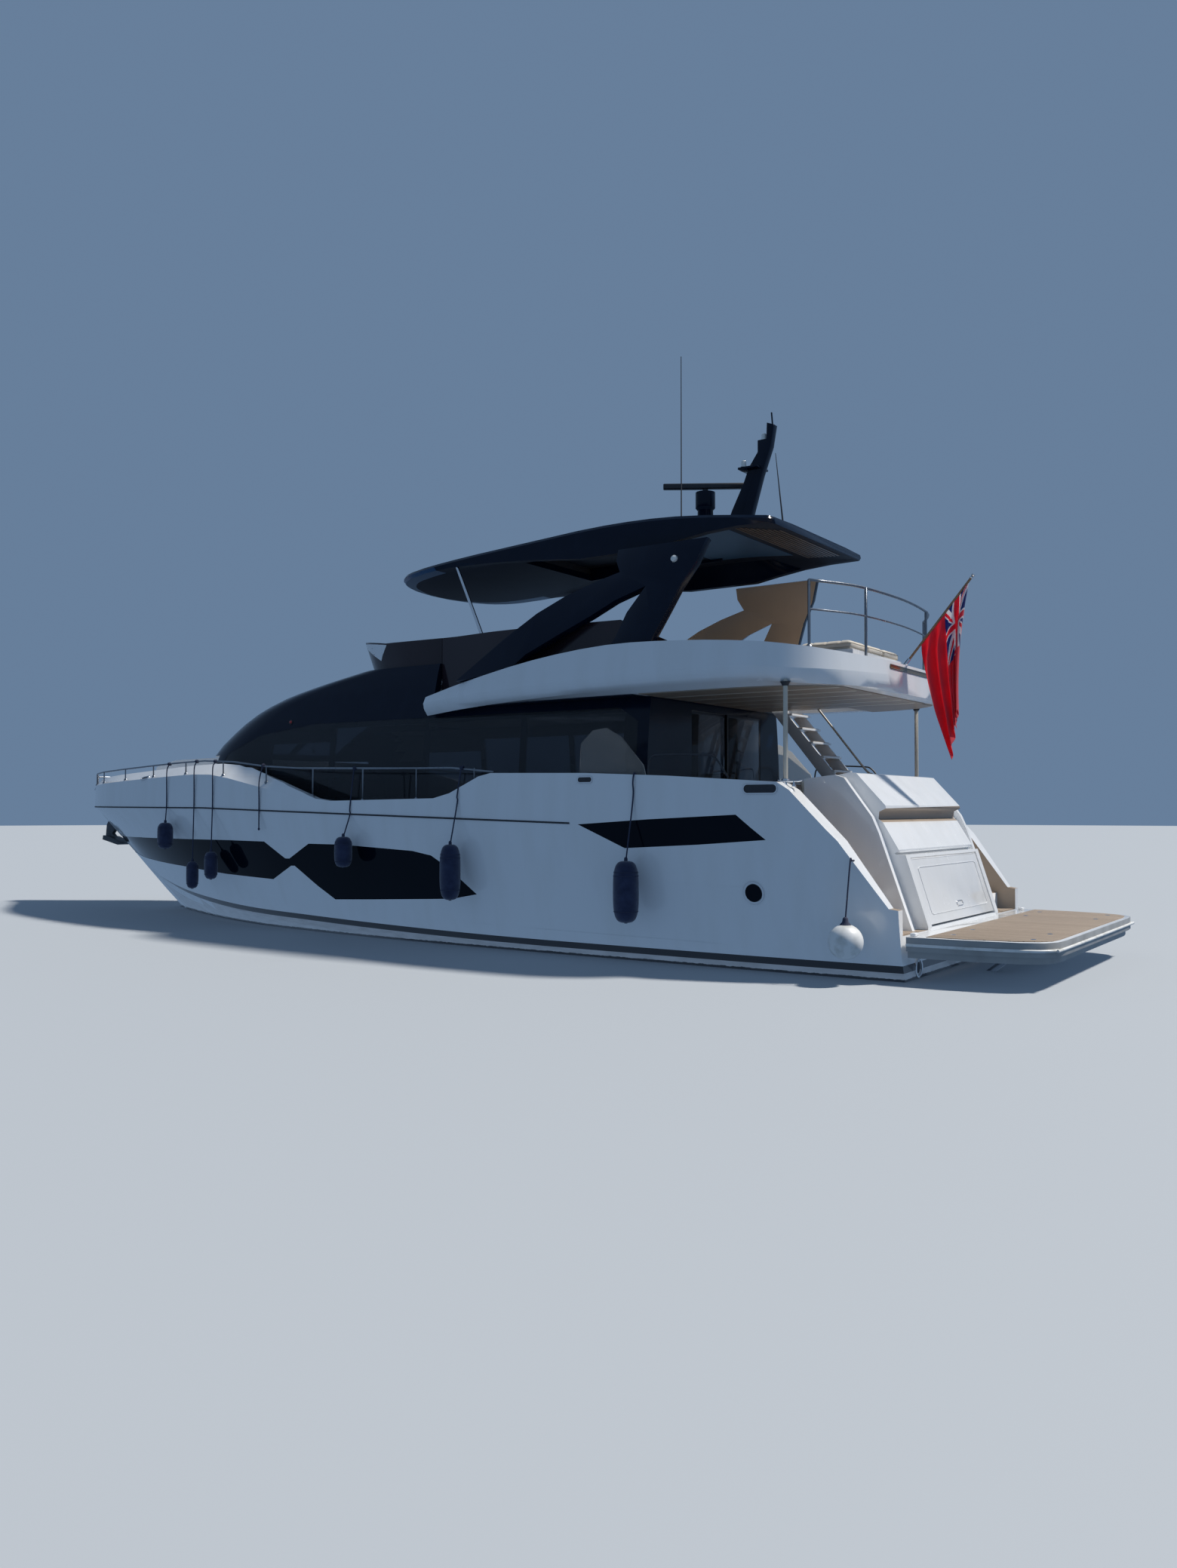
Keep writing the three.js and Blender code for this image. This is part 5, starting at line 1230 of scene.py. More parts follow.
def line_overhang():
    """Panels under the flybridge: tan with pale strips over the cockpit, the tan painting warm light reflected
    into the shade, and black beside the house as painted shade.
    """
    def half(x):
        return smooth_value(FLY, 1, x) - SOFFIT_INSET

    stops = [-8.70, -8.62, -8.50, -8.35, -8.15, -7.9, -7.6, HATCH_AFT_X]
    ahead = [-7.0, -6.6, -6.2, -5.80]
    port = [(x, half(x)) for x in stops + ahead]
    z0, z1 = SOFFIT_Z - SOFFIT_THICK, SOFFIT_Z + 0.004
    main_outline = port + [(-5.80, HATCH_PORT_Y), (-8.70, HATCH_PORT_Y)]
    aft_outline = [(HATCH_AFT_X, HATCH_PORT_Y - 0.008), (HATCH_AFT_X, -half(HATCH_AFT_X))]
    aft_outline += [(x, -half(x)) for x in reversed(stops[:-1]) if half(x) > -HATCH_PORT_Y + 0.02]
    aft_outline += [(stops[1], HATCH_PORT_Y - 0.008)]
    # The tan of these panels paints warm light reflected into the overhang's shade.
    plate("soffit_main", main_outline[::-1], z0, z1, [warm_painted_light_and_shade], radius=0)
    plate("soffit_aft", aft_outline, z0, z1, [warm_painted_light_and_shade], radius=0)
    rows = []
    for y in (-1.15, -0.55, 0.05, 0.65, 1.25, 1.85):
        aft_x = next(x for x in np.linspace(-8.64, -5.8, 200) if half(x) > abs(y) + 0.06)
        rows.append(((aft_x, y - 0.045, z0 - 0.004), (-5.86, y + 0.045, z0 + 0.004)))
    boxes("soffit_strips", rows, [cream_paint], radius=0.003)
    # Black plates beside the house paint the deep shade under the side overhang.
    for side, side_name in SIDES:
        outer = [(x, side * half(x)) for x in np.linspace(-5.68, -1.75, 14)]
        inner = [(x, side * (smooth_value(HOUSE, 2, 3.9) + 0.03)) for x in (-1.75, -5.68)]
        plate(f"side_soffit_{side_name}", outer + inner, z0, z1, [black_gloss], radius=0)


def add_stern_light():
    """Slotted light in the moulding's aft face."""
    base = Matrix(((0, 0, -1, -9.0), (1, 0, 0, 0.0), (0, 1, 0, 4.283), (0, 0, 0, 1)))
    slot = [tuple(p) for p in oval_loop(base, 1.70, 0.055, 0.0)]
    n = len(slot)
    verts = [(x - 0.004, y, z) for x, y, z in slot] + [(x + 0.01, y, z) for x, y, z in slot]
    faces = [list(reversed(range(n))), [n + k for k in range(n)]]
    faces += [(k, (k + 1) % n, n + (k + 1) % n, n + k) for k in range(n)]
    light = joined([loop_parts(slot, 0.011), (verts, faces)])
    from_lists("stern_light", *light, [smoked_lens], angle=40)


def dress_hull_details():
    add_rubbing_line()
    add_portholes()
    add_fairleads()
    add_cleats()
    add_bow_fittings()
    dress_foredeck_hatch()
    add_deck_fillers()
    add_side_lamps()
    add_stern_vents()


# Section of the rubbing line: height over its middle, and how far it stands out of the side
RUBBING_SECTION = [(-0.014, -0.02), (-0.014, 0.004), (-0.007, 0.012), (0.007, 0.012), (0.014, 0.004),
                   (0.014, -0.02)]


def add_rubbing_line():
    """Dark half-round strip where the flare ends."""
    strips = []
    for side in (1, -1):
        verts = []
        for x in np.linspace(-4.83, 11.35, 150):
            z = along(STRAKE, x)
            y = side_y(x, z)
            verts += [(x, side * (y + dy), z + dz) for dz, dy in RUBBING_SECTION]
        wide = len(RUBBING_SECTION)
        last = len(verts) - wide
        faces = []
        for row in range(0, last, wide):
            for a in range(row, row + wide - 1):
                faces.append((a, a + wide, a + wide + 1, a + 1))
        faces += [list(range(wide)), [last + k for k in reversed(range(wide))]]
        strips.append((verts, faces))
    from_lists("rubbing_line", *joined(strips), [rubber], angle=50)


PORTHOLE = (-7.806, 1.087)  # x and z
PORTHOLE_R = 0.16


def add_portholes():
    """Round window low on each side near the stern, with its screwed ring."""
    bases = [facing(*on_side("hull", *PORTHOLE, side)) for side in (1, -1)]
    r = PORTHOLE_R
    ring = [(r - 0.035, -0.01), (r - 0.035, 0.010), (r - 0.026, 0.018), (r - 0.006, 0.018), (r, 0.010),
            (r, -0.01)]
    lathes("porthole_rings", ring, bases, [steel], sides=48)
    glass = [(0.001, -0.008), (0.001, 0.007), (r - 0.036, 0.006), (r - 0.036, -0.008)]
    lathes("porthole_glass", glass, bases, [dark_glass], sides=48)
    screws = []
    for base in bases:
        for k in range(8):
            turn = 2 * math.pi * (k + 0.5) / 8
            spot = base @ Vector((math.cos(turn) * (r - 0.016), math.sin(turn) * (r - 0.016), 0.016))
            screws.append((spot, base.to_3x3() @ Vector(UP)))
    repeated("porthole_screws", SCREW, screws, steel)


SCREW = lathe_parts([(0.0005, 0.004), (0.004, 0.0035), (0.007, 0.001), (0.007, -0.004)], 8)


FAIRLEAD_X = -7.96
FAIRLEAD_Z = 2.50
FAIRLEAD_LONG = 0.50
FAIRLEAD_WIDE = 0.13
SMALL_FAIRLEADS = [(-5.1, 2.66), (6.2, 2.86), (10.2, 2.74)]


def add_fairleads():
    """Steel-rimmed slots for the mooring lines in the bulwark."""
    rims = []
    backs = []
    slots = [(FAIRLEAD_X, FAIRLEAD_Z, FAIRLEAD_LONG, FAIRLEAD_WIDE)]
    slots += [(x, z, 0.26, 0.09) for x, z in SMALL_FAIRLEADS]
    for x, z, long, wide in slots:
        for side in (1, -1):
            place, normal = on_side("hull", x, z, side)
            ahead = Vector((1, 0, 0)) - normal * normal.x
            ahead.normalize()
            base = frame_at(place, ahead, normal.cross(ahead), normal)
            rims.append(loop_parts(oval_loop(base, long, wide, 0.004), 0.012))
            face, under = (oval_loop(base, long - 0.01, wide - 0.01, height) for height in (0.0035, -0.004))
            n = len(face)
            faces = [list(range(n)), [n + k for k in reversed(range(n))]]
            faces += [(k, n + k, n + (k + 1) % n, (k + 1) % n) for k in range(n)]
            backs.append((face + under, faces))
    from_lists("fairlead_rims", *joined(rims), [steel], angle=50)
    from_lists("fairlead_slots", *joined(backs), [rubber], angle=50)


def cleat_parts(base, long=0.36):
    """A mooring cleat: a bar with raised ends on two feet, lying along base's X."""
    half = long / 2
    bar = smooth_line([(-half, 0, 0.085), (-half * 0.7, 0, 0.072), (-half * 0.3, 0, 0.07),
                       (half * 0.3, 0, 0.07), (half * 0.7, 0, 0.072), (half, 0, 0.085)], 17)
    forms = [tube_parts([base @ Vector(p) for p in bar], [0.008] + [0.014] * 15 + [0.008])]
    for x in (-half * 0.32, half * 0.32):
        foot = [base @ Vector((x, 0, z)) for z in (0.0, 0.012, 0.03, 0.07)]
        forms.append(tube_parts(foot, [0.034, 0.028, 0.015, 0.014], 12))
    return joined(forms)


# Mooring cleats on the port side: place and heading of the bar
CLEATS = [((-8.30, 2.70, 2.44), 0.0), ((10.35, 0.48, FORE_DECK_Z), 0.5), ((8.95, 1.15, FORE_DECK_Z), 0.45),
          ((-1.0, 2.60, DECK_Z), 0.0), ((3.4, 2.42, DECK_Z), 0.08)]


def add_cleats():
    cleats = []
    for (x, y, z), heading in CLEATS:
        for side in (1, -1):
            base = Matrix.Rotation(-side * heading, 4, "Z")
            base.translation = drop_on("hull", x, side * y, z + 0.4)[0]
            cleats.append(cleat_parts(base))
    from_lists("mooring_cleats", *joined(cleats), [steel], angle=50)


def chain_link():
    """One link of the anchor chain, lying along +Z."""
    base = Matrix.Rotation(math.pi / 2, 4, "Y")
    return loop_parts(oval_loop(base, 0.066, 0.034, 0.0, 16), 0.006, 6)


def add_bow_fittings():
    """Windlass, chain and locker lids on the foredeck."""
    deck = FORE_DECK_Z
    drum = [(0.001, 0.30), (0.075, 0.30), (0.10, 0.285), (0.10, 0.26), (0.062, 0.235), (0.062, 0.17),
            (0.10, 0.145), (0.125, 0.12), (0.125, 0.09), (0.095, 0.07), (0.095, 0.05), (0.15, 0.03),
            (0.165, 0.0)]
    lathes("windlass", drum, [Matrix.Translation((10.55, 0.0, deck))], [steel], sides=36)
    boxes("windlass_plate", [((10.33, -0.24, deck - 0.002), (10.80, 0.24, deck + 0.012)),
                             ((10.78, -0.06, deck), (11.02, 0.06, deck + 0.06))], [steel], radius=0.008)
    route = [Vector(p) for p in smooth_line([(10.55, 0.135, deck + 0.105), (10.72, 0.07, deck + 0.10),
                                             (10.95, 0.0, deck + 0.10), (11.16, 0.0, deck + 0.09)], 15)]
    links = [((start + end) / 2, end - start) for start, end in zip(route, route[1:])]
    verts, faces = chain_link()
    repeated("anchor_chain", (verts, faces), links[0::2], steel)
    quarter_turn = Matrix.Rotation(math.pi / 2, 4, "Z")
    repeated("anchor_chain_between", ([quarter_turn @ v for v in verts], faces), links[1::2], steel)
    boxes("chain_locker_lids", [((9.86, 0.06, deck), (10.26, 0.44, deck + 0.022)),
                                ((9.86, -0.44, deck), (10.26, -0.06, deck + 0.022))], [gelcoat], radius=0.009)
    boxes("deck_lid_latches", [((10.18, y - 0.03, deck + 0.02), (10.23, y + 0.03, deck + 0.028))
                               for y in (0.25, -0.25)], [steel], radius=0.004)


def dress_foredeck_hatch():
    """The anchor, and the foredeck hatch with its smoked pane, hinges and latches."""
    refined("anchor", [galvanised], bevel=0.012)
    refined("foredeck_hatch", [gelcoat], bevel=0.006)
    low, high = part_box("foredeck_hatch")
    margin = 0.07
    x0, x1, y0, y1 = low[0] + margin, high[0] - margin, low[1] + margin, high[1] - margin
    top = high[2]
    pane = [(x0, y0), (x1, y0), (x1, y1), (x0, y1)]
    plate("hatch_pane", pane, top - 0.003, top + 0.006, [tinted_acrylic], "foredeck_hatch", 0.003)
    hinges = [((high[0] - 0.055, y - 0.04, top - 0.002), (high[0] - 0.005, y + 0.04, top + 0.014))
              for y in (-0.18, 0.18)]
    latches = [((low[0] + 0.02, y - 0.025, top - 0.002), (low[0] + 0.06, y + 0.025, top + 0.012))
               for y in (-0.16, 0.16)]
    boxes("hatch_hinges", hinges + latches, [steel], "foredeck_hatch", radius=0.004)


def add_deck_fillers():
    """Steel filler caps let into the side decks."""
    cap = lathe_parts([(0.001, 0.004), (0.012, 0.004), (0.016, 0.002), (0.030, 0.004), (0.036, 0.001),
                       (0.036, -0.006)], 20)
    places = []
    for x in (-4.5, -4.1, 0.9, 1.3):
        for side in (1, -1):
            found, normal = drop_on("hull", x, side * 2.45, 2.2)
            if found:
                places.append((found, tuple(normal)))
    repeated("deck_fillers", cap, places, steel)


def add_side_lamps():
    """Navigation lamps on the flanks of the black roof."""
    bezel = lathe_parts([(0.030, 0.0), (0.034, 0.012), (0.046, 0.014), (0.052, 0.0), (0.052, -0.012)], 20)
    lens = lathe_parts([(0.001, 0.030), (0.018, 0.026), (0.030, 0.012), (0.033, -0.008)], 20)
    for side, name, maker in ((1, "port", port_lens), (-1, "starboard", starboard_lens)):
        place, normal = on_side("deckhouse", 2.2, 3.86, side)
        if place:
            repeated(f"{name}_lamp_bezel", bezel, [(place, tuple(normal))], black_plastic)
            repeated(f"{name}_lamp_lens", lens, [(place, tuple(normal))], maker)


def add_stern_vents():
    """Exhaust outlets in the transom, with their flaps."""
    rings = [facing((-9.795, side * 2.0, 0.14), (-1, 0, 0)) for side in (1, -1)]
    outlet = [(0.10, -0.02), (0.10, 0.02), (0.115, 0.03), (0.13, 0.02), (0.13, -0.02)]
    lathes("exhaust_rings", outlet, rings, [steel], sides=32)
    lathes("exhaust_flaps", [(0.001, 0.008), (0.098, 0.004), (0.098, -0.004)], rings, [rubber], sides=32)


# House details

def on_screen(x, y):
    """The windscreen's place over x and y, and its normal there."""
    place, normal = drop_on("windscreen", x, y, 5.2)
    if place is None:
        place, normal, _, _ = tree_of("windscreen").find_nearest(Vector((x, y, 3.5)))
    return place, normal


def add_wipers():
    """Three wipers parked at the foot of the windscreen."""
    arms = []
    blades = []
    hubs = []
    for y in (-1.05, 0.0, 1.05):
        rake = 0.10 * abs(y)
        low, low_normal = on_screen(5.16 - rake, y)
        high, high_normal = on_screen(4.62 - rake, y + 0.34)
        hubs.append((low + low_normal * 0.01, low_normal))
        middle = (low + high) / 2 + high_normal * 0.05
        arms.append([low + low_normal * 0.022, middle, high + high_normal * 0.032])
        tip0, n0 = on_screen(4.94 - rake, y + 0.40)
        tip1, n1 = on_screen(4.30 - rake, y + 0.29)
        blades.append([tip0 + n0 * 0.014, (tip0 + tip1) / 2 + n1 * 0.020, tip1 + n1 * 0.014])
    tubes("wiper_arms", arms, 0.009, [black_plastic])
    tubes("wiper_blades", blades, 0.011, [rubber])
    hub = lathe_parts([(0.001, 0.03), (0.022, 0.028), (0.03, 0.012), (0.03, -0.02)], 16)
    repeated("wiper_hubs", hub, hubs, black_plastic)


DOOR_FRAME = 0.045


def dress_saloon_doors():
    """Sliding door and fixed pane with their frames, and the door's handle."""
    wide = DOOR_FRAME
    for node, body, raised in (("saloon_door", "saloon_door", 0.03), ("saloon_fixed_pane", "boat", 0.0)):
        refined(node, [tinted_glass], bevel=0.002)
        (x0, y0, z0), (x1, y1, z1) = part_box(node)
        z0 += raised
        spans = [(y0, y0 + wide, z0, z1), (y1 - wide, y1, z0, z1), (y0 + wide, y1 - wide, z1 - wide, z1),
                 (y0 + wide, y1 - wide, z0, z0 + wide)]
        rows = [((x0 - 0.0015, a, c), (x1 + 0.0015, b, e)) for a, b, c, e in spans]
        boxes(f"{node}_frame", rows, [black_plastic], body, radius=0.0015)
    low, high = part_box("saloon_door")
    pane_low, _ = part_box("saloon_fixed_pane")
    away = -1 if pane_low[0] > low[0] else 1  # the side of the door that doesn't pass the fixed pane
    open_x, close_x = (low[0], high[0]) if away < 0 else (high[0], low[0])
    grip_y = low[1] + 0.075
    handle = [(open_x + away * 0.001, grip_y, 2.75), (open_x + away * 0.035, grip_y, 2.78),
              (open_x + away * 0.035, grip_y, 3.12), (open_x + away * 0.001, grip_y, 3.15)]
    tubes("saloon_door_handle", [handle], 0.008, [steel], "saloon_door")
    pull = ((close_x - 0.0015, grip_y - 0.018, 2.80), (close_x + 0.0015, grip_y + 0.018, 3.10))
    boxes("saloon_door_pull", [pull], [steel], "saloon_door", radius=0.001)


# Stern: block, garage door and platform

def dress_garage_door():
    """Garage door with a moulded bead round its panel and a sunk pull."""
    refined("garage_door", [gelcoat], bevel=0.004)

    def on_door(y, z):
        return met("garage_door", (-12.0, y, z), (1, 0, 0))

    half, z0, z1 = 1.26, 0.78, 1.42
    corners = [on_door(y, z) for y, z in ((-half, z0), (half, z0), (half, z1), (-half, z1))]
    loop = [place + normal * 0.002 for place, normal in corners]
    bead = []
    for a, b in zip(loop, loop[1:] + loop[:1]):
        bead += [a.lerp(b, t) for t in np.linspace(0.03, 0.97, 12)]
    from_lists("garage_door_bead", *loop_parts(bead, 0.006, 6), [gelcoat], "garage_door", 60)
    place, normal = on_door(0.0, 0.86)
    upward = (on_door(0.0, 1.2)[0] - on_door(0.0, 0.8)[0]).normalized()
    base = frame_at(place, (0, 1, 0), upward, normal)
    pull = loop_parts(oval_loop(base, 0.26, 0.07, 0.003), 0.007)
    from_lists("garage_door_pull", *pull, [steel], "garage_door", 50)


PLATFORM_PLAN = [(-9.87, 2.64), (-10.70, 2.60), (-11.25, 2.50), (-11.50, 2.37), (-11.61, 2.18),
                 (-11.64, 1.90)]
TEAK_FRONT_X = -10.1
TEAK_MARGIN = 0.075
PLATFORM_SIDE_LEAN = 0.4
PLATFORM_FRONT_X = -9.9


def dress_platform():
    """Bathing platform with its planked top, grey edge painted as shade, rub rail, chocks and tender sockets.
    """
    body = "bathing_platform"

    # The platform's side faces take the grey that paints the shade on them.
    def edge(middle, normal):
        return 1 if abs(normal.z) < 1.0 - PLATFORM_SIDE_LEAN and middle.x < PLATFORM_FRONT_X else 0

    refined("bathing_platform", [gelcoat, platform_edge_painted_shade], edge, bevel=0.012)
    port = [(TEAK_FRONT_X, 2.55)]
    for x, y in PLATFORM_PLAN[1:]:
        inboard = TEAK_MARGIN * (1.0 if x > -11.6 else 0.6)
        port.append((x + TEAK_MARGIN * (1.0 if x < -11.2 else 0.3), y - inboard))
    outline = port + [(x, -y) for x, y in reversed(port)]
    top = PLATFORM_TOP_Z
    plate("platform_teak", outline, top - 0.003, top + 0.009, [teak_planks], body, 0.003)
    line = [(x, y, 0.50) for x, y in PLATFORM_PLAN] + [(x, -y, 0.50) for x, y in reversed(PLATFORM_PLAN)]
    tubes("platform_rub_rail", [smooth_line(line, 90)], 0.020, [white_vinyl], body)
    chocks = [((-9.96, side * 2.47 - 0.07, top - 0.002), (-9.88, side * 2.47 + 0.07, top + 0.045))
              for side in (1, -1)]
    boxes("platform_chocks", chocks, [gelcoat], body, radius=0.02, steps=3)
    socket = lathe_parts([(0.001, 0.004), (0.03, 0.004), (0.036, 0.001), (0.036, -0.004)], 20)
    places = [((x, side * y, top + 0.009), UP)
              for x in (-10.3, -11.3) for y in (1.3, 2.1) for side in (1, -1)]
    repeated("platform_tender_sockets", socket, places, steel, body)
    # The arms take the steel whose darkened colour paints the shade under the platform.
    refined("platform_arms", [steel_painted_shade], bevel=0.004)


STAIR_STEPS = 5
STAIR_TOP_X = -8.35


def add_stern_fittings():
    """Treads and lamps of the stern stairs, and the lip of the block's shelf."""
    treads = []
    lamps = []
    run = (9.80 + STAIR_TOP_X) / STAIR_STEPS
    rise = (DECK_Z - PLATFORM_TOP_Z) / STAIR_STEPS
    for i in range(STAIR_STEPS):
        x = STAIR_TOP_X - run * i
        z = PLATFORM_TOP_Z + rise * (STAIR_STEPS - 1 - i)
        for side in (1, -1):
            y0, y1 = sorted((side * 1.96, side * 2.53))
            treads.append(((x - run + 0.025, y0, z - 0.003), (x - 0.02, y1, z + 0.010)))
            if i:
                lamps.append(((x, side * 2.25, z + rise * 0.5), (-1, 0, 0)))
    boxes("stair_treads", treads, [teak_planks], radius=0.003)
    lens = lathe_parts([(0.001, 0.006), (0.02, 0.005), (0.03, 0.001), (0.03, -0.006)], 16)
    repeated("stair_lamps", lens, lamps, lamp_lens)
    boxes("block_shelf_lip", [((-9.40, -1.56, 1.628), (-9.345, 1.56, 1.642))], [gelcoat])


# Cockpit

POST_X = -8.17
POST_Y = 2.56


def dress_cockpit():
    """Table, overhang posts with their collars, and the hoop rails on the coamings."""
    refined("cockpit_table", [teak], bevel=0.008)
    for _, side_name in SIDES:
        refined(f"overhang_post_{side_name}", [cream_paint], angle=50)
    feet = [(drop_on("hull", POST_X, side * POST_Y, 3.2)[0], UP) for side in (1, -1)]
    collar = lathe_parts([(0.033, 0.05), (0.045, 0.045), (0.06, 0.012), (0.07, 0.0), (0.07, -0.006)], 24)
    repeated("post_collars", collar, feet, steel)
    heads = [((POST_X, side * POST_Y, 3.955), (0, 0, -1)) for side in (1, -1)]
    repeated("post_heads", collar, heads, black_plastic)
    line = [(-6.15, 2.62), (-6.20, 2.95), (-6.45, 3.0), (-7.05, 2.98), (-7.25, 2.93), (-7.45, 2.66)]
    y = smooth_value(HULL, 4, -6.8) - 0.08
    hoops = [smooth_line([(x, side * y, z) for x, z in line], 40) for side in (1, -1)]
    tubes("cockpit_hoop_rails", hoops, 0.014, [black_plastic])


BASE_FIRST_X = -2.9
BASE_LAST_X = 10.9
BASE_COUNT = 12


def dress_rails():
    """The bow rail and the fly rail, with a base under each stanchion."""
    # Both rails take the steel whose darkened colour paints their shade.
    refined("bow_rail", [steel_painted_shade], angle=60)
    refined("fly_rail", [steel_painted_shade], angle=60)
    base = lathe_parts([(0.015, 0.03), (0.022, 0.026), (0.034, 0.008), (0.038, 0.0), (0.038, -0.008)], 14)
    places = []
    for i in range(BASE_COUNT):
        x = BASE_FIRST_X + (BASE_LAST_X - BASE_FIRST_X) * i / (BASE_COUNT - 1)
        y = rail_y(x)
        for side in (1, -1):
            found, normal = drop_on("hull", x, side * (y + 0.016), 3.6)
            if found:
                rise = (0.016 * abs(normal.y) / normal.z) if normal.z > 0.2 else 0.0
                places.append(((x, side * y, found.z + rise), tuple(normal)))
    repeated("stanchion_bases", base, places, steel_painted_shade)
    places = []
    for x, y in ((-8.4, 2.29), (-8.8, 1.25), (-8.8, -1.25), (-8.4, -2.29)):
        found, _ = drop_on("flybridge", x, y + 0.03, 5.0)
        if found:
            places.append(((x, y, found.z), UP))
    repeated("fly_rail_bases", base, places, steel_painted_shade, size=1.3)


# Flybridge

def add_downlights():
    """Rows of small lamps in the overhang's lining."""
    places = []
    for x in (-6.4, -7.1, -7.8, -8.4):
        for y in (-1.9, -0.95, 0.0, 0.95, 1.9):
            found, _ = lift_to("flybridge", x, y, 3.0)
            if found and found.z < 4.1:
                places.append((found, (0, 0, -1)))
    ring = lathe_parts([(0.032, 0.0), (0.034, 0.006), (0.05, 0.007), (0.055, 0.0), (0.055, -0.01)], 18)
    lens = lathe_parts([(0.001, 0.003), (0.033, 0.002), (0.033, -0.008)], 18)
    repeated("downlight_rings", ring, places, steel)
    repeated("downlight_lenses", lens, places, lamp_lens)


def dress_arches():
    # Inner faces of the arches take the warm tan that paints light on them.
    def lining(middle, normal):
        return 1 if (normal.y < -0.5) == (middle.y > 0) and abs(normal.y) > 0.5 else 0

    for _, side_name in SIDES:
        refined(f"arch_{side_name}", [black_gloss, arch_painted_sunlight], lining, bevel=0.008, angle=30)
        refined(f"hardtop_strut_{side_name}", [steel], angle=50)


def looks_down(middle, normal):
    return 1 if normal.z < -0.6 else 0


def dress_hardtop():
    # The front border under the hardtop takes the blue-grey painted shade.
    def under(middle, normal):
        if normal.z > -0.6:
            return 0
        half = smooth_value(HARDTOP_HALF, 1, middle.x)
        on_border = abs(middle.y) > half - min(PANEL_MARGIN, half * PANEL_MARGIN * 2.5)
        return 1 if middle.x > LINING_END_X and on_border else 2

    cuts = [((LINING_END_X, 0, 0), (1, 0, 0))]
    refined("hardtop", [black_gloss, lining_painted_shade, navy_lining], under, angle=32, cuts=cuts)
    refined("sunroof", [dark_glass, navy_lining], looks_down, bevel=0.004)
    dress_underside()
    (x0, y0, _), (x1, y1, top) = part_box("sunroof")
    trims = [((a, y0, top - 0.004), (a + 0.05, y1, top + 0.006)) for a in (x0, x1 - 0.05)]
    boxes("sunroof_trim", trims, [black_plastic], "sunroof", radius=0.003)
    seals = [((-2.475, -1.0, 6.57), (-2.445, 1.0, 6.7335)), ((-4.355, -1.0, 6.66), (-4.325, 1.0, 6.7335))]
    boxes("sunroof_seals", seals, [rubber], radius=0.002)


LINING_END_X = -1.05
PANEL_MARGIN = 0.33
# Half width of the hardtop along the boat
HARDTOP_HALF = [(-7.56, 1.64), (-7.48, 1.76), (-6.00, 1.84), (-4.70, 1.86), (-3.20, 1.85), (-1.50, 1.80),
                (-0.40, 1.66), (0.06, 1.35), (0.30, 0.80), (0.38, 0.30)]


def grid_slab(rows, thick):
    """A slab over equal rows of places, which are its lower face."""
    tall, wide = len(rows), len(rows[0])
    verts = [place for row in rows for place in row]
    count = len(verts)
    verts += [(x, y, z + thick) for x, y, z in verts]
    faces = []
    for i in range(tall - 1):
        for k in range(wide - 1):
            a, b = i * wide + k, (i + 1) * wide + k
            faces += [(a, b, b + 1, a + 1), (count + a, count + a + 1, count + b + 1, count + b)]
    rim = list(range(wide)) + [i * wide + wide - 1 for i in range(1, tall)]
    rim += [(tall - 1) * wide + k for k in range(wide - 2, -1, -1)]
    rim += [i * wide for i in range(tall - 2, 0, -1)]
    faces += [(a, b, count + b, count + a) for a, b in zip(rim, rim[1:] + rim[:1])]
    return verts, faces


def dress_underside():
    """Let-in panel and slats under the aft part of the hardtop."""
    panel = []
    for x in np.linspace(-6.55, -5.05, 10):
        found = [lift_to("hardtop", x, y, 5.0)[0] for y in np.linspace(-1.15, 1.15, 12)]
        panel.append([tuple(place + Vector((0, 0, -0.006))) for place in found])
    # The let-in panel takes the blue-grey painted shade.
    from_lists("hardtop_panel", *grid_slab(panel, 0.012), [lining_painted_shade])
    slats = []
    for i in range(9):
        x = -6.75 - 0.08 * i
        half = 1.35 - 0.03 * i
        z = lift_to("hardtop", x, 0, 5.0)[0].z
        slats.append(((x - 0.018, -half, z - 0.016), (x + 0.018, half, z + 0.01)))
    boxes("hardtop_slats", slats, [slat_bronze], radius=0.005)


def dress_mast():
    refined("mast", [black_gloss], bevel=0.008)
    refined("radar_scanner", [black_plastic], bevel=0.018, angle=30)
    refined("whip", [black_plastic], angle=50)
    lamp = lathe_parts([(0.001, 0.11), (0.03, 0.105), (0.042, 0.09), (0.042, 0.03), (0.05, 0.02),
                        (0.05, 0.0)], 20)
    lamps = [((-6.585, 0.0, 8.19), UP), ((-6.30, 0.16, 7.76), UP), ((-6.30, -0.16, 7.76), UP)]
    repeated("mast_lamps", lamp, lamps, lamp_lens)
    foot, _ = drop_on("hardtop", -7.2, 0.6, 8.0)
    whip = [foot + Vector((0, 0, -0.01)), foot + Vector((0, 0, 0.12)), (-7.2 + 0.12, 0.6, 7.75)]
    tubes("aft_whip", [whip], [0.02, 0.014, 0.005], [black_plastic])
    places = [(drop_on("hardtop", x, y, 8.0)[0], UP) for x, y in ((-6.2, 0.75), (-6.2, -0.75), (-5.5, -0.5))]
    receiver = lathe_parts([(0.001, 0.09), (0.05, 0.085), (0.075, 0.06), (0.08, 0.03), (0.06, 0.0),
                            (0.06, -0.01)], 24)
    repeated("roof_receivers", receiver, places, gelcoat)


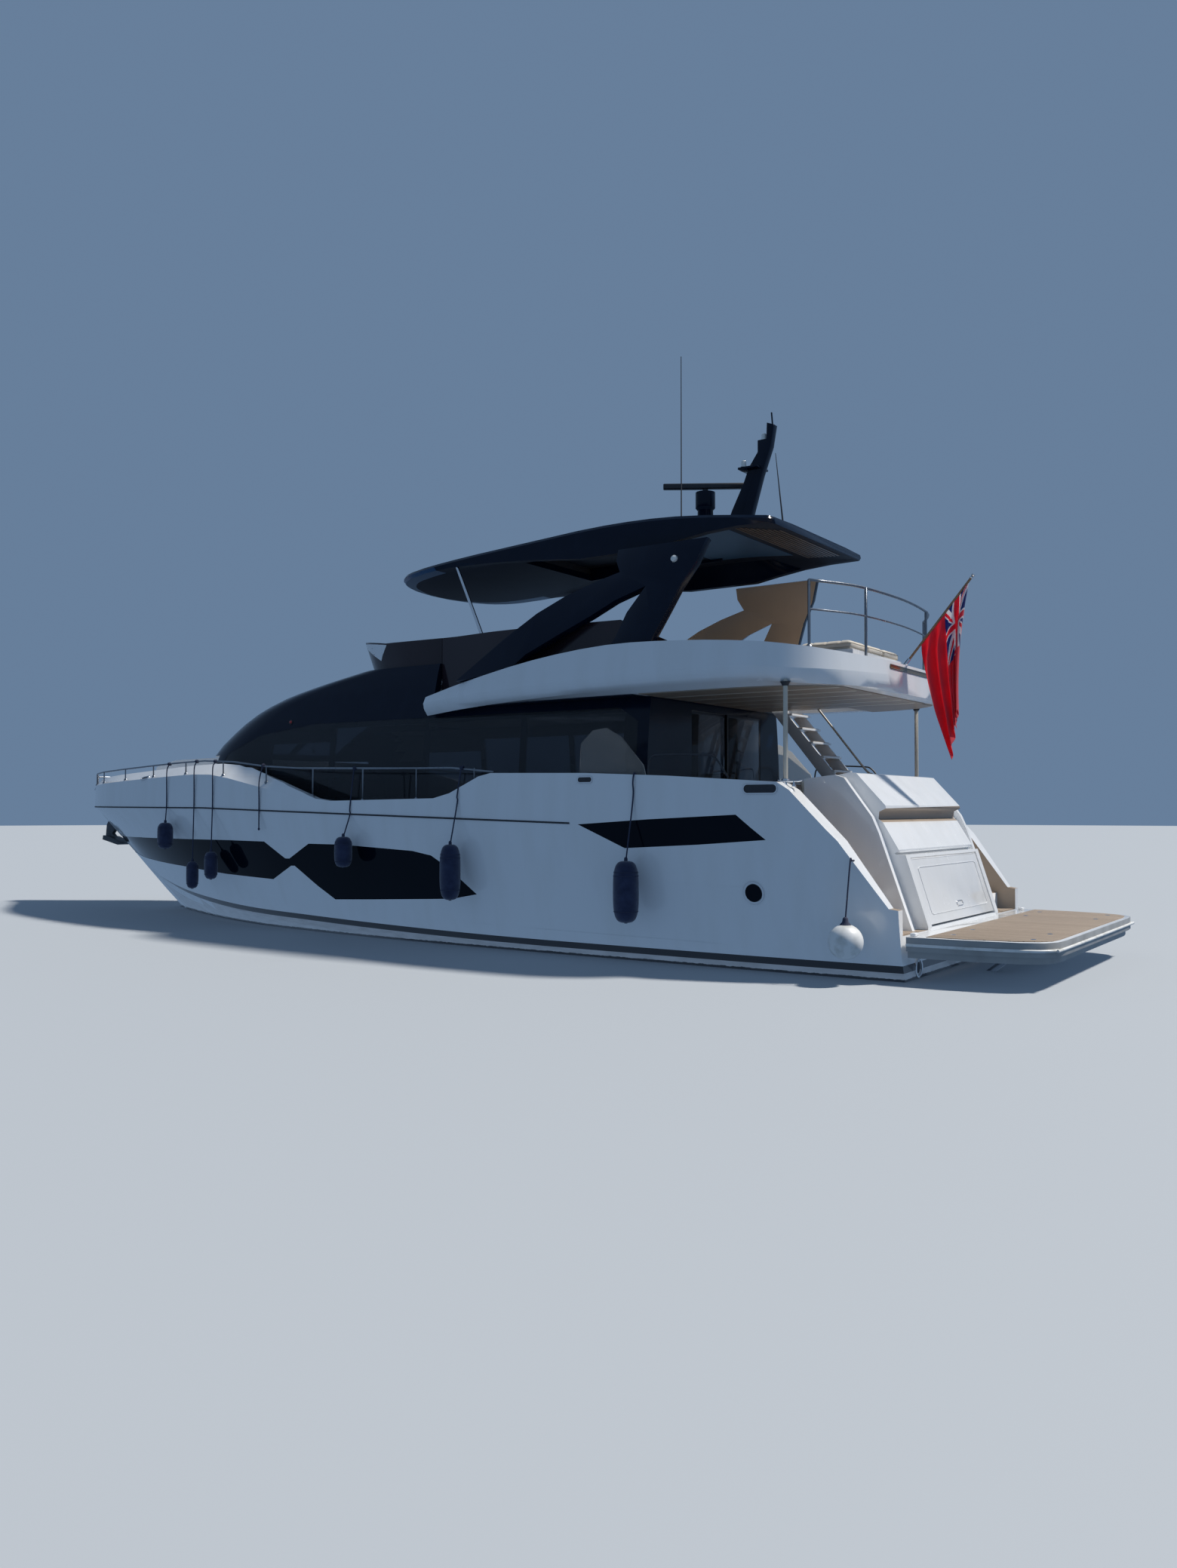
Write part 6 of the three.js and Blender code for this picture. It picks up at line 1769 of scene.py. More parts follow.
def add_horns():
    """Two horn trumpets ahead of the mast."""
    bell = [(0.012, -0.16), (0.016, -0.05), (0.024, 0.02), (0.045, 0.07), (0.062, 0.09), (0.058, 0.088),
            (0.020, 0.03), (0.001, 0.02)]
    bases = []
    feet = []
    for y, long in ((0.32, 0.0), (0.45, -0.05)):
        found, _ = drop_on("hardtop", -5.75, y, 8.0)
        bases.append(facing(found + Vector((long, 0, 0.085)), (1, 0, 0.03)))
        feet.append(((-5.80, y - 0.02, found.z - 0.01), (-5.74, y + 0.02, found.z + 0.075)))
    lathes("horns", bell, bases, [steel])
    boxes("horn_feet", feet, [black_plastic], radius=0.006)


def add_arch_lamps():
    """Round white lamp near the top of each arch."""
    places = [on_side(f"arch_{side_name}", -6.14, 5.961, side) for side, side_name in SIDES]
    lamp = lathe_parts([(0.001, 0.05), (0.03, 0.047), (0.05, 0.03), (0.055, 0.0), (0.055, -0.01)], 24)
    repeated("arch_lamps", lamp, places, lamp_lens)


# Below the waterline

THRUSTER = (6.2, -0.5)  # x and z of its tunnel


def dress_underwater():
    """Running gear, anodes and the bow thruster."""
    for _, side_name in SIDES:
        refined(f"propeller_{side_name}", [bronze], bevel=0.003)
        refined(f"shaft_{side_name}", [bronze], bevel=0.004, angle=40)
        refined(f"rudder_{side_name}", [bronze], bevel=0.012, angle=40)
    anode = lathe_parts([(0.001, 0.035), (0.05, 0.035), (0.066, 0.026), (0.072, 0.0), (0.072, -0.01)], 24)
    places = []
    for x, y in ((-9.3, 0.35), (-8.5, 0.35), (-7.4, 1.9)):
        for side in (1, -1):
            found, normal = lift_to("hull", x, side * y, -3.0)
            if found:
                places.append((found, tuple(normal)))
    repeated("hull_anodes", anode, places, galvanised)
    ring = lathe_parts([(0.125, 0.0), (0.13, 0.010), (0.15, 0.010), (0.16, 0.0), (0.16, -0.03)], 32)
    well = lathe_parts([(0.001, 0.0015), (0.128, 0.0015), (0.128, -0.01)], 32)
    for side, side_name in SIDES:
        place, normal = on_side("hull", *THRUSTER, side)
        repeated(f"thruster_ring_{side_name}", ring, [(place, tuple(normal))], bronze)
        base = facing(place, normal)
        bars = [[base @ Vector((-0.135, y, 0.002)), base @ Vector((0.135, y, 0.002))]
                for y in (-0.08, -0.027, 0.027, 0.08)]
        tubes(f"thruster_grille_{side_name}", bars, 0.007, [bronze], sides=8)
        repeated(f"thruster_mouth_{side_name}", well, [(place, tuple(normal))], rubber)


# Soft goods

CUSHION_VOXEL = 0.034
CUSHION_SWELL = 0.020
CUSHION_STEPS = 20
CUSHION_CROWN = 0.006
CHANNEL_DEEP = 0.014
CHANNEL_WIDE = 0.014
PIPING = []


def swelled(form):
    """Places of a form's points once cloth with air pressure inside has swelled it."""
    swell = form.modifiers.new("swell", "CLOTH")
    settings = swell.settings
    settings.quality = 4
    settings.mass = 0.3
    settings.use_pressure = True
    settings.uniform_pressure_force = 4
    settings.tension_stiffness = 18
    settings.compression_stiffness = 18
    settings.bending_stiffness = 1.2
    settings.effector_weights.gravity = 0
    swell.point_cache.frame_start = 1
    swell.point_cache.frame_end = CUSHION_STEPS
    for step in range(1, CUSHION_STEPS + 1):
        bpy.context.scene.frame_set(step)
    found = form.evaluated_get(bpy.context.evaluated_depsgraph_get())
    places = [v.co.copy() for v in found.to_mesh().vertices]
    found.to_mesh_clear()
    form.modifiers.clear()
    bpy.context.scene.frame_set(1)
    return places


@cache
def cushion_form(size, channels):
    """A plump cushion centred on the origin; channels are the sewn lines across its length."""
    shape = bmesh.new()
    start = [v / 2 - CUSHION_SWELL * 0.45 for v in size]
    rounded_box(shape, [-v for v in start], start, min(size) * 0.32, 3)
    mesh = bpy.data.meshes.new("cushion_form")
    shape.to_mesh(mesh)
    shape.free()
    form = add_object("cushion_form", mesh)
    even = form.modifiers.new("even", "REMESH")
    even.mode = "VOXEL"
    even.voxel_size = CUSHION_VOXEL
    plain_mesh(form)
    rest = [v.co.copy() for v in form.data.vertices]
    for vert, before, after in zip(form.data.vertices, rest, swelled(form)):
        shift = after - before
        if shift.length > CUSHION_SWELL:
            shift *= CUSHION_SWELL / shift.length
        vert.co = before + shift
    finer = form.modifiers.new("finer", "SUBSURF")
    finer.levels = 1
    finer.render_levels = 1
    plain_mesh(form)
    for vert in form.data.vertices:
        place = vert.co
        for k in range(1, channels):
            off = place.x - (k / channels - 0.5) * size[0]
            if place.z > 0:
                place.z -= CHANNEL_DEEP * math.exp(-(off / CHANNEL_WIDE) ** 2)
        place.z = max(place.z, -size[2] / 2)
        edge = max(abs(place.x) / (0.5 * size[0]), abs(place.y) / (0.5 * size[1]))
        if place.z > 0:
            place.z += CUSHION_CROWN * max(0.0, 1 - edge ** 3)
    form.data.shade_smooth()
    mesh = form.data
    bpy.data.objects.remove(form)
    return mesh


def cushion(name, middle, size, turn=0.0, heading=0.0, channels=0):
    """A cushion of the boat; turn leans it about its own Y, heading turns it about +Z."""
    mesh = cushion_form(size, channels).copy()
    base = Matrix.Rotation(heading, 4, "Z") @ Matrix.Rotation(turn, 4, "Y")
    base.translation = Vector(middle)
    mesh.transform(base)
    mesh.name = name
    mesh.materials.append(look(cushion_fabric))
    piece = add_object(name, mesh)
    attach(piece, "boat")
    tree = search_tree(mesh)
    for level in (0.30, -0.30):
        loop = []
        for px, py in rounded_loop(size[0] * 0.98, size[1] * 0.98, 0.05, 9):
            spot, normal, _, _ = tree.find_nearest(base @ Vector((px, py, size[2] * level)))
            loop.append(spot + normal * 0.001)
        PIPING.append(loop)


def rounded_loop(long, wide, radius, corner_steps):
    """Closely spaced points round a rectangle with rounded corners."""
    points = []
    for cx, cy, start in ((1, 1, 0), (-1, 1, 90), (-1, -1, 180), (1, -1, 270)):
        for k in range(corner_steps):
            turn = math.radians(start + 90 * k / (corner_steps - 1))
            points.append((cx * (long / 2 - radius) + math.cos(turn) * radius,
                           cy * (wide / 2 - radius) + math.sin(turn) * radius))
    dense = []
    for a, b in zip(points, points[1:] + points[:1]):
        steps = max(1, int(math.dist(a, b) / 0.07))
        dense += [(a[0] + (b[0] - a[0]) * k / steps, a[1] + (b[1] - a[1]) * k / steps) for k in range(steps)]
    return dense


def sew_piping():
    """The piping of all cushions is one piece."""
    piping = joined(loop_parts(loop, 0.0055, 5) for loop in PIPING)
    from_lists("cushion_piping_boat", *piping, [piping_cord], angle=60)


def base_of(node, rows, maker=gelcoat):
    """The moulded base under a node's cushions, which stands for the node together with them."""
    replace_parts(boxes(f"{node}_base", rows, [maker], body_of(node), 0.012, 3), node)


BACK_LEAN = math.radians(83)


def cockpit_seats():
    x0, x1, y0, y1 = -8.14, -7.48, -1.35, 1.65
    base_of("cockpit_sofa", [
        ((x0, y0, DECK_Z + 0.001), (x1 - 0.02, y1, 2.20)),
        ((x0, y0, 2.19), (-8.05, y1, 2.56)),
        ((x0 + 0.2, y0 + 0.01, DECK_Z + 0.001), (x1, y1 - 0.01, 2.02)),
    ])
    wide = (y1 - y0) / 4
    for i in range(4):
        y = y0 + wide * (i + 0.5)
        cushion(f"cockpit_seat_cushion_{i + 1}", (-7.755, y, 2.275), (0.53, wide - 0.012, 0.14))
        cushion(f"cockpit_back_cushion_{i + 1}", (-8.00, y, 2.475), (0.34, wide - 0.012, 0.11), -BACK_LEAN)


def fly_seats():
    deck = FLY_DECK_Z + 0.001
    base_of("fly_sofa", [
        ((-5.0, -2.0, deck), (-2.9, -1.42, 4.42)), ((-5.0, -2.0, 4.40), (-2.9, -1.93, 4.76)),
    ])
    for i in range(3):
        x = -5.0 + 0.7 * (i + 0.5)
        cushion(f"fly_seat_cushion_{i + 1}", (x, -1.665, 4.485), (0.50, 0.688, 0.13), heading=math.pi / 2)
        cushion(f"fly_back_cushion_{i + 1}", (x, -1.885, 4.675), (0.30, 0.688, 0.10), -BACK_LEAN, math.pi / 2)
    base_of("fly_sunbed", [
        ((-8.5, -1.0, deck), (-7.6, 1.0, 4.56)), ((-7.68, -0.98, deck), (-7.58, 0.98, 4.40)),
    ])
    for i in range(3):
        y = -0.667 + 0.667 * i
        cushion(f"fly_sunbed_cushion_{i + 1}", (-8.05, y, 4.625), (0.88, 0.655, 0.13), channels=4)
    base_of("fly_helm_seat", [
        ((-0.84, 0.08, deck), (-0.32, 1.02, 4.50)), ((-0.90, 0.02, 4.48), (-0.26, 1.08, 4.56)),
        ((-0.93, 0.05, 4.5), (-0.86, 1.05, 5.10)),
    ])
    for i in range(2):
        y = 0.285 + 0.53 * i
        cushion(f"helm_seat_cushion_{i + 1}", (-0.53, y, 4.625), (0.52, 0.515, 0.12))
        cushion(f"helm_back_cushion_{i + 1}", (-0.80, y, 4.89), (0.46, 0.515, 0.10), math.radians(-80))


def foredeck_seats():
    slope = math.atan2(2.75 - 2.59, 8.45 - 7.10)
    base_of("fore_sunpad", [((7.12, -0.98, 2.62), (7.22, 0.98, 2.86))])
    along_x = 1.35 / 3
    for i in range(3):
        x = 7.10 + along_x * (i + 0.5)
        z = 2.86 - math.tan(slope) * (x - 7.10) + 0.035
        for j in range(3):
            y = -0.667 + 0.667 * j
            size = (along_x - 0.008, 0.655, 0.15)
            cushion(f"sunpad_cushion_{i * 3 + j + 1}", (x, y, z), size, slope, channels=2)


def saloon_seats():
    deck = DECK_Z + 0.001
    base_of("saloon_sofa", [
        ((-4.9, 1.35, deck), (-2.5, 2.07, 2.20)), ((-4.9, 2.0, 2.18), (-2.5, 2.07, 2.70)),
    ], walnut)
    for i in range(3):
        x = -4.9 + 0.8 * (i + 0.5)
        cushion(f"saloon_seat_cushion_{i + 1}", (x, 1.655, 2.265), (0.60, 0.788, 0.14), heading=math.pi / 2)
        cushion(f"saloon_back_cushion_{i + 1}", (x, 1.935, 2.51), (0.38, 0.788, 0.11), BACK_LEAN, math.pi / 2)


# Helm, bar and cabin furniture

WHEEL_R = 0.19


def helm_wheel(name, middle, tilt):
    """A steering wheel facing aft, with three spokes."""
    base = Matrix.Rotation(tilt, 4, "Y")
    base.translation = Vector(middle)

    def on_rim(turn):
        return base @ Vector((0, math.cos(turn) * WHEEL_R, math.sin(turn) * WHEEL_R))

    forms = [loop_parts([on_rim(turn) for turn in turns(40)], 0.014)]
    for degrees in (90, 210, 330):
        forms.append(tube_parts([base @ Vector((0.012, 0, 0)), on_rim(math.radians(degrees))], 0.010, 8))
    hub = [(0.001, 0.02), (0.03, 0.018), (0.04, 0.0), (0.035, -0.08), (0.05, -0.16)]
    forms.append(lathe_parts(hub, 18, base @ Matrix.Rotation(math.radians(-90), 4, "Y")))
    from_lists(name, *joined(forms), [black_plastic], angle=50)


# Screens on the fly console and on the lower helm: node, x, height to look down from, their y places
SCREENS = [("fly_console", 0.38, 6.0, (0.12, 0.62)), ("lower_helm", 3.68, 3.6, (-0.35, 0.55, 1.1))]


def dress_helms():
    """Both helms with their wheels, screens and knobs."""
    refined("fly_console", [black_gloss], bevel=0.012)
    refined("lower_helm", [walnut], bevel=0.012)
    helm_wheel("fly_wheel", (0.11, 0.62, 4.72), math.radians(20))
    helm_wheel("cabin_wheel", (3.36, 0.55, 2.72), math.radians(22))
    bases = []
    knobs = []
    for node, x, from_z, ys in SCREENS:
        for y in ys:
            place, normal = drop_on(node, x, y, from_z)
            across = Vector((0, 1, 0))
            base = frame_at(place, across, normal.cross(across).normalized(), normal)
            bases.append(base)
            knobs.append((base @ Vector((0.0, -0.19, 0.004)), normal))
    for name, maker, low, high in (
            ("helm_screen_frames", black_plastic, (-0.20, -0.135, -0.004), (0.20, 0.135, 0.014)),
            ("helm_screens", screen_glass, (-0.18, -0.115, 0.004), (0.18, 0.115, 0.0155))):
        shape = bmesh.new()
        for base in bases:
            old = set(shape.verts)
            rounded_box(shape, low, high)
            bmesh.ops.transform(shape, matrix=base, verts=[v for v in shape.verts if v not in old])
        show(name, shape, [maker])
    knob = lathe_parts([(0.001, 0.03), (0.012, 0.028), (0.016, 0.01), (0.022, 0.0), (0.022, -0.005)], 16)
    repeated("helm_knobs", knob, knobs, steel)


def dress_bars():
    """Wet bar on the flybridge and the galley in the saloon."""
    refined("fly_wet_bar", [gelcoat], bevel=0.015)
    refined("galley_unit", [walnut], bevel=0.010)
    rows = [((-4.72, 1.33, 5.018), (-3.08, 1.985, 5.045)), ((-4.92, -2.08, 2.828), (-0.58, -1.43, 2.858))]
    boxes("bar_worktops", rows, [stone_top], radius=0.008)
    doors = []
    pulls = []
    for i in range(3):
        x = -4.66 + 0.52 * i
        doors.append(((x, 1.338, 4.20), (x + 0.50, 1.352, 4.96)))
        pulls.append([(x + 0.40, 1.336, 4.78), (x + 0.40, 1.318, 4.79), (x + 0.28, 1.318, 4.79),
                      (x + 0.28, 1.336, 4.78)])
    boxes("wet_bar_doors", doors, [gelcoat])
    cabin = [((-4.86 + 0.6 * i, -1.452, 2.0), (-4.86 + 0.6 * i + 0.58, -1.438, 2.80)) for i in range(7)]
    boxes("galley_doors", cabin, [walnut], radius=0.004)
    tubes("wet_bar_pulls", pulls, 0.006, [steel])
    sink = [(0.001, 0.003), (0.14, 0.003), (0.15, 0.010), (0.165, 0.010), (0.17, 0.0), (0.17, -0.006)]
    places = [Matrix.Translation((-3.5, 1.68, 5.045)), Matrix.Translation((-1.4, -1.75, 2.858))]
    lathes("bar_sinks", sink, places, [steel], sides=36)
    taps = []
    for x, y, z, side in ((-3.5, 1.88, 5.045, 1), (-1.4, -1.98, 2.858, -1)):
        bend = [(x, y, z), (x, y, z + 0.2), (x, y - side * 0.09, z + 0.25), (x, y - side * 0.15, z + 0.19)]
        taps.append(smooth_line(bend, 16))
    tubes("bar_taps", taps, 0.011, [steel])
    boxes("bar_grill_lid", [((-4.5, 1.45, 5.044), (-4.0, 1.90, 5.10))], [steel], radius=0.02, steps=3)


def dress_fly_stair():
    """Stair to the flybridge with its treads and handrail."""
    refined("fly_stair", [gelcoat], bevel=0.008)
    rows = []
    for i in range(1, 9):
        z = DECK_Z + (FLY_DECK_Z - DECK_Z) * i / 9
        x = -7.75 + 1.75 * i / 9
        rows.append(((x - 0.14, -2.22, z - 0.002), (x + 0.14, -1.58, z + 0.009)))
    boxes("fly_stair_treads", rows, [teak_planks], radius=0.003)
    rail = smooth_line([(-7.82, -1.50, 2.05), (-7.80, -1.50, 2.75), (-7.62, -1.50, 2.95), (-6.5, -1.50, 4.35),
                        (-6.32, -1.50, 4.55), (-5.9, -1.42, 4.62), (-5.9, -1.42, 4.14)], 60)
    tubes("fly_stair_handrail", [rail], 0.018, [cream_paint])


# Wind deflector

GUSSET = [(-0.02, 5.17), (0.98, 5.30), (0.15, 4.90)]  # x and z of its corners


def dress_deflector():
    """Wind deflector with a white gusset laid on each of its ends."""
    refined("wind_deflector", [tinted_acrylic], angle=30)
    steps = 8
    for side, side_name in SIDES:
        grid = {}
        verts = []
        for i in range(steps + 1):
            for k in range(steps + 1 - i):
                a, b = i / steps, k / steps
                x, z = (GUSSET[0][n] * (1 - a - b) + GUSSET[1][n] * a + GUSSET[2][n] * b for n in (0, 1))
                place, normal = on_side("wind_deflector", x, z, side)
                grid[i, k] = len(verts)
                verts += [place + normal * 0.006, place - normal * 0.003]
        faces = []
        for i in range(steps):
            for k in range(steps - i):
                cells = [(grid[i, k], grid[i + 1, k], grid[i, k + 1])]
                if k < steps - i - 1:
                    cells.append((grid[i + 1, k], grid[i + 1, k + 1], grid[i, k + 1]))
                for a, b, c in cells:
                    faces += [(a, b, c), (c + 1, b + 1, a + 1)]
        edges = [grid[i, 0] for i in range(steps + 1)] + [grid[steps - k, k] for k in range(1, steps + 1)]
        edges += [grid[0, k] for k in range(steps - 1, 0, -1)]
        faces += [(a, a + 1, b + 1, b) for a, b in zip(edges, edges[1:] + edges[:1])]
        from_lists(f"deflector_gusset_{side_name}", verts, faces, [gelcoat], angle=40)


def dress_wing_glass():
    for _, side_name in SIDES:
        refined(f"wing_glass_{side_name}", [clear_glass], bevel=0.003)


# Fenders and the ensign

# Fenders: x, z, half height, radius, whether it hangs free of the side
FENDERS = [
    (5.240, 1.700, 0.270, 0.150, True), (4.240, 0.960, 0.270, 0.115, True),
    (3.620, 1.160, 0.270, 0.125, True), (-0.200, 1.500, 0.270, 0.150, False),
    (-2.640, 1.230, 0.450, 0.165, False), (-5.960, 1.050, 0.450, 0.185, False),
]
# Height of the bow rail and of the bulwark's cap along the boat, and how far inboard the rail stands
RAIL = [(-3.30, 2.810), (-3.00, 2.880), (-1.60, 2.900), (0.30, 2.935), (1.90, 2.990), (3.20, 3.125),
        (4.30, 3.150), (6.50, 3.085), (8.70, 3.030), (10.30, 3.015), (11.20, 3.015)]
SHEER = [(-9.80, 0.560), (-9.68, 0.950), (-9.05, 1.810), (-8.38, 2.480), (-8.20, 2.590), (-6.48, 2.700),
         (-5.10, 2.760), (-3.30, 2.790), (-3.05, 2.740), (-2.45, 2.480), (-2.10, 2.400), (0.30, 2.370),
         (0.70, 2.410), (1.80, 2.740), (2.90, 3.040), (3.70, 3.100), (4.60, 3.085), (6.50, 3.005),
         (8.70, 2.930), (10.30, 2.870), (11.65, 2.820)]
RAIL_INSET = [(0.30, 0.105), (1.90, 0.090), (3.20, 0.055), (4.30, 0.050)]
LINE_R = 0.011
LINE_CLEAR = 0.004
SPARE_LINE_X = 2.2
SPARE_LINE_Z = 1.86


def rail_y(x):
    """How far out the bow rail runs at x."""
    return smooth_value(HULL, 4, x) - along(RAIL_INSET, x)


def wrap_round(x, y, z, radius, slant=0.0):
    """A turn of line round a rail that runs along X."""
    wrap = [(x + math.sin(turn) * slant, y + math.cos(turn) * radius, z + math.sin(turn) * radius)
            for turn in turns(20)]
    return loop_parts(wrap, LINE_R, 6)


def hang_spare_line():
    """Line left hanging from the bow rail, with a knot at its end."""
    x, top_y, top_z = SPARE_LINE_X, rail_y(SPARE_LINE_X), along(RAIL, SPARE_LINE_X)
    out = smooth_value(HULL, 4, x) + LINE_R + LINE_CLEAR
    route = smooth_line([(x, top_y + 0.02, top_z), (x, top_y + 0.03, top_z - 0.04), (x, out, top_z - 0.30),
                         (x, out, 2.35), (x, out, SPARE_LINE_Z)], 40)
    rope = from_lists("spare_line", *tube_parts(route, LINE_R, 8), [navy_rope], angle=60)
    knot = [(0.001, 0.03), (0.014, 0.024), (0.022, 0.004), (0.014, -0.018), (0.001, -0.024)]
    forms = [lathe_parts(knot, 12, Matrix.Translation((x, out, SPARE_LINE_Z)))]
    forms += [wrap_round(x + dx, top_y, top_z, 0.028) for dx in (-LINE_R, LINE_R)]
    knots = from_lists("spare_line_knots", *joined(forms), [navy_rope], angle=60)


FENDER_ROUND = 0.62
FENDER_TAPER = 0.55


def hang_fenders():
    """Six fenders in knitted covers, each with its bands, knots and line."""
    for number, (x, z, tall, r, free) in enumerate(FENDERS, 1):
        sheer_y = smooth_value(HULL, 4, x)
        y = sheer_y + (0.04 if free else r + 0.014)
        profile = []
        for k in range(25):
            turn = math.pi * (k / 24 - 0.5)
            lift = math.copysign(abs(math.sin(turn)) ** FENDER_ROUND, math.sin(turn))
            profile.append((max(r * math.cos(turn) ** FENDER_TAPER, 0.001), (tall - 0.012) * lift))
        middle = Matrix.Translation((x, y, z))
        cover = lathes(f"fender_{number}_cover", profile, [middle], [knitted_cover], sides=36)
        bands = []
        for level in (0.62, 0.50, -0.62):
            wide = r * math.cos(math.asin(abs(level) ** (1 / FENDER_ROUND))) ** FENDER_TAPER
            ring = [(x + math.cos(turn) * wide, y + math.sin(turn) * wide, z + tall * level)
                    for turn in turns(32)]
            bands.append(loop_parts(ring, 0.006, 6))
        from_lists(f"fender_{number}_bands", *joined(bands), [navy_rope], angle=60)
        line = fender_line(x, y, z, tall, sheer_y)
        rope = from_lists(f"fender_{number}_line", *line, [navy_rope], angle=60)
        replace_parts(rope, f"fender_{number}")


def fender_line(x, y, z, tall, sheer_y):
    """A fender's line from its upper knot to the rail or over the bulwark's cap, with both knots."""
    side = sheer_y + LINE_R + LINE_CLEAR
    cap = along(SHEER, x)
    wraps = []
    if x > RAIL[0][0]:
        bar_y = rail_y(x)
        bar_z = along(RAIL, x)
        end = [(x, bar_y + 0.03, bar_z - 0.04), (x, bar_y + 0.02, bar_z)]
        wraps = [wrap_round(x + dx, bar_y, bar_z, 0.024, 0.004) for dx in (-0.022, 0.0, 0.022)]
    else:
        end = [(x, side - 0.03, cap + LINE_R), (x, side - 0.09, cap + LINE_R)]
    line = [(x, y, z + tall - 0.02), (x, side, min(cap, 2.6) - 0.25), (x, side, cap - 0.12), *end]
    upper = [(0.001, 0.055), (0.018, 0.05), (0.026, 0.03), (0.026, 0.0), (0.04, -0.02)]
    lower = [(0.04, 0.02), (0.026, 0.0), (0.022, -0.014), (0.001, -0.016)]
    return joined([tube_parts(smooth_line(line, 40), LINE_R, 8),
                   lathe_parts(upper, 14, Matrix.Translation((x, y, z + tall - 0.01))),
                   lathe_parts(lower, 14, Matrix.Translation((x, y, z - tall + 0.016))), *wraps])


BALL = (-9.26, 0.545, 0.225, -9.24)  # x, z, radius, x of its line at the cap


def hang_ball():
    """White ball fender low on the quarter, on a line over the cap."""
    x, z, r, top_x = BALL
    y = smooth_value(HULL, 4, x) + r + 0.014
    profile = [(max(r * math.cos(turn), 0.001), r * math.sin(turn))
               for turn in np.linspace(-math.pi / 2, math.pi / 2, 33)]
    ball = lathes("ball_fender_body", profile, [Matrix.Translation((x, y, z))], [white_vinyl], sides=48)
    eye = [(0.001, 0.10), (0.02, 0.098), (0.034, 0.08), (0.04, 0.04), (0.075, 0.0), (0.09, -0.02)]
    top_y = smooth_value(HULL, 4, top_x)
    cap = along(SHEER, top_x)
    route = [(x, y, z + r + 0.05), (top_x, top_y + 0.03, cap - 0.02), (top_x, top_y - 0.02, cap + LINE_R),
             (top_x, top_y - 0.10, cap + LINE_R)]
    forms = [lathe_parts(eye, 20, Matrix.Translation((x, y, z + r - 0.012))),
             tube_parts(smooth_line(route, 30), LINE_R, 8)]
    rope = from_lists("ball_fender_line", *joined(forms), [navy_rope], angle=60)
    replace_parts(rope, "ball_fender")


STAFF_FOOT = (-8.84, 0.0, 4.30)
STAFF_TOP = (-9.95, 0.0, 5.64)
ENSIGN_HOIST = 1.13
# Where the two long edges of the limp ensign hang, from the staff down
ENSIGN_AFT = [(-9.885, 5.565), (-9.80, 5.10), (-9.735, 4.62), (-9.705, 4.15), (-9.70, 3.68)]
ENSIGN_FORE = [(-9.165, 4.695), (-9.20, 4.30), (-9.33, 3.82), (-9.48, 3.38), (-9.60, 2.95)]
ENSIGN_FOLDS = 4.0
# How much longer a row is than the hoist once the cloth hangs askew from its raked staff
ENSIGN_SKEW = 0.33
ENSIGN_THICK = 0.0016
ENSIGN_ROWS = 96
ENSIGN_COLUMNS = 72


def ensign_row(v):
    """Points of the cloth across its hoist at a share v of its fly, as long along the folds as it was cut."""
    aft = smooth_line([(x, z, 0) for x, z in ENSIGN_AFT], 101)[int(round(v * 100))]
    fore = smooth_line([(x, z, 0) for x, z in ENSIGN_FORE], 101)[int(round(v * 100))]
    span = math.dist(aft[:2], fore[:2])
    ease = min(1.0, 5 * v)
    tuck = max(0.0, 0.8 * (1 - span / ENSIGN_HOIST)) * ease

    def line(deep):
        points = []
        for k in range(ENSIGN_COLUMNS + 1):
            u = k / ENSIGN_COLUMNS
            share = abs(u - tuck) / (1 - tuck)
            behind = min(1.0, max(0.0, (tuck - u) / 0.05))
            phase = 2 * math.pi * ENSIGN_FOLDS * (u - tuck)
            phase += 0.7 * math.sin(2.4 * v)
            phase -= 0.5 * math.sin(5.0 * u + 1.5 * v)
            y = deep * math.sin(phase) * (0.75 + 0.25 * math.sin(7 * u + 2.0)) * ease - 0.03 * behind * ease
            points.append((aft[0] + (fore[0] - aft[0]) * share, y, aft[1] + (fore[1] - aft[1]) * share))
        return points

    def length(points):
        return sum(math.dist(a, b) for a, b in zip(points, points[1:]))

    wanted = ENSIGN_HOIST * (1 + ENSIGN_SKEW * min(1.0, v / 0.3) ** 0.8)
    low, high = 0.0, 0.12
    for _ in range(24):
        deep = (low + high) / 2
        low, high = (deep, high) if length(line(deep)) < wanted else (low, deep)
    return line(low)


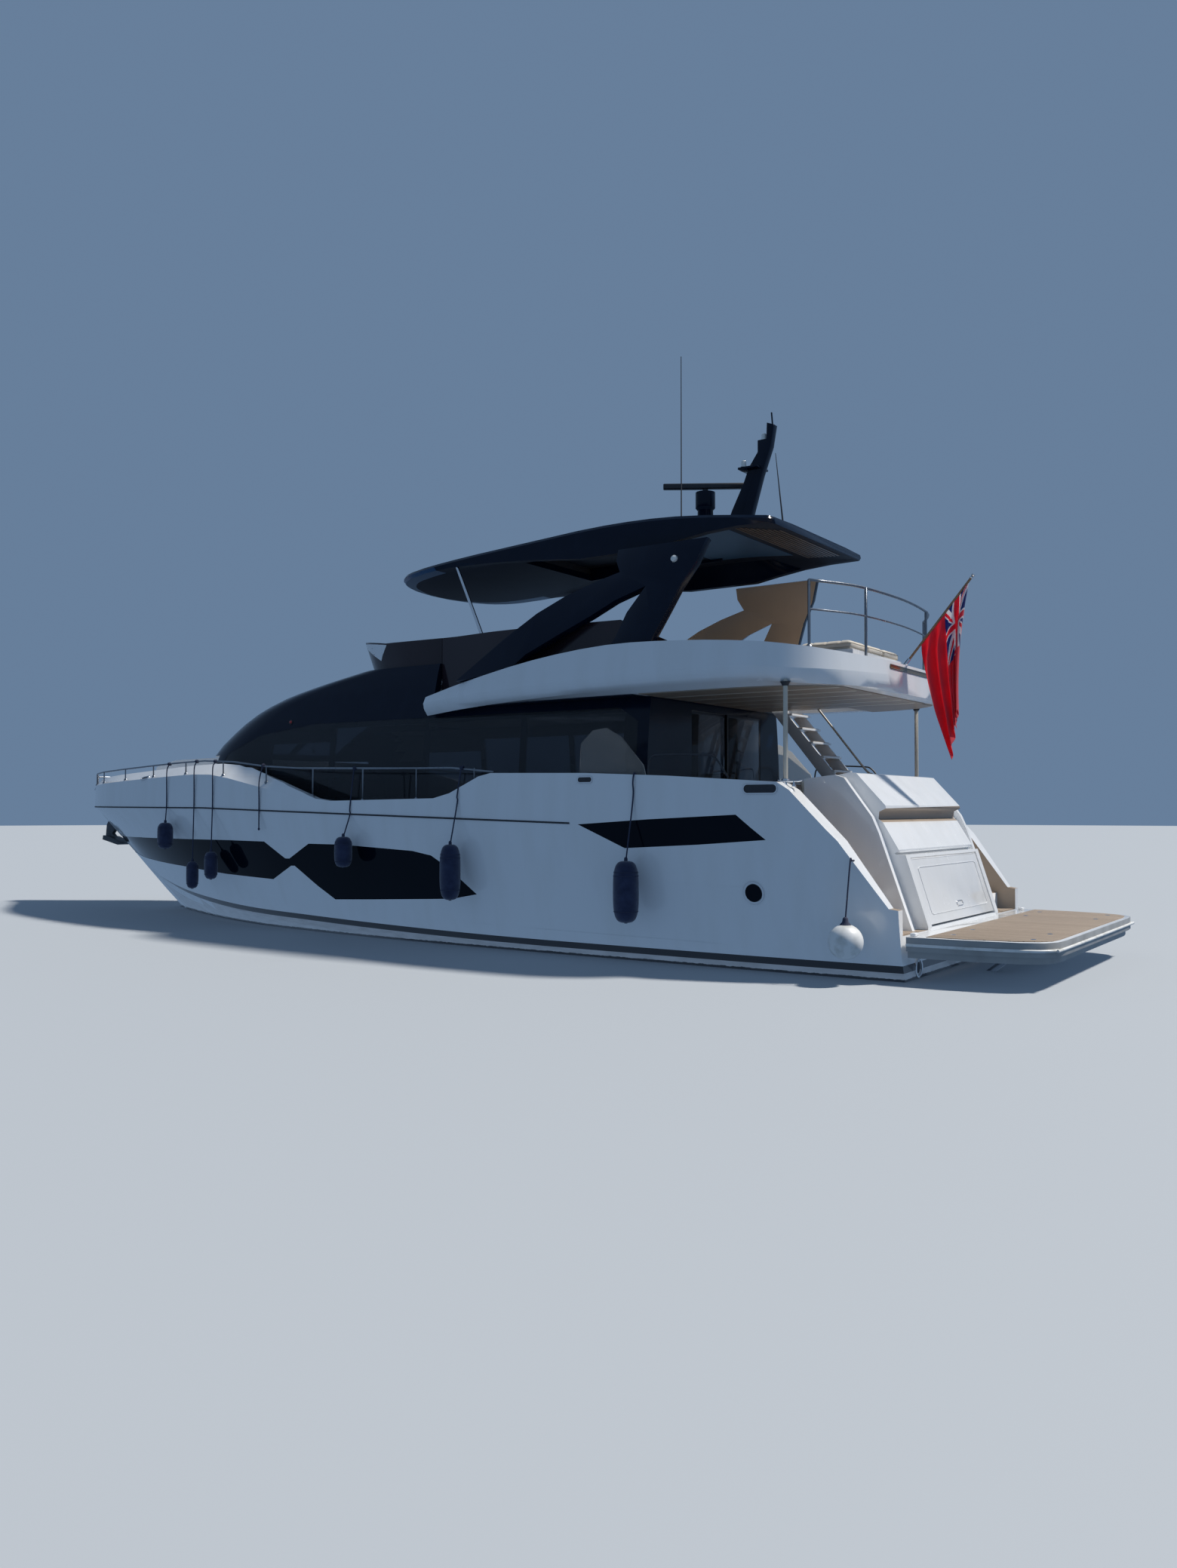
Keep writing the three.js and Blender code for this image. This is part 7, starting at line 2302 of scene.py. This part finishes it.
def ensign_cloth():
    """The limp cloth as a thin mesh with its flat pattern as UV map."""
    rows = [ensign_row(i / ENSIGN_ROWS) for i in range(ENSIGN_ROWS + 1)]
    wide = ENSIGN_COLUMNS + 1
    faces = [(i * wide + k, (i + 1) * wide + k, (i + 1) * wide + k + 1, i * wide + k + 1)
             for i in range(ENSIGN_ROWS) for k in range(ENSIGN_COLUMNS)]
    mesh = bpy.data.meshes.new("ensign_cloth")
    mesh.from_pydata([place for row in rows for place in row], [], faces)
    layer = mesh.uv_layers.new(name="UVMap")
    for face in mesh.polygons:
        for corner, vert in zip(face.loop_indices, face.vertices):
            layer.data[corner].uv = (vert // wide / ENSIGN_ROWS, 1 - vert % wide / ENSIGN_COLUMNS)
    mesh.materials.append(look(ensign_dye))
    mesh.shade_smooth()
    cloth = add_object("ensign_cloth", mesh)
    thick = cloth.modifiers.new("thick", "SOLIDIFY")
    thick.thickness = ENSIGN_THICK
    thick.offset = 0
    return plain_mesh(cloth)


def hang_ensign():
    """The ensign on its staff, with the staff's finial and socket and the cloth's toggles."""
    cloth = ensign_cloth()
    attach(cloth, "boat")
    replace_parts(cloth, "ensign")
    foot, top = Vector(STAFF_FOOT), Vector(STAFF_TOP)
    refined("ensign_staff", [teak], angle=50)
    up = (top - foot).normalized()
    finial = [(0.019, -0.02), (0.026, -0.012), (0.026, 0.0), (0.014, 0.01), (0.024, 0.022), (0.030, 0.034),
              (0.024, 0.047), (0.001, 0.054)]
    lathes("ensign_finial", finial, [facing(top - up * 0.045, up)], [steel])
    lathes("ensign_socket", [(0.05, -0.02), (0.05, 0.01), (0.028, 0.03), (0.028, 0.16), (0.021, 0.17)],
           [facing(foot + up * 0.06, up)], [steel])
    toggles = []
    for share in (0.975, 0.365):
        place = foot.lerp(top, share)
        toggles.append([place, place + Vector((0.03, 0.0, -0.03))])
    tubes("ensign_toggles", toggles, 0.007, [navy_rope])


def dress_all():
    """Every piece, in the order in which they are made."""
    add_camera()
    add_light()
    add_floor()
    dress_hull()
    dress_hull_details()
    dress_house()
    add_wipers()
    dress_saloon_doors()
    dress_flybridge()
    add_downlights()
    dress_arches()
    add_arch_lamps()
    dress_hardtop()
    dress_mast()
    add_horns()
    dress_garage_door()
    dress_platform()
    add_stern_fittings()
    dress_cockpit()
    dress_rails()
    dress_underwater()
    dress_deflector()
    dress_wing_glass()
    dress_fly_stair()
    dress_helms()
    dress_bars()
    cockpit_seats()
    fly_seats()
    foredeck_seats()
    saloon_seats()
    sew_piping()
    hang_fenders()
    hang_spare_line()
    hang_ball()
    hang_ensign()


dress_all()
